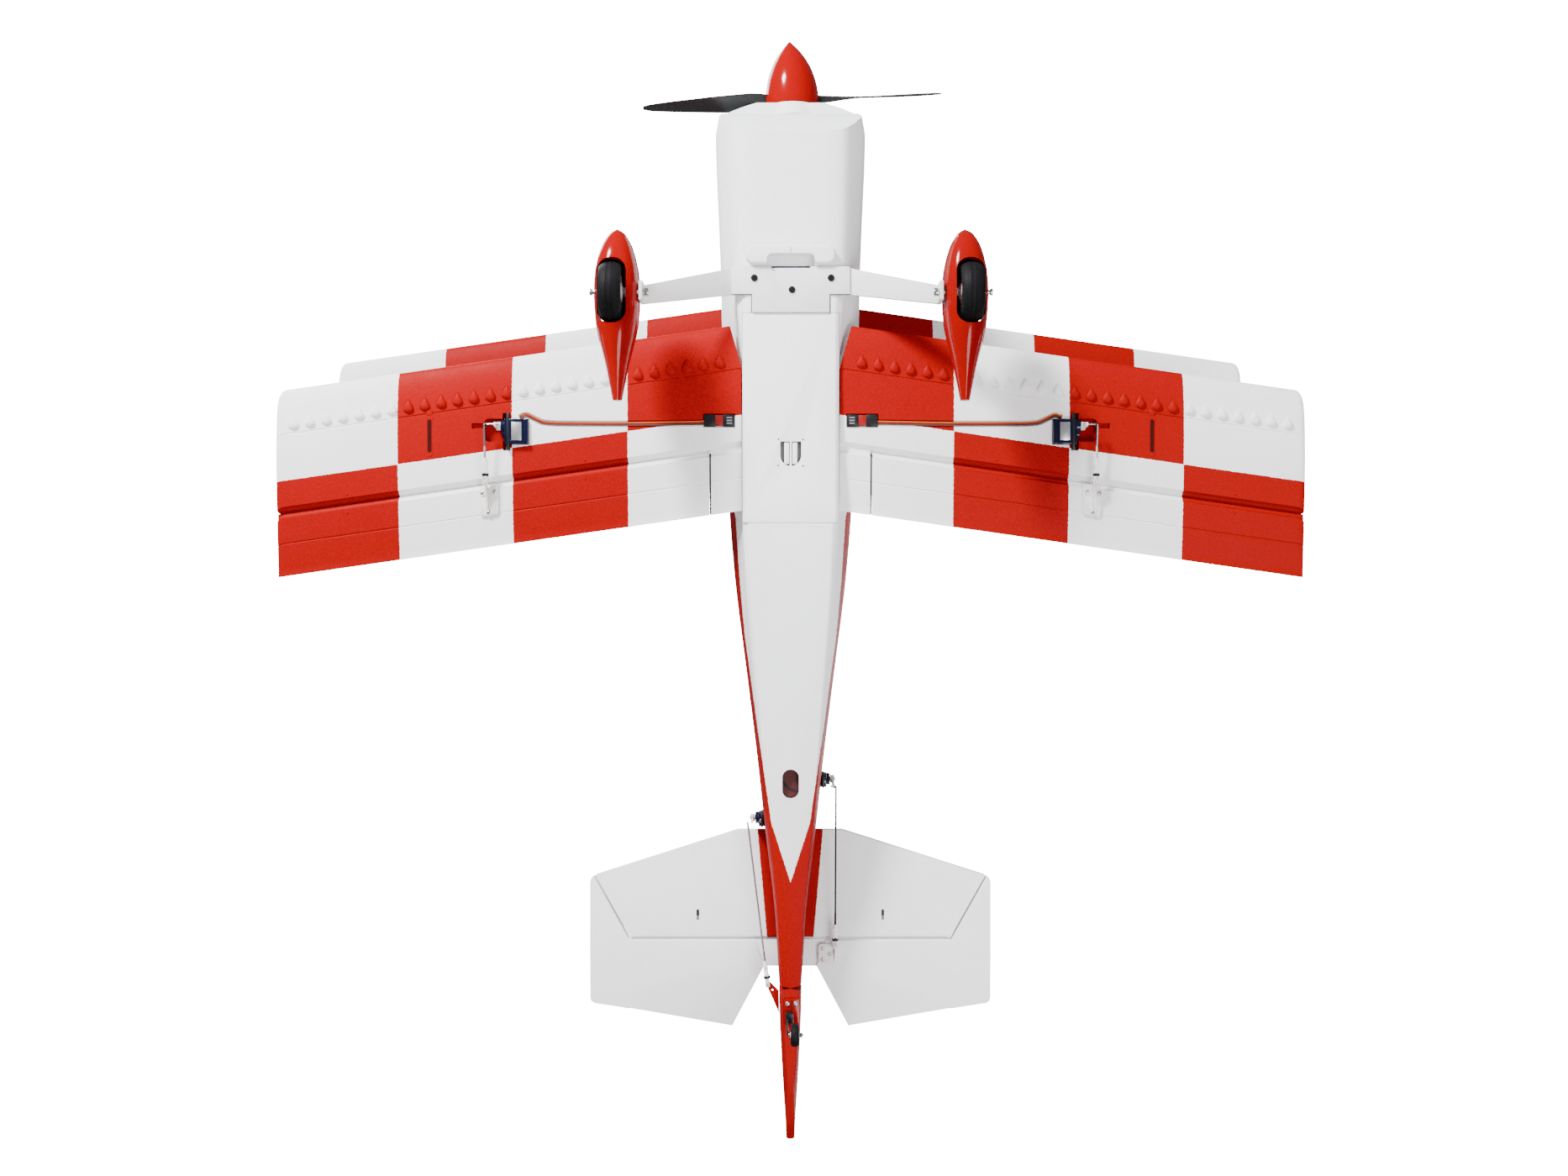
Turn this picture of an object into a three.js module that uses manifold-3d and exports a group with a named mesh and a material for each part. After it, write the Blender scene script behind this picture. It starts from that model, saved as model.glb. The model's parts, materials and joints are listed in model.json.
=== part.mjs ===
// A foam aerobatic biplane, radio controlled, standing on its two main wheels and its tailwheel.
// Millimetres. Inside the model group +X is the pilot's left, +Y the tail, +Z up, and Z = 0 is the lower
// wing's chord plane. The group is then pitched nose up until all three wheels touch Z = 0.
import * as THREE from "three";
import { mergeVertices } from "three/addons/utils/BufferGeometryUtils.js";
import Module from "manifold-3d";

const wasm = await Module();
wasm.setup();

const RADIANS = Math.PI / 180;

// ---- Driving dimensions ----
const GAP = 0.3; // between pieces that touch
const RUNNING = 0.4; // round a pin or a shaft that turns

const SPAN = 950;
const CHORD = 173;
const SWEEP = Math.tan(8.2 * RADIANS); // mm aft per mm of span
const FOIL_THICKNESS = 19;
const WING_NOSE_Y = -251.3; // lower wing's leading edge on the centre line
const WING_RISE = 195; // upper chord plane above the lower one
const STAGGER = 54; // upper wing ahead of the lower one
const ROOT_X = 45.4; // inner end of a lower wing half
const HINGE_SHARE = 0.66; // of the chord, ahead of the aileron hinge
const AILERON_INNER_X = 75;
const HINGE_GAP = 0.4;
const AILERON_BEVEL = Math.tan(30 * RADIANS);
const WING_TUBE_RADIUS = 5;
const WING_TUBE_LENGTH = 400;
const WING_TUBE_AFT = 63; // behind the centre line's leading edge

const STRUT_X = 333;
const STRUT_AFT = 61; // tab centre behind the leading edge
const STRUT_TAB = 26;
const STRUT_THICKNESS = 3.5;
const CABANE_X = 38;
const CABANE_THICKNESS = 3;
const CABANE_FOOT_Z = 116.5; // where the struts meet the fuselage's roof

const WALL = 6; // foam shell
const CHINE_RISE = 5;
const NOSE_Y = -446; // front of the fuselage
const COWL_LENGTH = 17;
const FIREWALL_Y = -428;
const FIREWALL_THICKNESS = 4;
const CAVITY_END_Y = 225;
const RUDDER_HINGE_Y = 385;
const FIN_THICKNESS = 11;
const FIN_TOP = 225;
const RUDDER_TOP = 252;
const RUDDER_BOTTOM = 50;
const RUDDER_BEVEL = Math.tan(15 * RADIANS);

const PAN_START_Y = -252.5;
const PAN_END_Y = -60;
const PAN_TOP = 11;
const PAN_WALL = 3;

const HATCH_START_Y = -120;
const HATCH_END_Y = 84;
const HATCH_HALF = 34;
const CANOPY_START_Y = -112;
const CANOPY_END_Y = 52;
const CANOPY_HALF = 29;
const CANOPY_TOP = 168;
const CANOPY_WALL = 1.6;

const TAIL_Z = 95;
const TAIL_THICKNESS = 10;
const TAIL_ROOT_Y = 239;
const TAIL_TIP_Y = 286;
const TAIL_HALF_SPAN = 197.8;
const ELEVATOR_HINGE_Y = 346;
const ELEVATOR_TIP_Y = 410.4;
const ELEVATOR_WEB_Y = 373.8;
const ELEVATOR_BEVEL = Math.tan(25 * RADIANS);

const WHEEL_X = 155.5;
const WHEEL_Y = -256;
const WHEEL_Z = -95;
const TYRE_RADIUS = 26;
const TYRE_WIDTH = 20;
const HUB_RADIUS = 13.5;
const AXLE_RADIUS = 1.9;
const PANT_X = 151.6;
const PANT_HALF = 20;
const PANT_RISE = TYRE_RADIUS - 1; // half height of the fairing
const PANT_LIFT = 11; // fairing's centre line above the axle
const PANT_LENGTH = 149;
const GEAR_THICKNESS = 3;
const GEAR_COVER_THICKNESS = 3;
const GEAR_ROOT_Y = [-294, -269.5];
const GEAR_TIP_Y = [-264, -248];
const GEAR_EXIT_X = 54;

const TAILWHEEL_RADIUS = 10.5;
const TAILWHEEL_WIDTH = 8;
const TAILWHEEL_Y = 421;
const TAILWHEEL_Z = 20;
const TAIL_WIRE_RADIUS = 1;

const THRUST_Z = 65;
const THRUST_Y = -465; // spinner's base
const THRUST_X = 2.3;
const RIGHT_THRUST = 2.8 * RADIANS;
const SPINNER_RADIUS = 26;
const SPINNER_LENGTH = 65;
const SPINNER_WALL = 1.6;
const PROP_RADIUS = 145;
const PROP_PITCH = 140;
const SHAFT_RADIUS = 2.5;
const BELL_RADIUS = 17;

const SERVO_WIDTH = 12;
const SERVO_LENGTH = 23;
const SERVO_DEPTH = 17.5; // case below its flange
const SERVO_FLANGE = 33.5;
const SERVO_HEAD = 8; // flange's underside to the top of the gear case
const SERVO_SHAFT_INSET = 6; // output shaft from the end of the case
const SERVO_HUB = 4; // arm's outer face above the gear case
const ARM_THICKNESS = 2;
const ROD_RADIUS = 0.9;
const PIN_RADIUS = 0.8;
const ARM_HOLE_SLACK = 0.55; // round the rod's pin
const HORN_THICKNESS = 1.2;
const CLEVIS_WIDTH = 5;

const AILERON_SERVO = { x: 259, y: -149.5, z: -7.2 };
const AILERON_ARM = 16;
const AILERON_ROD_X = 280;
const ELEVATOR_SERVO = { x: 30.3, y: 186, z: 72 };
const ELEVATOR_ARM = 16;
const ELEVATOR_LEAN = 20 * RADIANS;
const ELEVATOR_ROD_X = 44;
const RUDDER_SERVO = { x: -26.4, y: 226, z: 86 };
const RUDDER_ARM = 22;
const RUDDER_ROD_X = -36;
const RUDDER_HORN_Z = 66;
const RUDDER_ROD_CLEARANCE = 2.4; // beside the arm, for the rod's swing
const LINK_X = 322;
const LINK_ARM = 30; // aileron hinge to the link's line
const LINK_LIFT = 8; // link pins above and below the ailerons' chord planes

const LEAD_WIDTH = 4.4;
const LEAD_THICKNESS = 1.3;
const LEAD_Z = -7.5;
const PLUG = { inner: 52, outer: 80, width: 11, thickness: 3.4 };

const TAIL_END_Y = RUDDER_HINGE_Y - HINGE_GAP / 2;
const hingeAft = HINGE_SHARE * CHORD;
const lowerWing = { y: WING_NOSE_Y, z: 0 };
const upperWing = { y: WING_NOSE_Y - STAGGER, z: WING_RISE };

// Fuselage stations from nose to tail: bottom and top, greatest half width and its height, half widths of
// the flat keel and of the chine, and the foot of the side wall.
const STATIONS = [
  { y: NOSE_Y, low: -8, high: 127, half: 70, waist: 60, keel: 42, chine: 54, foot: 66, footZ: 16 },
  { y: -434, low: -10, high: 129, half: 72, waist: 60, keel: 42, chine: 54, foot: 68, footZ: 16 },
  { y: -340, low: -13, high: 128, half: 68.5, waist: 58, keel: 42, chine: 53, foot: 65, footZ: 15 },
  { y: -300, low: -16, high: 127, half: 67, waist: 57, keel: 41.5, chine: 51, foot: 63, footZ: 14 },
  { y: PAN_START_Y, low: -16, high: 126, half: 66, waist: 56, keel: 41, chine: 47.5, foot: 57, footZ: 12 },
  { y: -203, low: -16, high: 124, half: 64, waist: 55, keel: 40.5, chine: 44.6, foot: 45, footZ: 12 },
  { y: -71, low: -16, high: 120, half: 58.5, waist: 53, keel: 38.5, chine: 44.4, foot: 45, footZ: 12 },
  { y: -5, low: -12, high: 117, half: 53, waist: 52, keel: 36.5, chine: 41.5, foot: 44, footZ: 14 },
  { y: 75, low: -2, high: 116, half: 43, waist: 54, keel: 31.5, chine: 35.5, foot: 38, footZ: 18 },
  { y: 164, low: 12, high: 115, half: 32, waist: 60, keel: 25, chine: 28, foot: 29.5, footZ: 30 },
  { y: 234, low: 25, high: 114, half: 24.5, waist: 66, keel: 19.5, chine: 21.8, foot: 23, footZ: 40 },
  { y: 311, low: 38, high: 113, half: 15.5, waist: 72, keel: 12.5, chine: 13.8, foot: 14.7, footZ: 52 },
  {
    y: TAIL_END_Y,
    low: RUDDER_BOTTOM,
    high: 112,
    half: 11,
    waist: 78,
    keel: 9,
    chine: 10,
    foot: 10.6,
    footZ: 62,
  },
];

// ---- Shapes ----

function toSolid(geometry) {
  const bare = geometry.clone();
  bare.deleteAttribute("normal");
  bare.deleteAttribute("uv");
  const merged = mergeVertices(bare, 1e-4);
  const vertProperties = merged.attributes.position.array;
  const triVerts = new Uint32Array(merged.index.array);
  return new wasm.Manifold(new wasm.Mesh({ numProp: 3, vertProperties, triVerts }));
}

function toGeometry(solid) {
  const mesh = solid.getMesh();
  const geometry = new THREE.BufferGeometry();
  geometry.setAttribute("position", new THREE.BufferAttribute(mesh.vertProperties, 3));
  geometry.setIndex(new THREE.BufferAttribute(mesh.triVerts, 1));
  geometry.computeVertexNormals();
  return geometry;
}

function cut(base, ...tools) {
  return toGeometry(tools.reduce((solid, tool) => solid.subtract(toSolid(tool)), toSolid(base)));
}

function join(base, ...others) {
  return toGeometry(others.reduce((solid, other) => solid.add(toSolid(other)), toSolid(base)));
}

function common(a, b) {
  return toGeometry(toSolid(a).intersect(toSolid(b)));
}

// Skins a closed solid through rings of points that all go the same way round, and caps both ends.
function loft(rings) {
  const count = rings[0].length;
  const points = rings.flat();
  const indices = [];
  for (let r = 0; r + 1 < rings.length; r++) {
    for (let i = 0; i < count; i++) {
      const a = r * count + i;
      const b = r * count + ((i + 1) % count);
      indices.push(a, b, b + count, a, b + count, a + count);
    }
  }
  for (const [first, flip] of [[0, true], [(rings.length - 1) * count, false]]) {
    const middle = new THREE.Vector3();
    for (let i = 0; i < count; i++) middle.addScaledVector(points[first + i], 1 / count);
    const centre = points.push(middle) - 1;
    for (let i = 0; i < count; i++) {
      const edge = [first + i, first + ((i + 1) % count)];
      indices.push(centre, ...(flip ? edge.reverse() : edge));
    }
  }
  if (volume(points, indices) < 0) indices.reverse();
  const geometry = new THREE.BufferGeometry().setFromPoints(points);
  geometry.setIndex(indices);
  geometry.computeVertexNormals();
  return geometry;
}

function volume(points, indices) {
  const normal = new THREE.Vector3();
  let total = 0;
  for (let i = 0; i < indices.length; i += 3) {
    normal.crossVectors(points[indices[i + 1]], points[indices[i + 2]]);
    total += points[indices[i]].dot(normal) / 6;
  }
  return total;
}

// A closed geometry with its faces turned outwards, whichever way its outline ran.
function facingOut(geometry) {
  const at = geometry.attributes.position;
  const points = Array.from({ length: at.count }, (_, i) => new THREE.Vector3().fromBufferAttribute(at, i));
  const indices = Array.from(geometry.index.array);
  if (volume(points, indices) < 0) geometry.setIndex(indices.reverse());
  return geometry;
}

function box([x0, x1], [y0, y1], [z0, z1]) {
  const middle = [x0 + x1, y0 + y1, z0 + z1].map((sum) => sum / 2);
  return new THREE.BoxGeometry(x1 - x0, y1 - y0, z1 - z0).translate(...middle);
}

function polygon(points) {
  return new THREE.Shape(points.map(([a, b]) => new THREE.Vector2(a, b)));
}

function extrude(shape, depth) {
  return new THREE.ExtrudeGeometry(shape, { depth, bevelEnabled: false, curveSegments: 3 });
}

// An outline drawn in X and Y, extruded from z0 to z1.
function alongZ(shape, z0, z1) {
  return extrude(shape, z1 - z0).translate(0, 0, z0);
}

// An outline drawn in Y and Z, extruded from x0 to x1.
function alongX(shape, x0, x1) {
  const basis = new THREE.Matrix4().set(0, 0, 1, 0, 1, 0, 0, 0, 0, 1, 0, 0, 0, 0, 0, 1);
  return extrude(shape, x1 - x0).applyMatrix4(basis).translate(x0, 0, 0);
}

// An outline drawn in X and Z, extruded from y0 to y1.
function alongY(shape, y0, y1) {
  return extrude(shape, y1 - y0).rotateX(Math.PI / 2).translate(0, y1, 0);
}

function rod(radius, from, to, sides = 6) {
  const start = new THREE.Vector3(...from);
  const direction = new THREE.Vector3(...to).sub(start);
  const upright = new THREE.Vector3(0, 1, 0);
  const turn = new THREE.Quaternion().setFromUnitVectors(upright, direction.clone().normalize());
  const middle = start.addScaledVector(direction, 0.5);
  return new THREE.CylinderGeometry(radius, radius, direction.length(), sides)
    .applyQuaternion(turn)
    .translate(middle.x, middle.y, middle.z);
}

function roundedRectangle([x0, x1], [y0, y1], radius) {
  const shape = new THREE.Shape();
  shape.absarc(x1 - radius, y0 + radius, radius, -Math.PI / 2, 0);
  shape.absarc(x1 - radius, y1 - radius, radius, 0, Math.PI / 2);
  shape.absarc(x0 + radius, y1 - radius, radius, Math.PI / 2, Math.PI);
  shape.absarc(x0 + radius, y0 + radius, radius, Math.PI, 1.5 * Math.PI);
  return shape;
}

function material(color, roughness, metalness = 0) {
  return new THREE.MeshStandardMaterial({ color, roughness, metalness });
}

const white = () => material(0xe9eef0, 0.55);
const red = () => material(0xd8121a, 0.5);
const glossRed = () => material(0xc80d14, 0.2);
const whitePlastic = () => material(0xe6e6e4, 0.4);
const black = () => material(0x101214, 0.5);
const rubber = () => material(0x15171a, 0.85);
const steel = () => material(0xb9bcc0, 0.3, 1);
const carbon = () => material(0x1c1e21, 0.35);
const servoBlue = () => material(0x0d1440, 0.25);
const tint = () => material(0x14181c, 0.1);

function part(parent, name, geometry, finish) {
  const mesh = new THREE.Mesh(geometry, finish);
  mesh.name = name;
  parent.add(mesh);
  return mesh;
}

const model = new THREE.Group();

// Two groups that share a shape: the left one as drawn, the right one its mirror image.
function bothSides(build) {
  for (const [side, sign] of [["left", 1], ["right", -1]]) {
    const group = new THREE.Group();
    group.scale.x = sign;
    model.add(group);
    build(group, side);
  }
}

// ---- Wings ----

// Half the thickness of the symmetrical section, at a share of the chord.
function foilHalf(share) {
  const t = FOIL_THICKNESS / 0.2;
  const powers = [0.126, 0.3516, -0.2843, 0.1036];
  const curve = powers.reduce((sum, factor, i) => sum - factor * share ** (i + 1), 0.2969 * Math.sqrt(share));
  return Math.max(t * curve, share > 0.5 ? 0.7 : 0);
}

// The section at one place along the span, with its nose moved aft by inset and its thickness scaled.
function foilRing(wing, x, inset = 0, scale = 1) {
  const shares = [1, HINGE_SHARE, 0.45, 0.25, 0.1, 0.025];
  const noseY = wing.y + Math.abs(x) * SWEEP + inset;
  const at = (share, side) =>
    new THREE.Vector3(x, noseY + share * (CHORD - inset), wing.z + side * scale * foilHalf(share));
  return [...shares.map((s) => at(s, 1)), at(0, 0), ...shares.toReversed().map((s) => at(s, -1))];
}

function tipRings(wing, sign) {
  const tip = SPAN / 2;
  return [
    foilRing(wing, sign * (tip - 7)),
    foilRing(wing, sign * (tip - 2), 4, 0.93),
    foilRing(wing, sign * tip, 11, 0.7),
  ];
}

// A prism along the sweep: its outline is in mm behind the leading edge and above the chord plane.
function spanPrism(wing, outline, x0, x1) {
  const ring = (x) => outline.map(([aft, z]) => new THREE.Vector3(x, wing.y + x * SWEEP + aft, wing.z + z));
  return loft([ring(x0), ring(x1)]);
}

function aileronOutline(direction) {
  const deep = 14;
  const nose = hingeAft + (direction * HINGE_GAP) / 2;
  const edge = nose + direction * (deep - 0.4) * AILERON_BEVEL;
  const rear = CHORD + 20;
  return [[nose, 0.4], [edge, deep], [rear, deep], [rear, -deep], [edge, -deep], [nose, -0.4]];
}

const tipClear = SPAN / 2 + 5;

function aileronCut(wing) {
  return spanPrism(wing, aileronOutline(-1), AILERON_INNER_X - 1, tipClear);
}

function aileronGeometry(wing) {
  const half = loft([foilRing(wing, AILERON_INNER_X), ...tipRings(wing, 1)]);
  return common(half, spanPrism(wing, aileronOutline(1), AILERON_INNER_X, tipClear));
}

function strutTab(wing, clearance, z0, z1) {
  const centre = wing.y + STRUT_X * SWEEP + STRUT_AFT;
  const halfTab = STRUT_TAB / 2 + clearance;
  const halfThick = STRUT_THICKNESS / 2 + clearance;
  return box([STRUT_X - halfThick, STRUT_X + halfThick], [centre - halfTab, centre + halfTab], [z0, z1]);
}

const tubeY = WING_NOSE_Y + WING_TUBE_AFT;
const tubeBore = rod(
  WING_TUBE_RADIUS + GAP,
  [-WING_TUBE_LENGTH / 2 - 1, tubeY, 0],
  [WING_TUBE_LENGTH / 2 + 1, tubeY, 0],
  16,
);

// The ribbon's middle line, from behind the servo to its plug.
const leadRoute = [
  [AILERON_SERVO.x - 9, AILERON_SERVO.y - SERVO_SHAFT_INSET - 1.6],
  [AILERON_SERVO.x - 15, AILERON_SERVO.y - SERVO_SHAFT_INSET - 4],
  [AILERON_SERVO.x - 22, AILERON_SERVO.y - SERVO_SHAFT_INSET - 1],
  [AILERON_SERVO.x - 32, AILERON_SERVO.y - 3],
  [AILERON_SERVO.x - 60, AILERON_SERVO.y - 2],
  [140, AILERON_SERVO.y - 2],
  [PLUG.outer - 1, AILERON_SERVO.y - 3],
];

function ribbon(section, steps, lift) {
  const path = new THREE.CatmullRomCurve3(leadRoute.map(([x, y]) => new THREE.Vector3(x, y, LEAD_Z + lift)));
  return new THREE.ExtrudeGeometry(section, { steps, bevelEnabled: false, extrudePath: path });
}

function leadSection() {
  const oval = new THREE.Shape();
  oval.absellipse(0, 0, LEAD_THICKNESS / 2, LEAD_WIDTH / 2, 0, 2 * Math.PI);
  return new THREE.Shape(oval.getPoints(8).slice(0, 8));
}

function channelSection() {
  const half = LEAD_WIDTH / 2 + 0.8;
  const deep = LEAD_THICKNESS / 2 + GAP;
  return polygon([[-deep, -half], [6, -half], [6, half], [-deep, half]]);
}

function plugBox(clearance, z0, z1) {
  const y = AILERON_SERVO.y - 5;
  const half = PLUG.width / 2 + clearance;
  return box([PLUG.inner - clearance, PLUG.outer + clearance], [y - half, y + half], [z0, z1]);
}

// A servo with its output shaft on the X axis, its flange's underside at X = 0 and its case towards +Y.
function servoGeometry() {
  const ends = [-SERVO_SHAFT_INSET, SERVO_LENGTH - SERVO_SHAFT_INSET];
  const wide = SERVO_WIDTH / 2;
  const flangeOver = (SERVO_FLANGE - SERVO_LENGTH) / 2;
  return join(
    box([-SERVO_DEPTH, 4.5], ends, [-wide, wide]),
    box([0, 2.4], [ends[0] - flangeOver, ends[1] + flangeOver], [-wide, wide]),
    rod(wide - 0.2, [4, 0, 0], [SERVO_HEAD, 0, 0], 12),
    rod(3, [4, wide + 1.5, 0], [SERVO_HEAD - 0.8, wide + 1.5, 0], 8),
    rod(2.3, [SERVO_HEAD - 1, 0, 0], [SERVO_HEAD + 3.4, 0, 0], 8),
  );
}

// The space that the servo's case and flange stand in, with the same axes as the servo.
function servoPocket(outward) {
  const ends = [-SERVO_SHAFT_INSET - GAP, SERVO_LENGTH - SERVO_SHAFT_INSET + GAP];
  const wide = SERVO_WIDTH / 2 + GAP;
  const flangeOver = (SERVO_FLANGE - SERVO_LENGTH) / 2;
  return join(
    box([-SERVO_DEPTH - GAP, outward], ends, [-wide, wide]),
    box([-GAP, outward], [ends[0] - flangeOver, ends[1] + flangeOver], [-wide, wide]),
  );
}

// A servo arm on the X axis that points down and leans aft.
function servoArmGeometry(radius, lean) {
  const hubEnd = SERVO_HEAD + SERVO_HUB;
  const face = hubEnd - ARM_THICKNESS;
  const blade = polygon([
    [-3.6, 0],
    [-2, -radius],
    [-1.2, -radius - 1.7],
    [1.2, -radius - 1.7],
    [2, -radius],
    [3.6, 0],
  ]);
  const bore = rod(2.3 + GAP, [0, 0, 0], [SERVO_HEAD + 3.7, 0, 0], 8);
  const hole = rod(PIN_RADIUS + ARM_HOLE_SLACK, [0, 0, -radius], [hubEnd + 1, 0, -radius], 8);
  const hub = rod(3.9, [SERVO_HEAD + GAP, 0, 0], [hubEnd + 0.4, 0, 0], 10);
  return cut(join(hub, alongX(blade, face, hubEnd)), bore, hole).rotateX(lean);
}

// A wire rod with a clevis. Its rear pin is at the origin along X, and the rod runs towards -Y.
function pushrodGeometry(length, frontPin, forkTurn) {
  const half = CLEVIS_WIDTH / 2;
  const slot = HORN_THICKNESS / 2 + 0.7;
  const fork = join(
    cut(box([-half, half], [-19, 3], [-2.1, 2.1]), box([-slot, slot], [-9, 4], [-3, 3])),
    rod(PIN_RADIUS, [-half, 0, 0], [half, 0, 0], 8),
  ).rotateY(forkTurn);
  const wire = rod(ROD_RADIUS, [0, -length, 0], [0, -18, 0]);
  if (!frontPin) return join(fork, wire);
  return join(fork, wire, rod(PIN_RADIUS, [ROD_RADIUS, -length + 0.3, 0], [-frontPin, -length + 0.3, 0], 8));
}

// Places a pushrod so that its rear pin is at rear and its front end at front.
function pushrodBetween(front, rear, frontPin, forkTurn = 0) {
  const aft = new THREE.Vector3().subVectors(rear, front);
  const length = aft.length();
  const yAxis = aft.normalize();
  const zAxis = new THREE.Vector3().crossVectors(new THREE.Vector3(1, 0, 0), yAxis).normalize();
  const xAxis = new THREE.Vector3().crossVectors(yAxis, zAxis);
  const matrix = new THREE.Matrix4().makeBasis(xAxis, yAxis, zAxis).setPosition(rear);
  return pushrodGeometry(length, frontPin, forkTurn).applyMatrix4(matrix);
}

// A horn's fin, in mm behind and above the hinge, with its foot at footZ and its pin at the given radius.
function hornFin(radius, lean, footZ) {
  const y = radius * Math.sin(lean);
  const z = -radius * Math.cos(lean);
  return polygon([
    [4.5, footZ],
    [y - 2.2, z + 1],
    [y - 1.4, z - 1.7],
    [y + 1.4, z - 1.9],
    [y + 2.6, z - 0.4],
    [25, footZ],
  ]);
}

bothSides((group, side) => {
  const root = WING_NOSE_Y - 5;
  const rootCorner = polygon([
    [ROOT_X - 3, root],
    [ROOT_X + 13, root],
    [ROOT_X + 11, WING_NOSE_Y + 8],
    [ROOT_X, WING_NOSE_Y + 48],
    [ROOT_X - 3, WING_NOSE_Y + 48],
  ]);
  const pocket = servoPocket(SERVO_HEAD + 13).translate(AILERON_SERVO.x, AILERON_SERVO.y, AILERON_SERVO.z);
  const halfWing = loft([foilRing(lowerWing, ROOT_X), ...tipRings(lowerWing, 1)]);
  const fixed = cut(
    halfWing,
    aileronCut(lowerWing),
    alongZ(rootCorner, -20, 20),
    tubeBore,
    strutTab(lowerWing, GAP, -20, 20),
    pocket,
    pocket.clone().translate(0, 0, -4),
    ribbon(channelSection(), 14, 0),
    plugBox(0.8, -20, LEAD_Z + PLUG.thickness / 2 + GAP),
  );
  part(group, `lower_wing_${side}`, fixed, red());
  part(group, `lower_aileron_${side}`, aileronGeometry(lowerWing), white());
  part(group, `upper_aileron_${side}`, aileronGeometry(upperWing), white());

  const { x, y, z } = AILERON_SERVO;
  part(group, `aileron_servo_${side}`, servoGeometry(), servoBlue()).position.set(x, y, z);
  part(
    group,
    `aileron_servo_arm_${side}`,
    servoArmGeometry(AILERON_ARM, 0),
    whitePlastic(),
  ).position.set(x, y, z);
  const hingeY = WING_NOSE_Y + AILERON_ROD_X * SWEEP + hingeAft;
  const front = new THREE.Vector3(AILERON_ROD_X, y, z - AILERON_ARM);
  const rear = new THREE.Vector3(AILERON_ROD_X, hingeY, -AILERON_ARM);
  const reach = AILERON_ROD_X - x - SERVO_HEAD;
  part(group, `aileron_pushrod_${side}`, pushrodBetween(front, rear, reach), steel());

  const under = (aft, drop) => [hingeAft + aft, -foilHalf((hingeAft + aft) / CHORD) - drop];
  const plate = [
    under(4, GAP),
    under(18, GAP),
    under(32, GAP),
    under(32, GAP + 1.8),
    under(18, GAP + 1.8),
    under(4, GAP + 1.8),
  ];
  const fin = alongX(
    hornFin(AILERON_ARM, 0, -6.4),
    AILERON_ROD_X - HORN_THICKNESS / 2,
    AILERON_ROD_X + HORN_THICKNESS / 2,
  );
  const finHole = rod(
    PIN_RADIUS + RUNNING,
    [AILERON_ROD_X - 2, 0, -AILERON_ARM],
    [AILERON_ROD_X + 2, 0, -AILERON_ARM],
  );
  const horn = join(
    spanPrism(lowerWing, plate, AILERON_ROD_X - 16, AILERON_ROD_X + 1.5),
    cut(fin, finHole).translate(0, hingeY, 0),
  );
  part(group, `aileron_horn_${side}`, horn, whitePlastic());

  const lead = join(
    ribbon(leadSection(), 14, 0),
    plugBox(0, LEAD_Z - PLUG.thickness / 2, LEAD_Z + PLUG.thickness / 2),
  );
  part(group, `servo_lead_${side}`, lead, material(0x6b2b12, 0.5));
  part(group, `interplane_strut_${side}`, strutGeometry(), white());
  part(group, `aileron_link_${side}`, linkGeometry(), steel());
  part(group, `cabane_strut_${side}`, cabaneGeometry(), white());
});

function strutGeometry() {
  const low = lowerWing.y + STRUT_X * SWEEP + STRUT_AFT;
  const high = low - STAGGER;
  const foot = foilHalf(0.35) + GAP;
  const head = WING_RISE - foot;
  const outline = new THREE.Shape();
  outline.moveTo(low - 27, foot);
  outline.quadraticCurveTo((low + high) / 2 - 6, WING_RISE / 2, high - 27, head);
  outline.lineTo(high + 27, head);
  outline.quadraticCurveTo((low + high) / 2 + 6, WING_RISE / 2, low + 27, foot);
  const web = alongX(outline, STRUT_X - STRUT_THICKNESS / 2, STRUT_X + STRUT_THICKNESS / 2);
  return join(
    web,
    strutTab(lowerWing, 0, 1 - foot, foot + 2),
    strutTab(upperWing, 0, head - 2, WING_RISE - 2),
  );
}

function linkGeometry() {
  const rise = Math.hypot(STAGGER, WING_RISE);
  const ahead = STAGGER / rise;
  const up = WING_RISE / rise;
  const lowerHinge = WING_NOSE_Y + LINK_X * SWEEP + hingeAft;
  const slack = (LINK_ARM * ahead + LINK_LIFT) / up;
  const low = [LINK_X, lowerHinge + LINK_ARM * up, LINK_ARM * ahead];
  const high = [
    LINK_X,
    lowerHinge - STAGGER + LINK_ARM * up + slack * ahead,
    WING_RISE + LINK_ARM * ahead - slack * up,
  ];
  const eye = (at) => rod(2.2, [at[0] - 1.5, at[1], at[2]], [at[0] + 1.5, at[1], at[2]], 10);
  return join(rod(1.1, low, high), eye(low), eye(high));
}

function cabaneGeometry() {
  const low = upperWing.y + 108;
  const high = upperWing.y + 68;
  const head = WING_RISE - foilHalf(0.3) - GAP - 0.2;
  const outline = polygon([
    [low - 26, CABANE_FOOT_Z - 16],
    [low - 28, CABANE_FOOT_Z],
    [high - 34, head],
    [high + 34, head],
    [low + 28, CABANE_FOOT_Z],
    [low + 26, CABANE_FOOT_Z - 16],
  ]);
  const window = polygon([
    [low - 12, CABANE_FOOT_Z + 12],
    [high - 18, head - 12],
    [high + 18, head - 12],
    [low + 12, CABANE_FOOT_Z + 12],
  ]);
  const inner = CABANE_X - CABANE_THICKNESS / 2;
  const outer = CABANE_X + CABANE_THICKNESS / 2;
  return cut(alongX(outline, inner, outer), alongX(window, inner - 1, outer + 1));
}

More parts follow.
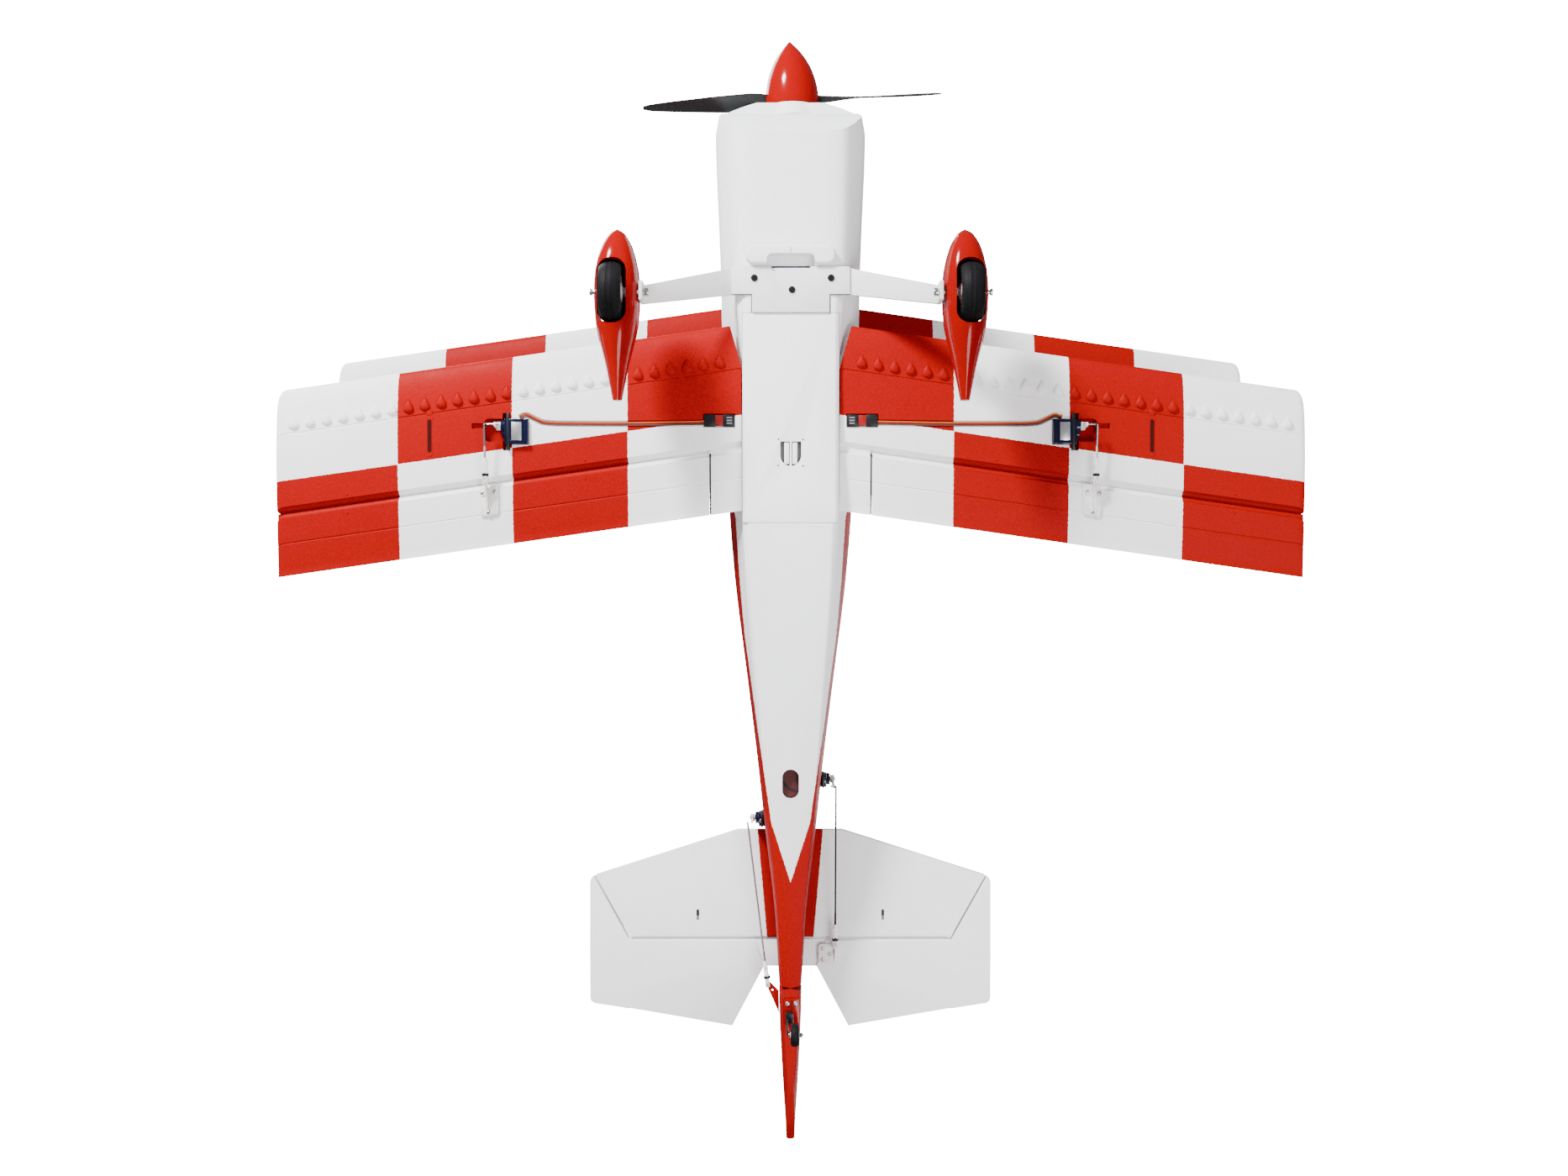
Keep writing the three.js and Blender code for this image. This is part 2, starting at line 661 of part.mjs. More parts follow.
function upperWingGeometry() {
  const whole = loft([
    ...tipRings(upperWing, -1).toReversed(),
    foilRing(upperWing, 0),
    ...tipRings(upperWing, 1),
  ]);
  const tools = [aileronCut(upperWing), strutTab(upperWing, GAP, WING_RISE - 20, WING_RISE - 2 + GAP)];
  const mirrored = tools.map((tool) => toGeometry(toSolid(tool).mirror([1, 0, 0])));
  return cut(whole, ...tools, ...mirrored);
}
part(model, "upper_wing", upperWingGeometry(), red());

const tubeEnds = [[-WING_TUBE_LENGTH / 2, tubeY, 0], [WING_TUBE_LENGTH / 2, tubeY, 0]];
part(model, "wing_tube", rod(WING_TUBE_RADIUS, ...tubeEnds, 16), carbon());

// ---- Fuselage ----

function stationAt(y) {
  const next = Math.max(1, STATIONS.findIndex((s) => s.y >= y));
  const a = STATIONS[next - 1];
  const b = STATIONS[next];
  const share = (y - a.y) / (b.y - a.y);
  return Object.fromEntries(Object.keys(a).map((key) => [key, a[key] + share * (b[key] - a[key])]));
}

// The outline of the fuselage at one station, drawn inwards by inset.
function hullRing(s, inset = 0) {
  const half = [
    [s.keel, s.low + inset],
    [s.chine - inset, s.low + CHINE_RISE + inset],
    [s.foot - inset, s.footZ],
    [(s.foot + s.half * 2) / 3 - inset, (s.footZ + s.waist) / 2],
    [s.half - inset, s.waist],
  ];
  for (const angle of [22, 44, 66]) {
    const across = (s.half - inset) * Math.cos(angle * RADIANS) ** 0.87;
    half.push([across, s.waist + (s.high - inset - s.waist) * Math.sin(angle * RADIANS) ** 0.87]);
  }
  half[0][0] = Math.min(half[0][0], half[1][0] - 1);
  const mirrored = half.map(([x, z]) => [-x, z]).reverse();
  return [
    [0, s.low + inset],
    ...half,
    [0, s.high - inset],
    ...mirrored,
  ].map(([x, z]) => new THREE.Vector3(x, s.y, z));
}

function hull(y0, y1, inset) {
  const inside = STATIONS.filter((s) => s.y > y0 + 0.5 && s.y < y1 - 0.5);
  return loft([stationAt(y0), ...inside, stationAt(y1)].map((s) => hullRing(s, inset)));
}

function rudderVee(direction) {
  const nose = RUDDER_HINGE_Y + (direction * HINGE_GAP) / 2;
  const wide = 24;
  const edge = nose + direction * (wide - 0.4) * RUDDER_BEVEL;
  return [[0.4, nose], [wide, edge], [wide, nose + 40], [-wide, nose + 40], [-wide, edge], [-0.4, nose]];
}

const outerHull = hull(NOSE_Y, TAIL_END_Y, 0);
const cavity = hull(FIREWALL_Y + FIREWALL_THICKNESS, CAVITY_END_Y, WALL);
const shell = cut(outerHull, cavity);
const tabTop = stationAt(HATCH_START_Y).high;
const hatchCut = box([-HATCH_HALF, HATCH_HALF], [HATCH_START_Y, HATCH_END_Y], [90, tabTop + 20]);
const hatchFill = box(
  [-HATCH_HALF + GAP, HATCH_HALF - GAP],
  [HATCH_START_Y + GAP, HATCH_END_Y - GAP],
  [90 + GAP, tabTop + 20],
);

function panOutline(clearance, inset = 0) {
  const start = stationAt(PAN_START_Y).chine - 3 - inset + clearance;
  const middle = ROOT_X - 0.9 - inset + clearance;
  const end = stationAt(PAN_END_Y).chine - inset + clearance;
  const y0 = PAN_START_Y + inset - clearance;
  const y1 = PAN_END_Y - inset + clearance;
  return polygon([[-start, y0], [start, y0], [middle, -203], [end, y1], [-end, y1], [-middle, -203]]);
}

function stabHalf(grow, hingeY) {
  return [
    [0, TAIL_ROOT_Y - grow],
    [51.6, TAIL_ROOT_Y - grow],
    [TAIL_HALF_SPAN - 5.2 - grow, TAIL_TIP_Y - 2 - grow],
    [157.5 - grow, hingeY],
    [0, hingeY],
  ];
}

// A closed outline from its right half, which starts and ends on the centre line.
function fullOutline(half) {
  const mirrored = half.map(([x, y]) => [-x, y]).filter(([x]) => x !== 0).reverse();
  return polygon([...half, ...mirrored]);
}

const scoopHalf = 41.5;
const scoopY = [-315, -296];
const coverTop = stationAt(GEAR_ROOT_Y[0]).low + 1;
const gearTop = coverTop + GEAR_THICKNESS + GAP;

function fuselageGeometry() {
  const fin = alongX(
    polygon([
      [212, 105],
      [345, FIN_TOP],
      [TAIL_END_Y, FIN_TOP],
      [TAIL_END_Y, 105],
    ]),
    -FIN_THICKNESS / 2,
    FIN_THICKNESS / 2,
  );
  const scoop = alongZ(roundedRectangle([-scoopHalf, scoopHalf], [scoopY[0], scoopY[1] - GAP], 7), -19, -8);
  const front = hull(NOSE_Y, FIREWALL_Y, WALL).translate(0, -0.01, 0);
  const notch = box([-40, 40], [ELEVATOR_HINGE_Y - 0.8, TAIL_END_Y + 9], [TAIL_Z - 18.5, TAIL_Z + 18.5]);
  const slot = alongZ(
    fullOutline(stabHalf(GAP, ELEVATOR_HINGE_Y + 1)),
    TAIL_Z - TAIL_THICKNESS / 2 - GAP,
    TAIL_Z + TAIL_THICKNESS / 2 + GAP,
  );
  const window = alongZ(roundedRectangle([-7.8, 7.8], [170, 198], 7.7), -10, 40);
  const gearBay = alongY(
    polygon([
      [-75, coverTop - 10],
      [75, coverTop - 10],
      [75, gearTop + 6],
      [GEAR_EXIT_X + 2, gearTop],
      [-GEAR_EXIT_X - 2, gearTop],
      [-75, gearTop + 6],
    ]),
    GEAR_ROOT_Y[0] - 1.3,
    GEAR_ROOT_Y[1] + 0.6,
  );
  const coverTab = box([-36, 36], [GEAR_ROOT_Y[1], PAN_START_Y + 1], [coverTop - 10, coverTop + GAP]);
  const recess = alongZ(roundedRectangle([-18, 18], [-307, -290], 4), -25, -13.5);
  const panBay = alongZ(panOutline(GAP), -30, PAN_TOP + GAP);
  const wingBay = box([-60, 60], [-203, PAN_END_Y + GAP], [-30, PAN_TOP + GAP]);
  const leftPocket = servoPocket(20).rotateX(-Math.PI / 2).translate(
    ELEVATOR_SERVO.x,
    ELEVATOR_SERVO.y,
    ELEVATOR_SERVO.z,
  );
  const rightPocket = servoPocket(20)
    .rotateX(-Math.PI / 2)
    .rotateZ(Math.PI)
    .translate(RUDDER_SERVO.x, RUDDER_SERVO.y, RUDDER_SERVO.z);
  const cabanes = [-1, 1].map((sign) => {
    const x = sign * CABANE_X;
    const half = CABANE_THICKNESS / 2 + GAP;
    return box(
      [x - half, x + half],
      [upperWing.y + 80, upperWing.y + 136],
      [CABANE_FOOT_Z - 16 - GAP, CABANE_FOOT_Z + 20],
    );
  });
  return cut(
    join(shell, fin, scoop),
    front,
    hatchCut,
    panBay,
    wingBay,
    notch,
    slot,
    window,
    gearBay,
    coverTab,
    recess,
    leftPocket,
    rightPocket,
    alongZ(polygon(rudderVee(-1)), 30, FIN_TOP + 10),
    ...cabanes,
  );
}
part(model, "fuselage", fuselageGeometry(), white());

part(model, "hatch", common(shell, hatchFill), white());

function canopyRing(y, share, wall) {
  const base = 100;
  const points = [];
  for (let angle = 0; angle <= 180; angle += 30) {
    const across = (CANOPY_HALF * share - wall) * Math.cos(angle * RADIANS);
    points.push([across, base + ((CANOPY_TOP - base) * share - wall) * Math.sin(angle * RADIANS) ** 0.8]);
  }
  return points.map(([x, z]) => new THREE.Vector3(x, y, z));
}

function canopySolid(wall) {
  const length = CANOPY_END_Y - CANOPY_START_Y;
  const rings = [[0.02, 0.42], [0.12, 0.7], [0.3, 0.94], [0.5, 1], [0.75, 0.85], [0.98, 0.46]];
  return loft(rings.map(([at, share]) => canopyRing(
    CANOPY_START_Y + at * length * (1 - wall / 100),
    share,
    wall,
  )));
}
const seat = hull(HATCH_START_Y, HATCH_END_Y, -GAP);
part(model, "canopy", cut(canopySolid(0), canopySolid(CANOPY_WALL).translate(0, 1, -1), seat), tint());

function panGeometry() {
  const low = STATIONS[5].low;
  const tray = cut(
    alongZ(panOutline(0), low, PAN_TOP),
    alongZ(panOutline(0, PAN_WALL), low + PAN_WALL, PAN_TOP + 5),
  );
  const chines = [-1, 1].map((sign) => {
    const x = sign * (ROOT_X - 0.9);
    return alongY(
      polygon([[x + sign * 2, low - 1], [x + sign * 2, low + 4.2], [x - sign * 5, low - 1]]),
      PAN_START_Y - 5,
      PAN_END_Y + 5,
    );
  });
  const outlet = new THREE.Shape();
  outlet.moveTo(-9.5, -112);
  outlet.lineTo(-9.5, -122);
  outlet.absarc(0, -122, 9.5, Math.PI, 2 * Math.PI);
  outlet.lineTo(9.5, -112);
  const hole = cut(alongZ(outlet, -30, -5), box([-1, 1], [-140, -100], [-40, 0]));
  return cut(tray, tubeBore, hole, ...chines);
}
part(model, "belly_pan", panGeometry(), white());

function cowlGeometry() {
  const base = stationAt(NOSE_Y);
  const ring = (y, shrink, wall) => {
    const smaller = {
      half: base.half - shrink,
      foot: base.foot - shrink,
      keel: base.keel - shrink * 0.8,
      chine: base.chine - shrink,
      low: base.low + shrink,
      high: base.high - shrink,
    };
    return hullRing({ ...base, ...smaller, y }, wall);
  };
  const back = NOSE_Y - GAP;
  const faceY = back - COWL_LENGTH;
  const outer = loft([
    ring(faceY, 20, 0),
    ring(faceY + 2.5, 11, 0),
    ring(faceY + 7, 4.5, 0),
    ring(back, 0, 0),
  ]);
  const inner = loft([ring(faceY + 3, 19, 0), ring(faceY + 8, 8, 0), ring(back + 1, 4, 0)]);
  const throat = rod(
    SPINNER_RADIUS + 5,
    [THRUST_X, faceY - 5, THRUST_Z],
    [THRUST_X, faceY + 10, THRUST_Z],
    24,
  );
  return cut(outer, inner, throat);
}
part(model, "cowl", cowlGeometry(), white());

// ---- Tail ----

const tailZ = [TAIL_Z - TAIL_THICKNESS / 2, TAIL_Z + TAIL_THICKNESS / 2];
const stabEdge = ELEVATOR_HINGE_Y - HINGE_GAP / 2;

function hingeVee(y, z, direction, bevel) {
  const deep = 12;
  const nose = y + (direction * HINGE_GAP) / 2;
  const edge = nose + direction * (deep - 0.4) * bevel;
  return polygon([
    [nose, z + 0.4],
    [edge, z + deep],
    [nose + 120, z + deep],
    [nose + 120, z - deep],
    [edge, z - deep],
    [nose, z - 0.4],
  ]);
}

const stabBevel = alongX(hingeVee(ELEVATOR_HINGE_Y, TAIL_Z, -1, ELEVATOR_BEVEL), -157, 157);
part(model, "stabilizer", cut(alongZ(fullOutline(stabHalf(0, stabEdge)), ...tailZ), stabBevel), white());

function elevatorGeometry() {
  const gap = 1.2;
  const main = [
    [0, ELEVATOR_HINGE_Y - 1],
    [160, ELEVATOR_HINGE_Y - 1],
    [160, ELEVATOR_TIP_Y + 5],
    [57.4, 433.2],
    [26.1, ELEVATOR_WEB_Y],
    [0, ELEVATOR_WEB_Y],
  ];
  const tip = polygon([
    [157.5 + gap, ELEVATOR_HINGE_Y + 2],
    [TAIL_HALF_SPAN - 5.2 + gap, TAIL_TIP_Y - 1],
    [TAIL_HALF_SPAN, TAIL_TIP_Y + 3],
    [TAIL_HALF_SPAN, ELEVATOR_TIP_Y - 3],
    [TAIL_HALF_SPAN - 3, ELEVATOR_TIP_Y],
    [159, ELEVATOR_TIP_Y + 5.8],
    [157.5 + gap, ELEVATOR_HINGE_Y + 6],
  ]);
  const hinged = common(
    alongZ(fullOutline(main), ...tailZ),
    alongX(hingeVee(ELEVATOR_HINGE_Y, TAIL_Z, 1, ELEVATOR_BEVEL), -170, 170),
  );
  const tips = alongZ(tip, ...tailZ);
  const plan = join(hinged, tips, toGeometry(toSolid(tips).mirror([1, 0, 0])));
  const taper = polygon([
    [TAIL_TIP_Y - 5, tailZ[0] - 1],
    [TAIL_TIP_Y - 5, tailZ[1] + 1],
    [ELEVATOR_HINGE_Y + 12, tailZ[1] + 1],
    [ELEVATOR_HINGE_Y + 12, tailZ[1]],
    [436, TAIL_Z + 1.4],
    [436, TAIL_Z - 1.4],
    [ELEVATOR_HINGE_Y + 12, tailZ[0]],
    [ELEVATOR_HINGE_Y + 12, tailZ[0] - 1],
  ]);
  return common(plan, alongX(taper, -210, 210));
}
part(model, "elevator", elevatorGeometry(), white());

const tailServo = (name, at, flip) => {
  const place = (mesh) => {
    mesh.rotation.set(0, 0, flip ? Math.PI : 0);
    mesh.position.set(at.x, at.y, at.z);
  };
  place(part(model, `${name}_servo`, servoGeometry().rotateX(-Math.PI / 2), servoBlue()));
  const [radius, lean] = flip ? [RUDDER_ARM, 0] : [ELEVATOR_ARM, ELEVATOR_LEAN];
  place(part(model, `${name}_servo_arm`, servoArmGeometry(radius, lean), whitePlastic()));
};
tailServo("elevator", ELEVATOR_SERVO, false);
tailServo("rudder", RUDDER_SERVO, true);

const elevatorPin = { y: ELEVATOR_ARM * Math.sin(ELEVATOR_LEAN), z: -ELEVATOR_ARM * Math.cos(ELEVATOR_LEAN) };
part(
  model,
  "elevator_pushrod",
  pushrodBetween(
    new THREE.Vector3(ELEVATOR_ROD_X, ELEVATOR_SERVO.y + elevatorPin.y, ELEVATOR_SERVO.z + elevatorPin.z),
    new THREE.Vector3(ELEVATOR_ROD_X, ELEVATOR_HINGE_Y + elevatorPin.y, TAIL_Z + elevatorPin.z),
    ELEVATOR_ROD_X - ELEVATOR_SERVO.x - SERVO_HEAD - 0.3,
  ),
  carbon(),
);

function elevatorHornGeometry() {
  const foot = -TAIL_THICKNESS / 2 - GAP;
  const [inner, outer] = [ELEVATOR_ROD_X - HORN_THICKNESS / 2, ELEVATOR_ROD_X + HORN_THICKNESS / 2];
  const fin = alongX(hornFin(ELEVATOR_ARM, ELEVATOR_LEAN, foot), inner, outer);
  const hole = rod(
    PIN_RADIUS + RUNNING,
    [inner - 1, elevatorPin.y, elevatorPin.z],
    [outer + 1, elevatorPin.y, elevatorPin.z],
  );
  const base = box([outer - 17, outer + 1], [5, 25], [foot - 1.8, foot]);
  return join(cut(fin, hole), base).translate(0, ELEVATOR_HINGE_Y, TAIL_Z);
}
part(model, "elevator_horn", elevatorHornGeometry(), whitePlastic());

// The rudder's section at one height: nose, greatest half thickness, and trailing edge.
function rudderRing(z, half, rear) {
  const nose = RUDDER_HINGE_Y + HINGE_GAP / 2;
  const shoulder = nose + (half - 0.4) * RUDDER_BEVEL;
  const at = (share) => shoulder + (rear - shoulder) * share;
  const side = [
    [0.4, nose],
    [half, shoulder],
    [half * 0.87, at(0.36)],
    [half * 0.42, at(0.85)],
    [half * 0.2, rear],
  ];
  const mirrored = side.map(([x, y]) => [-x, y]).reverse();
  return [...side, ...mirrored].map(([x, y]) => new THREE.Vector3(x, y, z));
}

function rudderGeometry() {
  const levels = [
    [RUDDER_BOTTOM, 8, 482],
    [RUDDER_BOTTOM + 7, 10.4, 516],
    [RUDDER_BOTTOM + 20, 11, 537],
    [108, 9.4, 539],
    [128, 5.8, 538],
    [200, FIN_THICKNESS / 2, 527],
    [RUDDER_TOP, 4, 500],
  ];
  const blade = loft(levels.map(([z, half, rear]) => rudderRing(z, half, rear)));
  const balance = box([-4, 4], [347, RUDDER_HINGE_Y + 20], [FIN_TOP + 1, RUDDER_TOP]);
  return join(blade, balance);
}
part(model, "rudder", rudderGeometry(), red());

const rudderPin = new THREE.Vector3(-RUDDER_ARM, RUDDER_HINGE_Y, RUDDER_HORN_Z);

function rudderHornGeometry() {
  const x = rudderPin.x;
  const outline = polygon([
    [-11.3, 391],
    [-10.7, 414],
    [x - 2.2, RUDDER_HINGE_Y + 2],
    [x - 2.2, RUDDER_HINGE_Y - 2],
    [x + 2.4, RUDDER_HINGE_Y - 2.2],
  ]);
  const half = HORN_THICKNESS / 2;
  const hole = rod(
    PIN_RADIUS + RUNNING,
    [x, RUDDER_HINGE_Y, RUDDER_HORN_Z - 3],
    [x, RUDDER_HINGE_Y, RUDDER_HORN_Z + 3],
  );
  return cut(alongZ(outline, RUDDER_HORN_Z - half, RUDDER_HORN_Z + half), hole);
}
part(model, "rudder_horn", rudderHornGeometry(), red());
part(
  model,
  "rudder_pushrod",
  pushrodBetween(
    new THREE.Vector3(
      RUDDER_SERVO.x - SERVO_HEAD - SERVO_HUB - ROD_RADIUS - RUDDER_ROD_CLEARANCE,
      RUDDER_SERVO.y,
      RUDDER_SERVO.z - RUDDER_ARM,
    ),
    rudderPin,
    0,
    Math.PI / 2,
  ),
  steel(),
);

const bracketTop = RUDDER_BOTTOM - GAP;
const wireX = -3;

function bracketGeometry() {
  const plate = box([-6, 6], [394, 419], [bracketTop - 1.6, bracketTop]);
  const block = box([wireX - 3.5, wireX + 3.5], [406, 416], [bracketTop - 10, bracketTop]);
  return cut(
    join(plate, block),
    rod(TAIL_WIRE_RADIUS + GAP, [wireX, 411, bracketTop - 20], [wireX, 411, bracketTop - 2.5]),
  );
}
part(model, "tailwheel_bracket", bracketGeometry(), black());

const axleEnd = TAILWHEEL_WIDTH + 4;

function wireGeometry() {
  const knee = [wireX, 413, bracketTop - 13];
  const corner = [wireX, TAILWHEEL_Y, TAILWHEEL_Z];
  const joint = (at) => new THREE.SphereGeometry(TAIL_WIRE_RADIUS, 6, 4).translate(...at);
  return join(
    rod(TAIL_WIRE_RADIUS, [wireX, 411, bracketTop - 12], [wireX, 411, bracketTop - 3]),
    rod(TAIL_WIRE_RADIUS, [wireX, 411, bracketTop - 12], knee),
    joint([wireX, 411, bracketTop - 12]),
    rod(TAIL_WIRE_RADIUS, knee, corner),
    joint(knee),
    joint(corner),
    rod(TAIL_WIRE_RADIUS, corner, [axleEnd, TAILWHEEL_Y, TAILWHEEL_Z]),
  );
}
part(model, "tailwheel_wire", wireGeometry(), steel());

// A wheel turned about X from half an outline of [radius, x] points that closes on itself.
function turned(outline, segments) {
  const points = [...outline, outline[0]].map(([radius, x]) => new THREE.Vector2(radius, x));
  return facingOut(new THREE.LatheGeometry(points, segments).rotateZ(-Math.PI / 2));
}

function tyreOutline(bore, radius, width) {
  const half = width / 2;
  return [
    [bore, -half + 1],
    [radius * 0.8, -half],
    [radius, -half * 0.5],
    [radius, half * 0.5],
    [radius * 0.8, half],
    [bore, half - 1],
  ];
}

const tailBore = TAIL_WIRE_RADIUS + GAP;
const tailwheel = turned(tyreOutline(tailBore, TAILWHEEL_RADIUS, TAILWHEEL_WIDTH), 16);
part(model, "tailwheel", tailwheel, rubber()).position.set(TAILWHEEL_WIDTH / 2, TAILWHEEL_Y, TAILWHEEL_Z);

// ---- Landing gear ----

const gearMid = (coverTop + GAP + gearTop - GAP) / 2;
const tabX = PANT_X - PANT_HALF - GAP - GEAR_THICKNESS;

function strutSheet() {
  const t = GEAR_THICKNESS;
  const low = coverTop + GAP;
  const bottom = WHEEL_Z - 7;
  const kneeZ = WHEEL_Z + 16;
  const right = [
    [GEAR_EXIT_X + 0.8, low],
    [tabX, kneeZ],
    [tabX, bottom],
    [tabX + t, bottom],
    [tabX + t, kneeZ + 2],
    [GEAR_EXIT_X + 1.8, low + t],
  ];
  const left = right.map(([x, z]) => [-x, z]).reverse();
  const sheet = alongY(polygon([...right, ...left]), GEAR_ROOT_Y[0] - 5, GEAR_TIP_Y[1] + 5);
  const plan = [
    [0, GEAR_ROOT_Y[0]],
    [GEAR_EXIT_X, GEAR_ROOT_Y[0]],
    [tabX + t + 1, GEAR_TIP_Y[0]],
    [tabX + t + 1, GEAR_TIP_Y[1]],
    [GEAR_EXIT_X, GEAR_ROOT_Y[1]],
    [0, GEAR_ROOT_Y[1]],
  ];
  const bore = rod(AXLE_RADIUS + GAP, [-WHEEL_X, WHEEL_Y, WHEEL_Z], [WHEEL_X, WHEEL_Y, WHEEL_Z], 12);
  return cut(common(sheet, alongZ(fullOutline(plan), WHEEL_Z - 20, gearMid + 20)), bore);
}
part(model, "gear_strut", strutSheet(), white());

function gearCoverGeometry() {
  const outline = fullOutline([
    [0, GEAR_ROOT_Y[0] - 0.7],
    [GEAR_EXIT_X, GEAR_ROOT_Y[0] - 0.7],
    [GEAR_EXIT_X, GEAR_ROOT_Y[1]],
    [35.5, GEAR_ROOT_Y[1]],
    [35.5, PAN_START_Y - GAP],
    [0, PAN_START_Y - GAP],
  ]);
  const notch = alongZ(roundedRectangle([-18, 18], [-320, -290], 4), -30, 0);
  return cut(alongZ(outline, coverTop - GEAR_COVER_THICKNESS, coverTop), notch);
}
part(model, "gear_cover", gearCoverGeometry(), white());

function pantRing(y, share) {
  const points = [];
  for (let i = 0; i < 12; i++) {
    const angle = (i / 12) * 2 * Math.PI;
    const round = (value) => Math.sign(value) * Math.abs(value) ** 0.72;
    const x = PANT_X + PANT_HALF * share * round(Math.cos(angle));
    const z = WHEEL_Z + PANT_LIFT + PANT_RISE * share * round(Math.sin(angle));
    points.push(new THREE.Vector3(x, y, z));
  }
  return points;
}

function pantGeometry() {
  const nose = WHEEL_Y - PANT_LENGTH * 0.38;
  const profile = [
    [0, 0.12],
    [0.03, 0.36],
    [0.12, 0.72],
    [0.25, 0.94],
    [0.38, 1],
    [0.55, 0.93],
    [0.8, 0.5],
    [1, 0.2],
  ];
  const body = loft(profile.map(([at, share]) => pantRing(nose + at * PANT_LENGTH, share)));
  const reach = TYRE_RADIUS + 2.2;
  const well = alongZ(
    roundedRectangle(
      [WHEEL_X - TYRE_WIDTH / 2 - 3.6, WHEEL_X + TYRE_WIDTH / 2 + 2.1],
      [WHEEL_Y - reach, WHEEL_Y + reach],
      9,
    ),
    WHEEL_Z - 60,
    WHEEL_Z + TYRE_RADIUS + 2,
  );
  const bore = rod(AXLE_RADIUS + GAP, [100, WHEEL_Y, WHEEL_Z], [200, WHEEL_Y, WHEEL_Z], 12);
  return cut(body, well, bore);
}

bothSides((group, side) => {
  part(group, `wheel_pant_${side}`, pantGeometry(), glossRed());
  const seat = HUB_RADIUS + GAP;
  const tyre = turned(tyreOutline(seat, TYRE_RADIUS, TYRE_WIDTH), 24);
  part(group, `tyre_${side}`, tyre, rubber()).position.set(WHEEL_X, WHEEL_Y, WHEEL_Z);
  const half = TYRE_WIDTH / 2;
  const bore = AXLE_RADIUS + RUNNING;
  const hub = turned(
    [
      [bore, -half - 0.6],
      [5, -half - 0.6],
      [HUB_RADIUS, -half + 2],
      [HUB_RADIUS, half - 2],
      [5, half + 0.6],
      [bore, half + 0.6],
    ],
    16,
  );
  part(group, `wheel_hub_${side}`, hub, whitePlastic()).position.set(WHEEL_X, WHEEL_Y, WHEEL_Z);
  const from = tabX - 3;
  const to = PANT_X + PANT_HALF + 3;
  const collarAt = WHEEL_X - half - 1.2;
  const axle = join(
    rod(AXLE_RADIUS, [from, WHEEL_Y, WHEEL_Z], [to, WHEEL_Y, WHEEL_Z], 8),
    rod(3.4, [from - 2, WHEEL_Y, WHEEL_Z], [tabX - GAP, WHEEL_Y, WHEEL_Z], 10),
    rod(4, [collarAt - 1.6, WHEEL_Y, WHEEL_Z], [collarAt, WHEEL_Y, WHEEL_Z], 10),
    rod(3.2, [PANT_X + PANT_HALF + GAP, WHEEL_Y, WHEEL_Z], [to, WHEEL_Y, WHEEL_Z], 6),
  );
  part(group, `axle_${side}`, axle, steel());
});

// ---- Power train, about the thrust line ----

const power = new THREE.Group();
power.position.set(THRUST_X, THRUST_Y, THRUST_Z);
power.rotation.z = -RIGHT_THRUST;
model.add(power);

// A body turned about Y from half an outline of [radius, y] points that closes on itself.
function turnedY(outline, segments) {
  const points = [...outline, outline[0]].map(([radius, y]) => new THREE.Vector2(radius, y));
  return facingOut(new THREE.LatheGeometry(points, segments));
}

const mountBack = FIREWALL_Y - THRUST_Y - 1.8;
const bore = SHAFT_RADIUS + RUNNING;
const cross = [
  box([-19, 19], [mountBack - 3, mountBack], [-4, 4]),
  box([-4, 4], [mountBack - 3, mountBack], [-19, 19]),
];
const stator = turnedY([[bore, 14], [12, 14], [12, mountBack - 1], [bore, mountBack - 1]], 16);
const core = rod(bore, [0, 12, 0], [0, mountBack + 3, 0], 16);
part(power, "motor_stator", cut(join(stator, ...cross), core), steel());
const bell = turnedY(
  [
    [0, mountBack - 6],
    [SHAFT_RADIUS, mountBack - 6],
    [SHAFT_RADIUS, 12],
    [14.4, 12],
    [14.4, mountBack - 6],
    [BELL_RADIUS, mountBack - 6],
    [BELL_RADIUS, 10],
    [12, 8.5],
    [SHAFT_RADIUS, 8.5],
    [SHAFT_RADIUS, -16],
    [0, -16],
  ],
  16,
);
part(power, "motor_bell", bell, material(0x2a2c30, 0.35, 0.9));

function bladeRing(radius, chord, thickness) {
  const pitch = Math.min(Math.atan(PROP_PITCH / (2 * Math.PI * radius)), 48 * RADIANS);
  const section = [
    [-0.5, 0.08],
    [-0.2, 0.5],
    [0.2, 0.35],
    [0.5, 0.05],
    [0.5, -0.05],
    [0, -0.22],
    [-0.5, -0.08],
  ];
  return section.map(([along, off]) => {
    const a = -along * chord;
    const b = off * thickness;
    return new THREE.Vector3(
      radius,
      PROP_Y - a * Math.sin(pitch) - b * Math.cos(pitch),
      a * Math.cos(pitch) - b * Math.sin(pitch),
    );
  });
}

const PROP_Y = -8;

function bladePair(grow) {
  const stations = [
    [5, 11, 6],
    [22, 16, 4.4],
    [42, 25, 3.2],
    [70, 27, 2.5],
    [105, 23, 2],
    [132, 16, 1.6],
    [PROP_RADIUS, 7, 1.2],
  ];
  const blade = loft(stations.map(([radius, chord, thick]) => bladeRing(
    radius,
    chord + 2 * grow,
    thick + 2.6 * grow,
  )));
  return [blade, blade.clone().rotateY(Math.PI)];
}
const hubBore = rod(SHAFT_RADIUS + GAP, [0, -30, 0], [0, 10, 0], 12);
part(
  power,
  "propeller",
  cut(join(rod(7.5, [0, -13.5, 0], [0, -3, 0], 16), ...bladePair(0)), hubBore),
  black(),
);

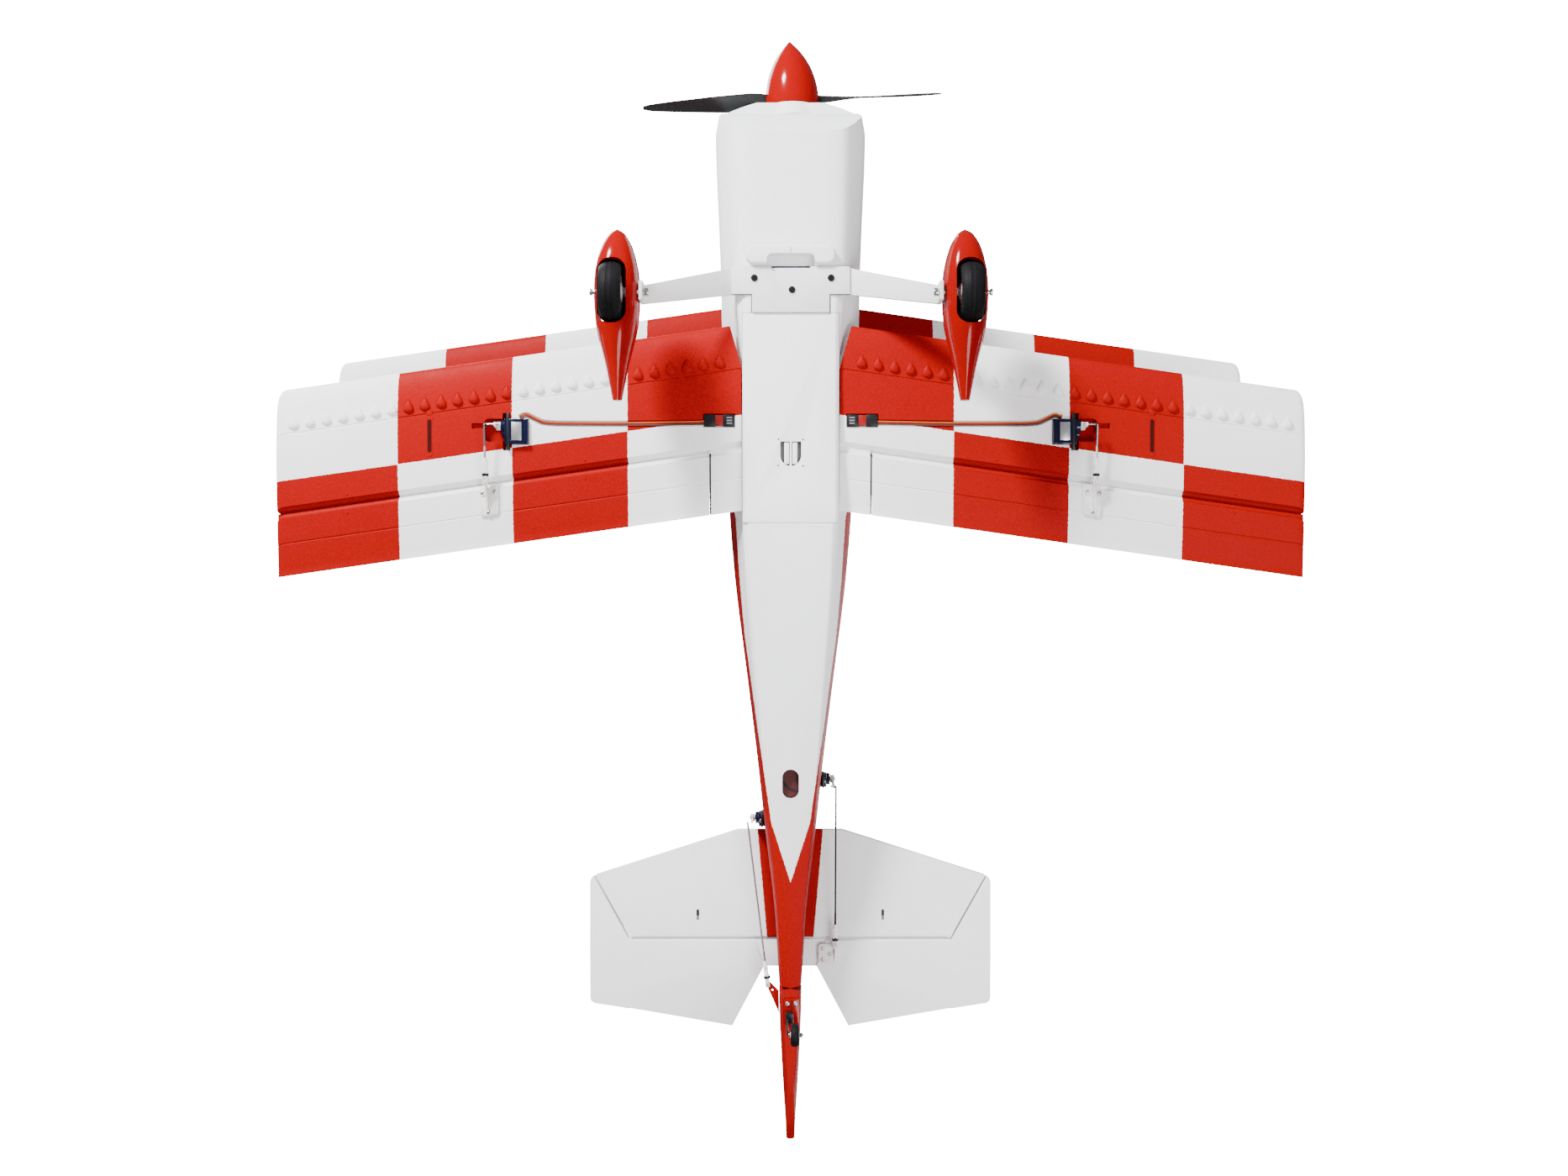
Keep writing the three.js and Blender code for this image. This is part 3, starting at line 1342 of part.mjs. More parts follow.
function spinnerGeometry() {
  const outside = (share) => {
    const radius = SPINNER_RADIUS * Math.sqrt(1 - share) * (1 - 0.12 * share);
    return [radius, -SPINNER_LENGTH * share];
  };
  const shares = [0, 0.22, 0.46, 0.7, 0.88, 0.97];
  const outer = shares.map(outside);
  const inner = shares.slice(0, 5).map((share) => {
    const [radius, y] = outside(share);
    return [radius - SPINNER_WALL, y * 0.97];
  });
  const lining = inner.toReversed().map(([r, y]) => [r, Math.min(y, -SPINNER_WALL)]);
  const nose = [[0, -SPINNER_LENGTH], [0, -SPINNER_LENGTH * 0.93]];
  const backplate = [[8.2, -SPINNER_WALL], [8.2, 0]];
  const profile = [...outer, ...nose, ...lining, ...backplate];
  return cut(turnedY(profile, 22), ...bladePair(0.5));
}
part(power, "spinner", spinnerGeometry(), glossRed());

// ---- Electrics inside the fuselage ----

const floorAt = (y) => stationAt(y).low + WALL + GAP;
const battery = roundedRectangle([-17, 17], [-366, -261], 3);
const batteryFloor = floorAt(-366) + 1;
part(model, "battery", alongZ(battery, batteryFloor, batteryFloor + 28), material(0x2456a8, 0.4));
const controller = roundedRectangle([-14, 14], [-418, -372], 3);
const controllerFloor = floorAt(-418) + 1;
part(model, "speed_controller", alongZ(controller, controllerFloor, controllerFloor + 11), black());
const receiver = roundedRectangle([-11, 11], [-40, 5], 2);
part(model, "receiver", alongZ(receiver, floorAt(5) + 1, floorAt(5) + 14), carbon());

// ---- Ground attitude ----

const base = TAILWHEEL_Y - WHEEL_Y;
const lift = TAILWHEEL_Z - WHEEL_Z;
const pitchUp = Math.atan2(lift, base) + Math.asin((TYRE_RADIUS - TAILWHEEL_RADIUS) / Math.hypot(base, lift));
const aircraft = new THREE.Group();
model.rotation.x = -pitchUp;
aircraft.add(model);
const extent = new THREE.Box3().setFromObject(aircraft, true);
model.position.set(0, -(extent.min.y + extent.max.y) / 2, -extent.min.z);

export default aircraft;
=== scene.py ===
"""The looks of a foam, radio controlled biplane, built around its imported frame."""

import json
import logging
import math
from collections.abc import Callable, Iterable, Sequence
from dataclasses import dataclass
from enum import Enum

import bpy
from mathutils import Matrix, Vector


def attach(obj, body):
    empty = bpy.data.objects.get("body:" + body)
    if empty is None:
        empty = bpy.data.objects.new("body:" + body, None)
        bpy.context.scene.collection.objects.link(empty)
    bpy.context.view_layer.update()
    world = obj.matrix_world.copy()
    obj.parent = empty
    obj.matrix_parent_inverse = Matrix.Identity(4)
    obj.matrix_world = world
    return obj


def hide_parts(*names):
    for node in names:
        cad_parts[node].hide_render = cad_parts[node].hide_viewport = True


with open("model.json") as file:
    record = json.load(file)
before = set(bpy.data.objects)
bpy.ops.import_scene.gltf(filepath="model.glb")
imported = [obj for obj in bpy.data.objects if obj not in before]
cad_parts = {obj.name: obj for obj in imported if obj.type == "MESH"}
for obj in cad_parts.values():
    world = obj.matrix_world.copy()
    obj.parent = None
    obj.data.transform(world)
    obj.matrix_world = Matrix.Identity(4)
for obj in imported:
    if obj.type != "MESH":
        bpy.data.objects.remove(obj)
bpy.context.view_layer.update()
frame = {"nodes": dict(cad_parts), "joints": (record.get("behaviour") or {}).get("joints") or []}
LOG = logging.getLogger("biplane")

Part = bpy.types.Object
Point = tuple[float, float, float]
Outline = Sequence[tuple[float, float]]
Side = int

PORT: Side = 1
STARBOARD: Side = -1


def side_name(side: Side) -> str:
    """The word that ends the names of one side's parts."""
    return "left" if side == PORT else "right"


# ---- The aeroplane's own axes ----


@dataclass(frozen=True)
class LevelAxes:
    """The aeroplane's level axes in millimetres: X to port, Y aft, Z up, Z = 0 at the lower wing's chord.

    The standing aeroplane is pitched nose up, so the axes are read back from two hinges of the frame.
    """

    hinge_y: float = 346.0
    hinge_z: float = 95.0
    millimetre: float = 0.001

    def joint(self, name: str) -> dict:
        """The frame's joint of that name."""
        return next(j for j in frame["joints"] if j["name"] == name)

    def turn(self) -> Matrix:
        """The rotation from level axes to the standing ones."""
        up = Vector(self.joint("rudder_hinge")["axis"]).normalized()
        port = Vector((1.0, 0.0, 0.0))
        aft = up.cross(port)
        return Matrix((port, aft, up)).transposed()

    def to_world(self) -> Matrix:
        """The matrix that takes level millimetres to standing metres."""
        turn = self.turn()
        hinge = Vector(self.joint("elevator_hinge")["pos_m"])
        shift = hinge - turn @ (Vector((0.0, self.hinge_y, self.hinge_z)) * self.millimetre)
        return Matrix.Translation(shift) @ turn.to_4x4() @ Matrix.Scale(self.millimetre, 4)


AXES = LevelAxes()
TO_WORLD = AXES.to_world()


# ---- Modelling moves ----


class Along(Enum):
    """The axis that a flat outline is extruded along, and the order of its coordinates."""

    X = "x"
    Y = "y"
    Z = "z"

    def place(self, first: float, second: float, height: float) -> Point:
        """A point of the outline at one height: outlines hold (Y, Z), (X, Z) or (X, Y)."""
        if self is Along.X:
            return (height, first, second)
        if self is Along.Y:
            return (first, height, second)
        return (first, second, height)


class Cut(Enum):
    """What a boolean does with its tool."""

    AWAY = "DIFFERENCE"
    JOIN = "UNION"
    SHARE = "INTERSECT"


class Bench:
    """Modelling by Blender's operators, in level millimetres. Each move leaves one selected mesh."""

    def alone(self, part: Part) -> Part:
        """Selects one object and nothing else."""
        bpy.ops.object.select_all(action="DESELECT")
        part.select_set(True)
        bpy.context.view_layer.objects.active = part
        return part

    def named(self, name: str) -> Part:
        """Applies the new primitive's place and names it."""
        bpy.ops.object.transform_apply(location=True, rotation=True, scale=True)
        part = bpy.context.object
        part.name = name
        part.data.name = name
        return self.alone(part)

    def raw(self, name: str, points: Iterable[Sequence[float]], edges=(), faces=()) -> Part:
        """A mesh from its own points, as a start for operators.

        Args:
            name: the object's name.
            points: the corners.
            edges: pairs of corner numbers.
            faces: lists of corner numbers.

        Returns:
            The new object.
        """
        mesh = bpy.data.meshes.new(name)
        mesh.from_pydata([tuple(p) for p in points], list(edges), list(faces))
        part = bpy.data.objects.new(name, mesh)
        bpy.context.scene.collection.objects.link(part)
        return self.alone(part)

    def edit(self, part: Part, *moves: Callable[[], object]) -> Part:
        """Runs edit mode operators on all of a part's geometry."""
        self.alone(part)
        bpy.ops.object.mode_set(mode="EDIT")
        bpy.ops.mesh.select_all(action="SELECT")
        for move in moves:
            move()
        bpy.ops.object.mode_set(mode="OBJECT")
        return part

    def outward(self, part: Part, merge: float = 0.0005) -> Part:
        """Merges doubled points and turns the faces outwards."""
        return self.edit(
            part,
            lambda: bpy.ops.mesh.remove_doubles(threshold=merge),
            lambda: bpy.ops.mesh.normals_make_consistent(inside=False),
        )

    def box(self, name: str, low: Sequence[float], high: Sequence[float], bevel: float = 0.0) -> Part:
        """A block between two corners, with its edges broken by a bevel."""
        middle = [(a + b) / 2 for a, b in zip(low, high)]
        size = [b - a for a, b in zip(low, high)]
        bpy.ops.mesh.primitive_cube_add(size=1, location=middle, scale=size)
        part = self.named(name)
        return self.bevel(part, bevel) if bevel else part

    def rod(
        self,
        name: str,
        start: Sequence[float],
        end: Sequence[float],
        radius: float,
        sides: int = 32,
        tip: float | None = None,
        bevel: float = 0.0,
    ) -> Part:
        """A round bar or a taper from start to end; tip is the radius at the end."""
        a, b = Vector(start), Vector(end)
        turn = (b - a).to_track_quat("Z", "Y").to_euler()
        bpy.ops.mesh.primitive_cone_add(
            vertices=sides,
            radius1=radius,
            radius2=radius if tip is None else tip,
            depth=(b - a).length,
            location=(a + b) / 2,
            rotation=turn,
        )
        part = self.named(name)
        return self.bevel(part, bevel) if bevel else part

    def prism(self, name: str, outline: Outline, along: Along, low: float, high: float) -> Part:
        """A flat outline extruded from low to high."""
        points = [along.place(a, b, low) for a, b in outline]
        part = self.raw(name, points, faces=[list(range(len(points)))])
        reach = along.place(0.0, 0.0, high - low)
        self.edit(
            part,
            lambda: bpy.ops.mesh.extrude_region_move(TRANSFORM_OT_translate={"value": reach}),
        )
        return self.outward(part)

    def loft(self, name: str, rings: Sequence[Sequence[Sequence[float]]]) -> Part:
        """A closed skin bridged through rings of points, with its two ends filled."""
        count = len(rings[0])
        points = [p for ring in rings for p in ring]
        edges = [
            (r * count + i, r * count + (i + 1) % count) for r in range(len(rings)) for i in range(count)
        ]
        part = self.raw(name, points, edges=edges)
        self.edit(part, lambda: bpy.ops.mesh.bridge_edge_loops(type="SINGLE"))
        for first in (0, (len(rings) - 1) * count):
            self.alone(part)
            for vertex in part.data.vertices:
                vertex.select = first <= vertex.index < first + count
            for edge in part.data.edges:
                edge.select = all(first <= v < first + count for v in edge.vertices)
            for face in part.data.polygons:
                face.select = False
            bpy.ops.object.mode_set(mode="EDIT")
            bpy.ops.mesh.edge_face_add()
            bpy.ops.object.mode_set(mode="OBJECT")
        return self.outward(part)

    def lathe(
        self,
        name: str,
        profile: Outline,
        centre: Sequence[float],
        axis: Sequence[float],
        steps: int = 48,
        closed: bool = False,
    ) -> Part:
        """A profile of (radius, along) points spun about an axis through centre."""
        spin = Vector(axis).normalized()
        across = spin.orthogonal().normalized()
        base = Vector(centre)
        points = [base + across * radius + spin * reach for radius, reach in profile]
        last = len(points)
        edges = [(i, i + 1) for i in range(last - 1)] + ([(last - 1, 0)] if closed else [])
        part = self.raw(name, points, edges=edges)
        self.edit(
            part,
            lambda: bpy.ops.mesh.spin(steps=steps, angle=2 * math.pi, center=tuple(base), axis=tuple(spin)),
        )
        return self.outward(part)

    def tube(self, name: str, route: Sequence[Sequence[float]], radius: float, smooth: bool = True) -> Part:
        """A round wire along a route."""
        curve = bpy.data.curves.new(name, "CURVE")
        curve.dimensions = "3D"
        curve.bevel_depth = radius
        curve.bevel_resolution = 3
        curve.use_fill_caps = True
        curve.resolution_u = 6
        spline = curve.splines.new("BEZIER" if smooth else "POLY")
        knots = spline.bezier_points if smooth else spline.points
        knots.add(len(route) - 1)
        for knot, place in zip(knots, route):
            knot.co = tuple(place) if smooth else (*place, 1.0)
            if smooth:
                knot.handle_left_type = "AUTO"
                knot.handle_right_type = "AUTO"
        wire = bpy.data.objects.new(name, curve)
        bpy.context.scene.collection.objects.link(wire)
        self.alone(wire)
        bpy.ops.object.convert(target="MESH")
        return self.outward(bpy.context.object)

    def apply(self, part: Part, kind: str, **settings: object) -> Part:
        """Adds a modifier and applies it."""
        self.alone(part)
        modifier = part.modifiers.new(kind.lower(), kind)
        for key, value in settings.items():
            setattr(modifier, key, value)
        bpy.ops.object.modifier_apply(modifier=modifier.name)
        return part

    def bevel(self, part: Part, width: float, segments: int = 2, angle: float = 40.0) -> Part:
        """Rounds the sharp edges of a part."""
        return self.apply(
            part, "BEVEL", width=width, segments=segments, limit_method="ANGLE", angle_limit=math.radians(
                angle
            )
        )

    def boolean(self, part: Part, cut: Cut, *tools: Part) -> Part:
        """Cuts, joins or shares a part with tools, which are used up."""
        for tool in tools:
            self.apply(part, "BOOLEAN", operation=cut.value, object=tool, solver="EXACT")
            bpy.data.objects.remove(tool)
        return part

    def group(self, name: str, *parts: Part) -> Part:
        """Several solids as one object, each with its own finish."""
        self.alone(parts[0])
        for part in parts:
            part.select_set(True)
        if len(parts) > 1:
            bpy.ops.object.join()
        parts[0].name = name
        return self.alone(parts[0])

    def copy(self, part: Part, name: str, matrix: Matrix) -> Part:
        """A copy with its own mesh, moved by a matrix, still facing outwards."""
        twin = part.copy()
        twin.data = part.data.copy()
        twin.name = name
        bpy.context.scene.collection.objects.link(twin)
        twin.data.transform(matrix)
        if matrix.determinant() < 0:
            twin.data.flip_normals()
        return self.alone(twin)

    def mirrored(self, part: Part, name: str) -> Part:
        """The other side's copy of a part."""
        return self.copy(part, name, Matrix.Scale(-1, 4, Vector((1, 0, 0))))

    def moved(self, part: Part, matrix: Matrix) -> Part:
        """Moves a part's own points."""
        part.data.transform(matrix)
        return self.alone(part)

    def dress(self, part: Part, skin: "Skin") -> Part:
        """Gives the whole part one finish."""
        part.data.materials.clear()
        part.data.materials.append(skin.material)
        return part

    def deliver(
        self,
        part: Part,
        body: str,
        slot: str,
        *replaced: str,
        smooth: float = 32.0,
        in_world: bool = False,
    ) -> Part:
        """Stands a finished part in the frame and hands it to its body.

        Args:
            part: the finished mesh, in level millimetres.
            body: the frame's body that it moves with.
            slot: the record's material slot; not used.
            replaced: the CAD nodes that it stands for.
            smooth: edges under this angle are shaded smooth, in degrees.
            in_world: true if the part is in metres already.

        Returns:
            The same object.
        """
        self.alone(part)
        if not in_world:
            part.data.transform(TO_WORLD)
        bpy.ops.object.shade_smooth_by_angle(angle=math.radians(smooth))
        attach(part, body)
        if replaced:
            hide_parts(*replaced)
        LOG.info("%s rides on %s with %d faces", part.name, body, len(part.data.polygons))
        return part


BENCH = Bench()


def arc(
    centre: tuple[float, float], radius: float, start: float, end: float, steps: int,
) -> list[tuple[float, float]]:
    """Points along an arc, with its angles in degrees."""
    angles = [math.radians(start + (end - start) * i / steps) for i in range(steps + 1)]
    return [(centre[0] + radius * math.cos(a), centre[1] + radius * math.sin(a)) for a in angles]


def rounded_rectangle(
    low: tuple[float, float], high: tuple[float, float], radius: float, steps: int = 6
) -> list[tuple[float, float]]:
    """A rectangle with round corners."""
    corners = (
        ((high[0] - radius, low[1] + radius), -90),
        ((high[0] - radius, high[1] - radius), 0),
        ((low[0] + radius, high[1] - radius), 90),
        ((low[0] + radius, low[1] + radius), 180),
    )
    return [p for centre, start in corners for p in arc(centre, radius, start, start + 90, steps)]


def mirrored_outline(half: Outline) -> list[tuple[float, float]]:
    """A closed outline from the half that starts and ends on the centre line."""
    return [*half, *[(-x, y) for x, y in reversed(half) if x]]


def ladder(knots: Sequence[tuple[float, float]], at: float) -> float:
    """The value at a place between knots of (place, value), along a smooth curve with no overshoot."""
    if at <= knots[0][0]:
        return knots[0][1]
    if at >= knots[-1][0]:
        return knots[-1][1]
    slopes = [(b[1] - a[1]) / (b[0] - a[0]) for a, b in zip(knots, knots[1:])]
    i = next(k for k in range(len(slopes)) if knots[k + 1][0] >= at)

    def tangent(k: int) -> float:
        """The curve's slope at a knot, flat where the values turn round."""
        if k in (0, len(slopes)):
            return slopes[min(k, len(slopes) - 1)]
        before, after = slopes[k - 1], slopes[k]
        return 0.0 if before * after <= 0 else 2 * before * after / (before + after)

    (x0, y0), (x1, y1) = knots[i], knots[i + 1]
    width = x1 - x0
    t = (at - x0) / width
    m0, m1 = tangent(i) * width, tangent(i + 1) * width
    a, b = 2 * t**3 - 3 * t**2 + 1, t**3 - 2 * t**2 + t
    c, d = -2 * t**3 + 3 * t**2, t**3 - t**2
    return a * y0 + b * m0 + c * y1 + d * m1


# ---- Sizes shared by several assemblies, in level millimetres ----


@dataclass(frozen=True)
class WingSizes:
    """Both wings' plan and section."""

    span: float = 950.0
    chord: float = 173.0
    sweep: float = math.tan(math.radians(8.2))
    thickness: float = 19.0
    nose_y: float = -251.3
    rise: float = 195.0
    stagger: float = 54.0
    root_x: float = 45.4
    hinge_aft: float = 0.66 * 173.0
    aileron_x: float = 75.0
    colour_steps: tuple[float, float, float] = (150.5, 257.0, 362.5)
    colour_aft: float = 85.0

    @property
    def tip(self) -> float:
        """Half of the span."""
        return self.span / 2

    @property
    def upper_nose(self) -> float:
        """The upper wing's leading edge on the centre line."""
        return self.nose_y - self.stagger

    def half(self, aft: float) -> float:
        """Half of the symmetrical section's thickness at a distance behind the leading edge."""
        share = min(1.0, max(0.0, aft / self.chord))
        curve = 0.2969 * math.sqrt(share) - 0.126 * share - 0.3516 * share**2 + 0.2843 * share**3
        value = self.thickness / 0.2 * (curve - 0.1036 * share**4)
        return max(value, 0.7 if share > 0.5 else 0.0)

    def hinge_y(self, x: float, nose: float | None = None) -> float:
        """The aileron hinge at a place along the span."""
        return (self.nose_y if nose is None else nose) + abs(x) * self.sweep + self.hinge_aft


WING = WingSizes()

# ---- Finishes ----

Colour = tuple[float, float, float]

PALE: Colour = (0.84, 0.86, 0.87)
SCARLET: Colour = (0.26, 0.0002, 0.0008)


class Surface(Enum):
    """The small relief of a finish: how wide its grain is in mm, and how deep."""

    FOAM = (2.6, 0.10)
    GLOSS = (30.0, 0.02)
    MOULDED = (0.5, 0.015)
    RUBBER = (0.7, 0.05)
    BRUSHED = (0.35, 0.02)
    WEAVE = (2.0, 0.05)

    @property
    def grain(self) -> float:
        """Width of the grain in mm."""
        return self.value[0]

    @property
    def depth(self) -> float:
        """Depth of the grain in mm."""
        return self.value[1]


class Scheme(Enum):
    """How a finish shares its two colours out over the aeroplane."""

    PLAIN = "plain"
    LOWER_WING = "lower wing"
    UPPER_WING = "upper wing"
    FUSELAGE = "fuselage"
    TAIL = "tail"


@dataclass(frozen=True)
class Finish:
    """One material: its colour, how it takes light, and its relief."""

    name: str
    colour: Colour
    rough: float
    surface: Surface = Surface.MOULDED
    metal: float = 0.0
    coat: float = 0.0
    dirt: float = 0.14
    scheme: Scheme = Scheme.PLAIN
    other: Colour = SCARLET
    shine: float = 0.5


class Wiring:
    """Builds one node tree, link by link."""

    def __init__(self, tree: bpy.types.NodeTree) -> None:
        """Starts on an empty node tree."""
        self.tree = tree

    def node(self, kind: str, **settings: object) -> bpy.types.Node:
        """A node with its properties set."""
        made = self.tree.nodes.new(kind)
        for key, value in settings.items():
            setattr(made, key, value)
        return made

    def feed(self, socket: bpy.types.NodeSocket, value: object) -> None:
        """Links a socket from another, or sets its constant."""
        if isinstance(value, bpy.types.NodeSocket):
            self.tree.links.new(value, socket)
        else:
            socket.default_value = value

    def maths(self, operation: str, *values: object, clamp: bool = False) -> bpy.types.NodeSocket:
        """A sum of numbers."""
        made = self.node("ShaderNodeMath", operation=operation, use_clamp=clamp)
        for socket, value in zip(made.inputs, values):
            self.feed(socket, value)
        return made.outputs[0]

    def spread(
        self, value: object, low: float, high: float, to_low: float = 0.0, to_high: float = 1.0,
    ) -> bpy.types.NodeSocket:
        """A value from one range spread over another, and held at its ends."""
        made = self.node("ShaderNodeMapRange", clamp=True)
        for socket, number in zip(made.inputs, (value, low, high, to_low, to_high)):
            self.feed(socket, number)
        return made.outputs[0]

    def noise(
        self, vector: object, scale: float, detail: float = 2.0, rough: float = 0.5,
    ) -> bpy.types.NodeSocket:
        """Cloudy noise from 0 to 1."""
        made = self.node("ShaderNodeTexNoise")
        self.feed(made.inputs["Vector"], vector)
        self.feed(made.inputs["Scale"], scale)
        self.feed(made.inputs["Detail"], detail)
        self.feed(made.inputs["Roughness"], rough)
        return made.outputs[0]

    def blend(
        self, factor: object, first: object, second: object, kind: str = "MIX",
    ) -> bpy.types.NodeSocket:
        """One colour laid over another."""
        made = self.node("ShaderNodeMix", data_type="RGBA", blend_type=kind)
        self.feed(made.inputs[0], factor)
        self.feed(made.inputs[6], first)
        self.feed(made.inputs[7], second)
        return made.outputs[2]

    def split(self, vector: object) -> tuple[bpy.types.NodeSocket, ...]:
        """The three numbers of a vector."""
        made = self.node("ShaderNodeSeparateXYZ")
        self.feed(made.inputs[0], vector)
        return tuple(made.outputs)

    def curve(self, value: object, knots: Sequence[tuple[float, float]]) -> bpy.types.NodeSocket:
        """A value read off straight lines between knots."""
        total: object = knots[0][1]
        for (a, low), (b, high) in zip(knots, knots[1:]):
            total = self.maths("ADD", total, self.spread(value, a, b, 0.0, high - low))
        return total

    def use(self, group: bpy.types.NodeTree, **inputs: object) -> bpy.types.Node:
        """A shared effect, with its inputs set."""
        made = self.node("ShaderNodeGroup", node_tree=group)
        for key, value in inputs.items():
            self.feed(made.inputs[key.replace("_", " ").title()], value)
        return made


Effect = Callable[[Wiring, dict[str, bpy.types.NodeSocket]], dict[str, object]]


class Effects:
    """The shared node groups. Each gives only values, masks or colours."""

    def __init__(self) -> None:
        """Builds every shared effect once."""
        vector = {"Vector": "NodeSocketVector"}
        self.level = self.group("Level axes", {}, {"Vector": "NodeSocketVector"}, self.level_axes)
        self.foam = self.group(
            "Foam beads",
            {**vector, "Grain": "NodeSocketFloat"},
            {"Height": "NodeSocketFloat", "Tint": "NodeSocketFloat"},
            self.foam_beads,
        )
        self.grain = self.group(
            "Fine grain",
            {**vector, "Grain": "NodeSocketFloat"},
            {"Height": "NodeSocketFloat", "Tint": "NodeSocketFloat"},
            self.fine_grain,
        )
        self.brush = self.group(
            "Drawn metal",
            {**vector, "Grain": "NodeSocketFloat"},
            {"Height": "NodeSocketFloat", "Tint": "NodeSocketFloat"},
            self.drawn_metal,
        )
        self.weave = self.group(
            "Woven cloth",
            {**vector, "Grain": "NodeSocketFloat"},
            {"Height": "NodeSocketFloat", "Tint": "NodeSocketFloat"},
            self.woven_cloth,
        )
        self.handling = self.group(
            "Handling marks",
            vector,
            {"Dirt": "NodeSocketFloat", "Smear": "NodeSocketFloat"},
            self.handling_marks,
        )
        self.chequer = self.group(
            "Wing chequer", {
                **vector, "Nose": "NodeSocketFloat",
            }, {"Mask": "NodeSocketFloat"}, self.wing_chequer
        )
        self.belly = self.group("Belly flash", vector, {"Mask": "NodeSocketFloat"}, self.belly_flash)
        self.tail = self.group("Tail flash", vector, {"Mask": "NodeSocketFloat"}, self.tail_flash)

    def group(
        self, name: str, inputs: dict[str, str], outputs: dict[str, str], build: Effect,
    ) -> bpy.types.NodeTree:
        """A node group with named sockets, filled by one of the methods below.

        Args:
            name: the group's name.
            inputs: socket types by name.
            outputs: socket types by name.
            build: gives the outputs' values from the inputs' sockets.

        Returns:
            The node group.
        """
        tree = bpy.data.node_groups.new(name, "ShaderNodeTree")
        for direction, sockets in (("INPUT", inputs), ("OUTPUT", outputs)):
            for key, kind in sockets.items():
                tree.interface.new_socket(name=key, in_out=direction, socket_type=kind)
        wiring = Wiring(tree)
        source = wiring.node("NodeGroupInput")
        results = build(wiring, {key: source.outputs[key] for key in inputs})
        sink = wiring.node("NodeGroupOutput")
        for key, value in results.items():
            wiring.feed(sink.inputs[key], value)
        return tree

    def level_axes(self, w: Wiring, _: dict) -> dict[str, object]:
        """Object coordinates turned into level millimetres."""
        back = TO_WORLD.inverted()
        made = w.node("ShaderNodeMapping")
        w.feed(made.inputs["Vector"], w.node("ShaderNodeTexCoord").outputs["Object"])
        made.inputs["Location"].default_value = back.to_translation()
        made.inputs["Rotation"].default_value = back.to_euler()
        made.inputs["Scale"].default_value = back.to_scale()
        return {"Vector": made.outputs[0]}

    def foam_beads(self, w: Wiring, i: dict) -> dict[str, object]:
        """Fused beads under a thin moulded skin."""
        cells = w.node("ShaderNodeTexVoronoi", feature="SMOOTH_F1")
        w.feed(cells.inputs["Vector"], i["Vector"])
        w.feed(cells.inputs["Scale"], w.maths("DIVIDE", 1.0, i["Grain"]))
        w.feed(cells.inputs["Smoothness"], 0.35)
        domes = w.spread(cells.outputs["Distance"], 0.15, 0.75, 1.0, 0.0)
        swell = w.noise(i["Vector"], 0.045, 2.0)
        pores = w.noise(i["Vector"], 1.9, 1.0)
        height = w.maths("ADD", domes, w.maths("MULTIPLY", swell, 2.5))
        height = w.maths("ADD", height, w.maths("MULTIPLY", pores, 0.35))
        return {"Height": height, "Tint": w.maths("MULTIPLY", domes, w.spread(swell, 0.3, 0.7))}

    def fine_grain(self, w: Wiring, i: dict) -> dict[str, object]:
        """The even grain of a moulding."""
        scale = w.maths("DIVIDE", 1.0, i["Grain"])
        made = w.node("ShaderNodeTexNoise")
        for key, value in (("Vector", i["Vector"]), ("Scale", scale), ("Detail", 3.0)):
            w.feed(made.inputs[key], value)
        return {"Height": made.outputs[0], "Tint": w.noise(i["Vector"], 0.11, 3.0)}

    def drawn_metal(self, w: Wiring, i: dict) -> dict[str, object]:
        """Fine scratches along the length of a wire."""
        made = w.node("ShaderNodeMapping")
        w.feed(made.inputs["Vector"], i["Vector"])
        made.inputs["Scale"].default_value = (1.0, 0.06, 1.0)
        scale = w.maths("DIVIDE", 1.0, i["Grain"])
        lines = w.node("ShaderNodeTexNoise")
        for key, value in (("Vector", made.outputs[0]), ("Scale", scale), ("Detail", 2.0)):
            w.feed(lines.inputs[key], value)
        return {"Height": lines.outputs[0], "Tint": w.noise(i["Vector"], 0.3, 3.0)}

    def woven_cloth(self, w: Wiring, i: dict) -> dict[str, object]:
        """Crossed threads."""
        across, along, _ = w.split(i["Vector"])
        first = w.maths("SINE", w.maths("MULTIPLY", w.maths("DIVIDE", across, i["Grain"]), 2 * math.pi))
        second = w.maths("SINE", w.maths("MULTIPLY", w.maths("DIVIDE", along, i["Grain"]), 2 * math.pi))
        both = w.spread(w.maths("MULTIPLY", first, second), -1.0, 1.0)
        return {"Height": both, "Tint": both}

    def handling_marks(self, w: Wiring, i: dict) -> dict[str, object]:
        """Soft dirty clouds, and smears that change the shine."""
        cloud = w.spread(w.noise(i["Vector"], 0.012, 5.0, 0.6), 0.48, 0.78)
        specks = w.spread(w.noise(i["Vector"], 0.4, 2.0), 0.66, 0.80)
        smear = w.noise(i["Vector"], 0.035, 4.0, 0.65)
        return {"Dirt": w.maths("MAXIMUM", cloud, w.maths("MULTIPLY", specks, 0.5)), "Smear": smear}

    def wobble(self, w: Wiring, vector: object) -> bpy.types.NodeSocket:
        """The slight unevenness of a masked paint edge, in mm."""
        return w.spread(w.noise(vector, 0.45, 2.0), 0.0, 1.0, -0.7, 0.7)

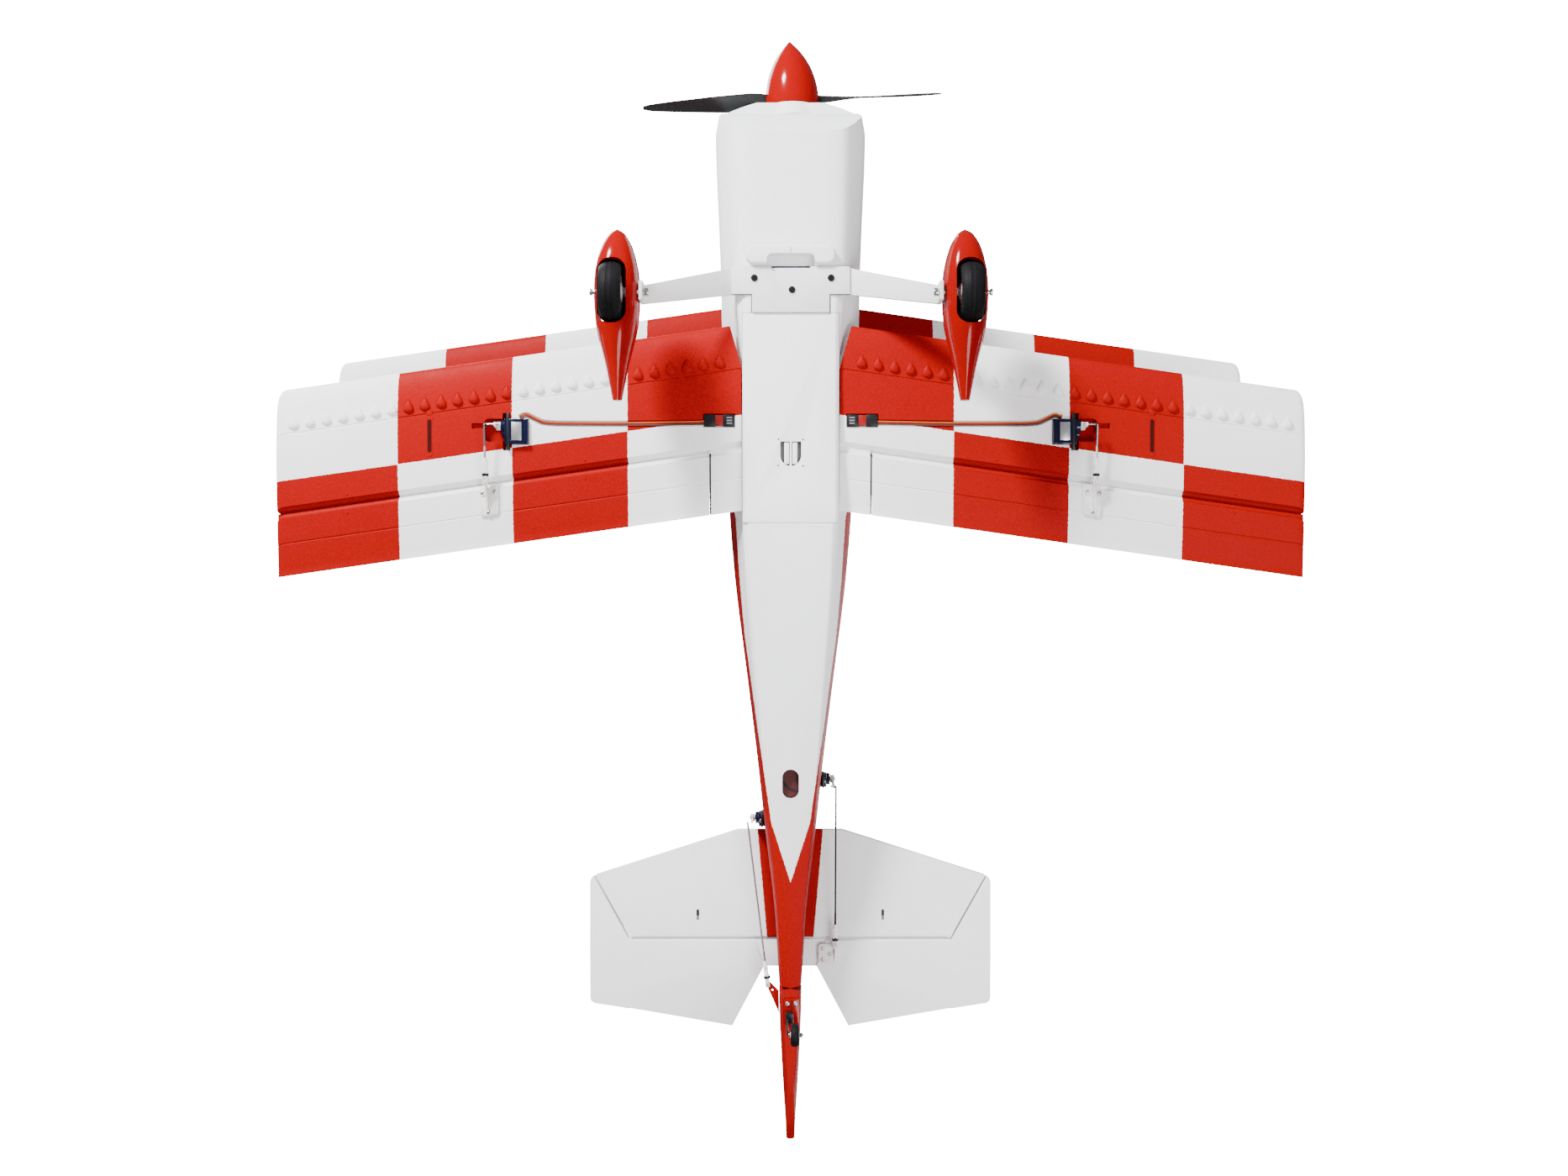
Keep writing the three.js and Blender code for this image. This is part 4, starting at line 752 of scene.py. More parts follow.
    def wing_chequer(self, w: Wiring, i: dict) -> dict[str, object]:
        """1 on the wings' red squares."""
        x, y, _ = w.split(i["Vector"])
        wobble = self.wobble(w, i["Vector"])
        span = w.maths("ADD", w.maths("ABSOLUTE", x), wobble)
        nose = w.maths("ADD", w.maths("MULTIPLY", w.maths("ABSOLUTE", x), WING.sweep), i["Nose"])
        aft = w.maths("ADD", w.maths("SUBTRACT", y, nose), wobble)
        steps = [self.edge(w, span, step) for step in WING.colour_steps]
        inner = w.maths("SUBTRACT", 1.0, steps[0])
        front = w.maths("ADD", inner, w.maths("SUBTRACT", steps[1], steps[2]))
        rear = self.edge(w, aft, WING.colour_aft)
        return {"Mask": w.maths("ABSOLUTE", w.maths("SUBTRACT", front, rear))}

    def edge(self, w: Wiring, value: object, at: object, soft: float = 0.18) -> bpy.types.NodeSocket:
        """0 before a place and 1 behind it, over a narrow band."""
        gap = w.maths("SUBTRACT", value, at)
        return w.spread(gap, -soft, soft)

    def belly_flash(self, w: Wiring, i: dict) -> dict[str, object]:
        """1 on the fuselage's red: its tail, upper sides and deck, with a white belly and nose."""
        x, y, z = w.split(i["Vector"])
        wobble = self.wobble(w, i["Vector"])
        across = w.maths("ADD", w.maths("ABSOLUTE", x), wobble)
        white_half = w.curve(y, ((-90, 56), (-68, 52), (-8, 48), (46, 43), (222, 18), (286, -2)))
        above = w.curve(y, ((-215, 190), (-130, 66), (-60, 22), (120, 5), (290, -10)))
        outside = self.edge(w, across, white_half)
        over = self.edge(w, w.maths("ADD", z, wobble), above)
        return {"Mask": w.maths("MULTIPLY", outside, over)}

    def tail_flash(self, w: Wiring, i: dict) -> dict[str, object]:
        """1 on the red middle of the tailplane."""
        x, y, _ = w.split(i["Vector"])
        wobble = self.wobble(w, i["Vector"])
        limit = w.curve(y, ((241, 32), (344, 23), (345.6, 23), (345.9, -2)))
        return {
            "Mask": w.maths(
                "SUBTRACT", 1.0, self.edge(w, w.maths("ADD", w.maths("ABSOLUTE", x), wobble), limit),
            )
        }


class Shop:
    """Makes materials from finishes."""

    def __init__(self) -> None:
        """Builds the effects and an empty shelf of finishes."""
        self.effects = Effects()
        self.made: dict[str, bpy.types.Material] = {}

    def relief(self, surface: Surface) -> bpy.types.NodeTree:
        """The shared effect that carries a surface's relief."""
        return {
            Surface.FOAM: self.effects.foam,
            Surface.BRUSHED: self.effects.brush,
            Surface.WEAVE: self.effects.weave,
        }.get(surface, self.effects.grain)

    def mask(self, w: Wiring, scheme: Scheme, vector: object) -> object:
        """Where the second colour of a scheme goes."""
        if scheme in (Scheme.LOWER_WING, Scheme.UPPER_WING):
            nose = WING.nose_y if scheme is Scheme.LOWER_WING else WING.upper_nose
            return w.use(self.effects.chequer, vector=vector, nose=nose).outputs["Mask"]
        if scheme is Scheme.FUSELAGE:
            return w.use(self.effects.belly, vector=vector).outputs["Mask"]
        return w.use(self.effects.tail, vector=vector).outputs["Mask"]

    def paint(self, finish: Finish) -> bpy.types.Material:
        """The material of a finish, made once.

        Args:
            finish: what to make.

        Returns:
            A material with a Principled shader.
        """
        if finish.name in self.made:
            return self.made[finish.name]
        material = bpy.data.materials.new(finish.name)
        material.use_nodes = True
        w = Wiring(material.node_tree)
        shader = next(n for n in material.node_tree.nodes if n.type == "BSDF_PRINCIPLED")
        vector = w.use(self.effects.level).outputs["Vector"]
        relief = w.use(self.relief(finish.surface), vector=vector, grain=finish.surface.grain)
        marks = w.use(self.effects.handling, vector=vector)
        colour: object = (*finish.colour, 1.0)
        if finish.scheme is not Scheme.PLAIN:
            colour = w.blend(self.mask(w, finish.scheme, vector), colour, (*finish.other, 1.0))
        shade = w.blend(1.0, colour, (0.90, 0.90, 0.91, 1.0), "MULTIPLY")
        colour = w.blend(w.maths("MULTIPLY", relief.outputs["Tint"], 0.45), colour, shade)
        dirty = w.blend(1.0, colour, (0.72, 0.69, 0.64, 1.0), "MULTIPLY")
        colour = w.blend(w.maths("MULTIPLY", marks.outputs["Dirt"], finish.dirt), colour, dirty)
        w.feed(shader.inputs["Base Color"], colour)
        rough = w.spread(
            marks.outputs["Smear"], 0.25, 0.75, finish.rough * 0.88, min(1.0, finish.rough * 1.12),
        )
        w.feed(shader.inputs["Roughness"], rough)
        shader.inputs["Metallic"].default_value = finish.metal
        shader.inputs["Coat Weight"].default_value = finish.coat
        shader.inputs["Coat Roughness"].default_value = 0.06
        shader.inputs["Specular IOR Level"].default_value = finish.shine
        bump = w.node("ShaderNodeBump")
        bump.inputs["Strength"].default_value = 0.55
        bump.inputs["Distance"].default_value = finish.surface.depth * AXES.millimetre
        w.feed(bump.inputs["Height"], relief.outputs["Height"])
        w.feed(shader.inputs["Normal"], bump.outputs[0])
        self.made[finish.name] = material
        return material


SHOP = Shop()


class Skin(Enum):
    """Every finish of the aeroplane."""

    FOAM_WHITE = Finish("foam_white", PALE, 0.55, Surface.FOAM, shine=0.06)
    FOAM_RED = Finish("foam_red", SCARLET, 0.48, Surface.FOAM, shine=0.06)
    FUSELAGE = Finish("foam_fuselage", PALE, 0.52, Surface.FOAM, scheme=Scheme.FUSELAGE, shine=0.06)
    LOWER = Finish("foam_lower_wing", PALE, 0.52, Surface.FOAM, scheme=Scheme.LOWER_WING, shine=0.06)
    UPPER = Finish("foam_upper_wing", PALE, 0.52, Surface.FOAM, scheme=Scheme.UPPER_WING, shine=0.06)
    TAIL = Finish("foam_tail", PALE, 0.52, Surface.FOAM, scheme=Scheme.TAIL, shine=0.06)
    SLOT_SHADOW = Finish("slot_shadow", (0.035, 0.003, 0.003), 0.8, Surface.FOAM, shine=0.06)
    # Painted shade: a dark red sheet that stands for the shaded red hollow behind the belly window.
    RECESS_SHADE = Finish("window_recess_painted_shade", (0.060, 0.010, 0.011), 0.5, Surface.FOAM, shine=0.2)
    # Dark grey for real seam lines, and also for painted shade in slits and behind openings.
    SEAM = Finish("seam_and_shade_grey", (0.16, 0.17, 0.18), 0.8)
    GLOSS_RED = Finish(
        "gloss_red", (0.24, 0.0002, 0.0008), 0.14, Surface.GLOSS, coat=0.12, dirt=0.05, shine=0.12,
    )
    WHITE = Finish("white_plastic", (0.78, 0.78, 0.77), 0.34)
    MILKY = Finish("milky_plastic", (0.80, 0.80, 0.78), 0.30, coat=0.2)
    BLACK = Finish("black_plastic", (0.008, 0.008, 0.010), 0.4, shine=0.3)
    PROP = Finish("propeller_black", (0.007, 0.008, 0.009), 0.34, shine=0.3)
    NAVY = Finish("servo_navy", (0.003, 0.004, 0.022), 0.16, coat=0.1, dirt=0.04, shine=0.25)
    RUBBER = Finish("tyre_rubber", (0.006, 0.006, 0.007), 0.65, Surface.RUBBER, dirt=0.25, shine=0.1)
    STEEL = Finish("steel", (0.62, 0.63, 0.65), 0.26, Surface.BRUSHED, metal=1.0)
    BLACK_WIRE = Finish("black_wire", (0.020, 0.020, 0.022), 0.30, Surface.BRUSHED, metal=0.5)
    SILVER = Finish("silver_label", (0.66, 0.67, 0.70), 0.30, Surface.BRUSHED, metal=0.9)
    CARBON = Finish("carbon", (0.025, 0.026, 0.028), 0.28, Surface.WEAVE, coat=0.5)
    BELL = Finish("motor_bell", (0.07, 0.07, 0.075), 0.32, Surface.BRUSHED, metal=0.9)
    COPPER = Finish("motor_copper", (0.50, 0.20, 0.09), 0.35, Surface.BRUSHED, metal=1.0)
    WRAP = Finish("battery_wrap", (0.03, 0.10, 0.36), 0.35, Surface.GLOSS, coat=0.3)
    BROWN = Finish("lead_brown", (0.085, 0.030, 0.018), 0.45)
    LEAD_RED = Finish("lead_red", (0.22, 0.003, 0.003), 0.42, shine=0.3)
    ORANGE = Finish("lead_orange", (0.55, 0.12, 0.008), 0.42, shine=0.3)
    TINT = Finish("canopy_tint", (0.022, 0.026, 0.030), 0.07, Surface.GLOSS, coat=0.6, dirt=0.03)

    @property
    def material(self) -> bpy.types.Material:
        """The finish's material."""
        return SHOP.paint(self.value)


# ---- Wings ----


@dataclass(frozen=True)
class Wing:
    """One wing's place: its nose on the centre line, its height, and its colours."""

    nose: float
    z: float
    skin: Skin

    def nose_at(self, x: float) -> float:
        """The leading edge at a place along the span."""
        return self.nose + abs(x) * WING.sweep

    def under(self, x: float, aft: float, drop: float = 0.0) -> Point:
        """A point on the wing's underside, or drop below it."""
        return (x, self.nose_at(x) + aft, self.z - WING.half(aft) - drop)


LOWER = Wing(WING.nose_y, 0.0, Skin.LOWER)
UPPER = Wing(WING.upper_nose, WING.rise, Skin.UPPER)


@dataclass(frozen=True)
class WingDetail:
    """The fine shapes of both wings."""

    groove_aft: float = 42.6
    groove_width: float = 0.9
    groove_depth: float = 0.6
    crease_aft: float = 143.0
    hinge_reach: float = 5.2
    hinge_depth: float = 4.0
    drop_aft: float = 33.5
    drop_pitch: float = 15.1
    drop_length: float = 13.2
    drop_width: float = 10.6
    drop_height: float = 3.0
    drop_start: float = 65.4
    hinge_gap: float = 0.5
    tips: tuple[tuple[float, float, float], ...] = (
        (7.0, 0.0, 1.0),
        (4.5, 1.0, 0.985),
        (2.5, 3.0, 0.94),
        (1.0, 6.0, 0.86),
        (0.2, 9.0, 0.76),
        (0.0, 11.0, 0.66),
    )


class WingMaker:
    """Builds the wings with their grooves, raised drops, ailerons and strut slots."""

    def __init__(self, sizes: WingDetail = WingDetail()) -> None:
        """Takes the fine sizes."""
        self.sizes = sizes

    def shares(self) -> list[tuple[float, float]]:
        """The section's stations: mm behind the leading edge, and how far the skin is pressed in there."""
        s = self.sizes
        plain = [WING.chord * (1 - math.cos(math.pi * i / 44)) / 2 for i in range(45)]
        pressed = {}
        for aft, depth in ((s.groove_aft, s.groove_depth), (s.crease_aft, s.groove_depth * 0.8)):
            for offset, share in ((-s.groove_width, 0.0), (-0.3, 1.0), (0.3, 1.0), (s.groove_width, 0.0)):
                pressed[aft + offset] = depth * share
        hinge = WING.hinge_aft
        for offset in (-1.0, -0.92, -0.7, -0.4, 0.4, 0.7, 0.92, 1.0):
            pressed[hinge + offset * s.hinge_reach] = s.hinge_depth * math.sqrt(1 - offset**2)
        clear = [
            a for a in plain if all(abs(a - p) > 0.8 for p in pressed) and abs(a - hinge) > s.hinge_reach
        ]
        return sorted([(a, 0.0) for a in clear] + list(pressed.items()))

    def ring(self, wing: Wing, x: float, inset: float = 0.0, scale: float = 1.0) -> list[Point]:
        """The section at one place along the span.

        Args:
            wing: which wing.
            x: place along the span.
            inset: how far the nose is moved aft there.
            scale: thickness against the plain section.

        Returns:
            Points from the trailing edge over the top and back along the underside.
        """
        nose = wing.nose_at(x) + inset
        stretch = (WING.chord - inset) / WING.chord
        top, bottom = [], []
        for aft, press in self.shares():
            half = max(WING.half(aft) - press, 0.4) * scale if aft > 0 else 0.0
            place = nose + aft * stretch
            top.append((x, place, wing.z + half))
            bottom.append((x, place, wing.z - half))
        return [*reversed(top), *bottom[1:]]

    def half_wing(self, name: str, wing: Wing, inner: float) -> Part:
        """The plain port half, from its inner end to the rounded tip."""
        rings = [self.ring(wing, x) for x in (inner, 120, 200, 300, 400)]
        rings += [self.ring(wing, WING.tip - back, inset, scale) for back, inset, scale in self.sizes.tips]
        return BENCH.loft(name, rings)

    def hinge_outline(self, direction: int) -> list[tuple[float, float]]:
        """The bevelled cut at the hinge, in mm behind the leading edge and above the chord plane."""
        deep = 14.0
        nose = WING.hinge_aft + direction * self.sizes.hinge_gap / 2
        edge = nose + direction * (deep - 0.4) * math.tan(math.radians(30))
        rear = WING.chord + 20
        return [(nose, 0.4), (edge, deep), (rear, deep), (rear, -deep), (edge, -deep), (nose, -0.4)]

    def swept(self, name: str, wing: Wing, outline: Outline, x0: float, x1: float) -> Part:
        """A prism that follows the sweep."""
        rings = [[(x, wing.nose_at(x) + aft, wing.z + z) for aft, z in outline] for x in (x0, x1)]
        return BENCH.loft(name, rings)

    def drop(self) -> list[Point]:
        """Half of a raised drop's points: pointed in front, round behind, and high near its back."""
        s = self.sizes
        half = ((0.0, 0.50), (0.48, 0.43), (0.88, 0.34), (1.0, 0.16), (0.80, -0.08), (0.42, -0.32))
        ring = [*half, (0.0, -0.58), *[(-x, y) for x, y in reversed(half[1:])]]
        points = []
        for share, rise in ((1.0, 0.0), (0.80, 0.72), (0.38, 1.0)):
            for across, along in ring:
                reach = along * s.drop_length * share
                points.append((across * s.drop_width / 2 * share, reach, s.drop_height * rise))
        return points

    def drops(self, name: str, wing: Wing, side: Side, top: bool) -> Part:
        """The row of raised drops behind one half's leading edge.

        Args:
            name: the object's name.
            wing: which wing.
            side: which half.
            top: true for the upper skin.

        Returns:
            One object of small closed shapes.
        """
        s = self.sizes
        shape = self.drop()
        count = len(shape)
        points: list[Point] = []
        faces: list[list[int]] = []
        x = s.drop_start
        up = 1.0 if top else -1.0
        while x < WING.tip - 12:
            base = len(points)
            for across, along, rise in shape:
                aft = s.drop_aft + along
                height = WING.half(aft) - 0.25 + rise
                points.append((x + across, wing.nose_at(x) + aft, wing.z + up * height))
            sides = count // 3
            for row in range(2):
                for k in range(sides):
                    a, b = base + row * sides + k, base + row * sides + (k + 1) % sides
                    faces.append([a, b, b + sides, a + sides])
            faces.append([base + 2 * sides + k for k in range(sides)])
            faces.append([base + k for k in reversed(range(sides))])
            x += s.drop_pitch
        LOG.info("%s has %d drops of %d points", name, len(points) // count, count)
        part = BENCH.outward(BENCH.raw(name, points, faces=faces))
        return part if side == PORT else self.mirror_away(part, name)

    def mirror_away(self, part: Part, name: str) -> Part:
        """The starboard copy of a part, with the port one removed."""
        twin = BENCH.mirrored(part, name + "_twin")
        bpy.data.objects.remove(part)
        twin.name = name
        return BENCH.alone(twin)

    def both(
        self, part: Part, name: str, body: str, slot: str, node: str = "", smooth: float = 32.0,
    ) -> None:
        """Delivers a port part and its mirror image; {} in the names stands for the side."""
        twin = BENCH.mirrored(part, name.format(side_name(STARBOARD)))
        part.name = name.format(side_name(PORT))
        for one, side in ((part, PORT), (twin, STARBOARD)):
            word = side_name(side)
            nodes = [node.format(word)] if node else []
            BENCH.deliver(one, body.format(word), slot, *nodes, smooth=smooth)

    def strut_slot(self, wing: Wing, up: int) -> list[Part]:
        """The slit that a strut's tab stands in, its lip and the round boss ahead of it.

        Args:
            wing: which wing.
            up: 1 for the upper skin and -1 for the underside.

        Returns:
            Small solids that stand a little proud of the skin.
        """
        x, centre = 333.0, 63.0
        parts = []
        # The slit is a dark red-black solid standing proud of the skin: painted shadow inside the slit.
        for name, half, length, rise, skin in (
            ("slot_lip", 2.8, 19.0, 0.3, wing.skin),
            ("slot_slit_shadow", 1.7, 15.0, 0.5, Skin.SLOT_SHADOW),
        ):
            ring = []
            for along, across in rounded_rectangle((-length, -half), (length, half), half * 0.9, 4):
                aft = centre + along
                ring.append((x + across, aft))
            low = [(px, wing.nose_at(px) + aft, wing.z + up * (WING.half(aft) - 0.6)) for px, aft in ring]
            high = [(px, wing.nose_at(px) + aft, wing.z + up * (WING.half(aft) + rise)) for px, aft in ring]
            parts.append(BENCH.dress(BENCH.loft(name, [low, high]), skin))
        boss_aft = centre - 21.5
        base = wing.z + up * (WING.half(boss_aft) - 0.6)
        spot = (x, wing.nose_at(x) + boss_aft, base)
        profile = [(0.0, -0.2), (3.0, -0.2), (3.0, 0.8), (2.6, 1.15), (1.2, 1.35), (0.0, 1.4)]
        boss = BENCH.lathe("slot_boss", profile, spot, (0, 0, up), steps=20)
        parts.append(BENCH.dress(boss, wing.skin))
        return parts

    def hinge_dots(self, wing: Wing) -> list[Part]:
        """The small pin heads over the foam hinges of one aileron's underside."""
        parts = []
        for x in (96.0, 190.0, 300.0, 410.0):
            for aft in (WING.hinge_aft - 8.5, WING.hinge_aft + 8.5):
                place = wing.under(x, aft, -0.3)
                dot = BENCH.rod(
                    "hinge_dot", place, (place[0], place[1], place[2] - 0.7), 1.0, 12, bevel=0.2,
                )
                parts.append(BENCH.dress(dot, wing.skin))
        return parts

    def end_slot(self, wing: Wing) -> Part:
        """A black sheet in the gap at an aileron's inner end, left open by the cut: painted shade of the
        gap.
        """
        x = WING.aileron_x
        rows = []
        for aft in (WING.hinge_aft + 2, 128.0, 143.0, 158.0, 172.5):
            half = max(WING.half(aft) - 0.8, 0.3)
            rows.append((aft, half))
        outline = [(a, h) for a, h in rows] + [(a, -h) for a, h in reversed(rows)]
        return BENCH.dress(self.swept("aileron_end_shade", wing, outline, x - 1.25, x + 0.05), Skin.BLACK)

    def hinge_skin(self, wing: Wing) -> Part:
        """The foam web that a moulded hinge bends at: a thin round strip on the hinge's own line."""
        x0, x1 = WING.aileron_x + 1, WING.tip - 1.5
        ends = [(x, wing.nose_at(x) + WING.hinge_aft, wing.z) for x in (x0, x1)]
        return BENCH.dress(BENCH.rod("hinge_skin", *ends, 0.5, 10), wing.skin)

    def aileron(self, name: str, wing: Wing) -> Part:
        """The port aileron with its bevelled nose."""
        part = self.half_wing(name, wing, WING.aileron_x + 0.3)
        keep = self.swept("keep", wing, self.hinge_outline(1), WING.aileron_x, WING.tip + 5)
        part = BENCH.boolean(part, Cut.SHARE, keep)
        BENCH.dress(part, wing.skin)
        return part

    def fixed(self, name: str, wing: Wing, inner: float, *cutters: Part) -> Part:
        """The port half ahead of the aileron, with every cutter taken out of it."""
        part = self.half_wing(name, wing, inner)
        away = self.swept("away", wing, self.hinge_outline(-1), WING.aileron_x - 1.3, WING.tip + 5)
        part = BENCH.boolean(part, Cut.AWAY, away, *cutters)
        BENCH.dress(part, wing.skin)
        return part

    def build_lower(self, cutters: list[Part]) -> None:
        """The two lower halves and their ailerons."""
        y = WING.nose_y
        corner = [(42, y - 5), (58.4, y - 5), (56.4, y + 8), (WING.root_x, y + 48), (42, y + 48)]
        cutters = [BENCH.prism("corner", corner, Along.Z, -20, 20), *cutters]
        half = self.fixed("lower_wing", LOWER, WING.root_x, *cutters)
        extras = [
            *self.strut_slot(LOWER, -1),
            *self.hinge_dots(LOWER),
            self.end_slot(LOWER),
            self.hinge_skin(LOWER),
        ]
        half = BENCH.group("lower_wing", half, *extras)
        self.both(half, "lower_wing_{}", "airframe", "foam_chequer", "lower_wing_{}")
        aileron = self.aileron("lower_aileron", LOWER)
        self.both(aileron, "lower_aileron_{}", "lower_aileron_{}", "foam_chequer", "lower_aileron_{}")
        for side in (PORT, STARBOARD):
            for top in (False, True):
                name = f"lower_drops_{'top' if top else 'bottom'}_{side_name(side)}"
                row = BENCH.dress(self.drops(name, LOWER, side, top), LOWER.skin)
                BENCH.deliver(row, "airframe", "foam_chequer", smooth=50)

    def build_upper(self) -> None:
        """The upper wing in one piece, and its ailerons."""
        half = self.fixed("upper_wing", UPPER, 0.0)
        extras = [*self.strut_slot(UPPER, 1), self.end_slot(UPPER), self.hinge_skin(UPPER)]
        group = BENCH.group("upper_wing", half, *extras)
        twin = BENCH.mirrored(group, "upper_wing_twin")
        whole = BENCH.outward(BENCH.group("upper_wing", group, twin), 0.001)
        BENCH.deliver(whole, "airframe", "foam_chequer", "upper_wing")
        aileron = self.aileron("upper_aileron", UPPER)
        self.both(aileron, "upper_aileron_{}", "upper_aileron_{}", "foam_chequer", "upper_aileron_{}")
        for side in (PORT, STARBOARD):
            for top in (False, True):
                name = f"upper_drops_{'top' if top else 'bottom'}_{side_name(side)}"
                row = BENCH.dress(self.drops(name, UPPER, side, top), UPPER.skin)
                BENCH.deliver(row, "airframe", "foam_chequer", smooth=50)


WINGS = WingMaker()


# ---- Fuselage ----


@dataclass(frozen=True)
class Station:
    """The fuselage's outline at one place along its length: heights and half widths."""

    y: float
    low: float
    high: float
    half: float
    waist: float
    keel: float
    chine: float
    foot: float
    foot_z: float


STATIONS = (
    Station(-446, -8, 127, 70, 60, 42, 54, 66, 16),
    Station(-434, -10, 129, 72, 60, 42, 54, 68, 16),
    Station(-340, -13, 128, 68.5, 58, 42, 53, 65, 15),
    Station(-300, -16, 127, 67, 57, 41.5, 51, 63, 14),
    Station(-252.5, -16, 126, 66, 56, 41, 47.5, 57, 12),
    Station(-203, -16, 124, 64, 55, 40.5, 44.6, 45, 12),
    Station(-71, -16, 120, 58.5, 53, 38.5, 44.4, 45, 12),
    Station(-5, -12, 117, 53, 52, 36.5, 41.5, 44, 14),
    Station(75, -2, 116, 43, 54, 31.5, 35.5, 38, 18),
    Station(164, 12, 115, 32, 60, 25, 28, 29.5, 30),
    Station(234, 25, 114, 24.5, 66, 19.5, 21.8, 23, 40),
    Station(311, 38, 113, 15.5, 72, 12.5, 13.8, 14.7, 52),
    Station(384.8, 50, 112, 11, 78, 9, 10, 10.6, 62),
)


@dataclass(frozen=True)
class FuselageSizes:
    """Driving sizes of the fuselage and what is let into it."""

    wall: float = 6.0
    chine_rise: float = 5.0
    nose_y: float = -446.0
    firewall_y: float = -428.0
    end_y: float = 384.8
    pan_start: float = -252.5
    pan_end: float = -60.0
    pan_top: float = 11.0
    hatch_start: float = -120.0
    hatch_end: float = 84.0
    hatch_half: float = 34.0
    gap: float = 0.3
    fin_half: float = 5.5
    scoop_half: float = 41.5
    scoop_front: float = -314.0
    scoop_rear: float = -296.3
    scoop_low: float = -23.0
    pan_low: float = -16.0
    outlet_radius: float = 9.5
    outlet_front: float = -134.5
    outlet_centre: float = -121.5
    cowl_length: float = 17.0
    throat_radius: float = 23.0
    thrust: Point = (2.3, -465.0, 65.0)
    cover_low: float = -18.0
    cover_high: float = -15.0


BODY = FuselageSizes()


def soften(points: Sequence[tuple[float, float]], reach: float) -> list[tuple[float, float]]:
    """Rounds the inner corners of an open line, with three points for each."""
    out = [points[0]]
    for before, corner, after in zip(points, points[1:], points[2:]):
        p, c, n = Vector(before), Vector(corner), Vector(after)
        a = c + (p - c).normalized() * min(reach, (p - c).length * 0.4)
        b = c + (n - c).normalized() * min(reach, (n - c).length * 0.4)
        out += [tuple(a), tuple(a * 0.25 + c * 0.5 + b * 0.25), tuple(b)]
    return [*out, points[-1]]


class Hull:
    """The fuselage's skin as a smooth run of stations."""

    def at(self, y: float) -> Station:
        """The outline at a place along the length."""
        values = [
            ladder([(s.y, getattr(s, key)) for s in STATIONS], y)
            for key in ("low", "high", "half", "waist", "keel", "chine", "foot", "foot_z")
        ]
        return Station(y, *values)

    def ring(self, s: Station, inset: float = 0.0, shrink: float = 0.0) -> list[Point]:
        """One ring of the skin.

        Args:
            s: the outline.
            inset: how far inside the skin it runs.
            shrink: how much smaller the whole outline is, for the cowl's curl.

        Returns:
            Points from the keel up the port side, over the deck and down again.
        """
        low, high = s.low + inset + shrink, s.high - inset - shrink
        half, foot = s.half - inset - shrink, s.foot - inset - shrink
        chine = s.chine - inset - shrink
        keel = min(s.keel - 0.8 * shrink, chine - 1)
        corners = [(0.0, low), (keel, low), (chine, low + BODY.chine_rise), (foot, s.foot_z)]
        wall = []
        for step in range(1, 7):
            t = step / 6
            wall.append(
                (foot + (half - foot) * math.sin(t * math.pi / 2), s.foot_z + (s.waist - s.foot_z) * t)
            )
        reach = ladder([(-446, 14), (-330, 10), (-262, 1.6)], s.y)
        line = soften([*corners, wall[0]], reach)[:-1] + wall
        for step in range(1, 15):
            a = math.radians(90 * step / 15)
            line.append((half * math.cos(a) ** 0.87, s.waist + (high - s.waist) * math.sin(a) ** 0.87))
        line.append((0.0, high))
        mirror = [(-x, z) for x, z in reversed(line[1:-1])]
        return [(x, s.y, z) for x, z in [*line, *mirror]]

    def solid(self, name: str, y0: float, y1: float, inset: float = 0.0, step: float = 24.0) -> Part:
        """The solid hull between two places."""
        count = max(1, round((y1 - y0) / step))
        places = {y0 + (y1 - y0) * i / count for i in range(count + 1)}
        places |= {s.y for s in STATIONS if y0 + 3 < s.y < y1 - 3}
        return BENCH.loft(name, [self.ring(self.at(y), inset) for y in sorted(places)])


HULL = Hull()


def pan_outline(clearance: float, inset: float = 0.0) -> list[tuple[float, float]]:
    """The belly pan seen from below."""
    start = HULL.at(BODY.pan_start).chine - 3 - inset + clearance
    middle = WING.root_x - 0.9 - inset + clearance
    end = HULL.at(BODY.pan_end).chine - inset + clearance
    y0 = BODY.pan_start + inset - clearance
    y1 = BODY.pan_end - inset + clearance
    return [(-start, y0), (start, y0), (middle, -203), (end, y1), (-end, y1), (-middle, -203)]


def stab_half(grow: float, hinge_y: float) -> list[tuple[float, float]]:
    """Half of the tailplane's outline."""
    return [
        (0, 239 - grow),
        (51.6, 239 - grow),
        (192.6 - grow, 284 - grow),
        (157.5 - grow, hinge_y),
        (0, hinge_y),
    ]


def rudder_vee(direction: int) -> list[tuple[float, float]]:
    """The bevel at the rudder's hinge, as (X, Y)."""
    nose = 385 + direction * 0.2
    edge = nose + direction * 23.6 * math.tan(math.radians(15))
    return [(0.4, nose), (24, edge), (24, nose + 40), (-24, nose + 40), (-24, edge), (-0.4, nose)]


class ServoPocket:
    """The hollow that a servo stands in, with the servo's own axes."""

    def build(self, name: str, outward: float, place: Matrix) -> Part:
        """The cutter, moved to its place."""
        case = BENCH.box(name, (-17.9, -6.4, -6.4), (outward, 17.4, 6.4))
        ears = BENCH.box("ears", (-0.4, -11.7, -6.4), (outward, 22.7, 6.4))
        return BENCH.moved(BENCH.boolean(case, Cut.JOIN, ears), place)


POCKET = ServoPocket()
ELEVATOR_PLACE = Matrix.Translation((30.3, 186, 72)) @ Matrix.Rotation(-math.pi / 2, 4, "X")
RUDDER_PLACE = (
    Matrix.Translation((-26.4, 226, 86)) @ Matrix.Rotation(math.pi, 4, "Z") @ Matrix.Rotation(
        -math.pi / 2, 4, "X",
    )
)


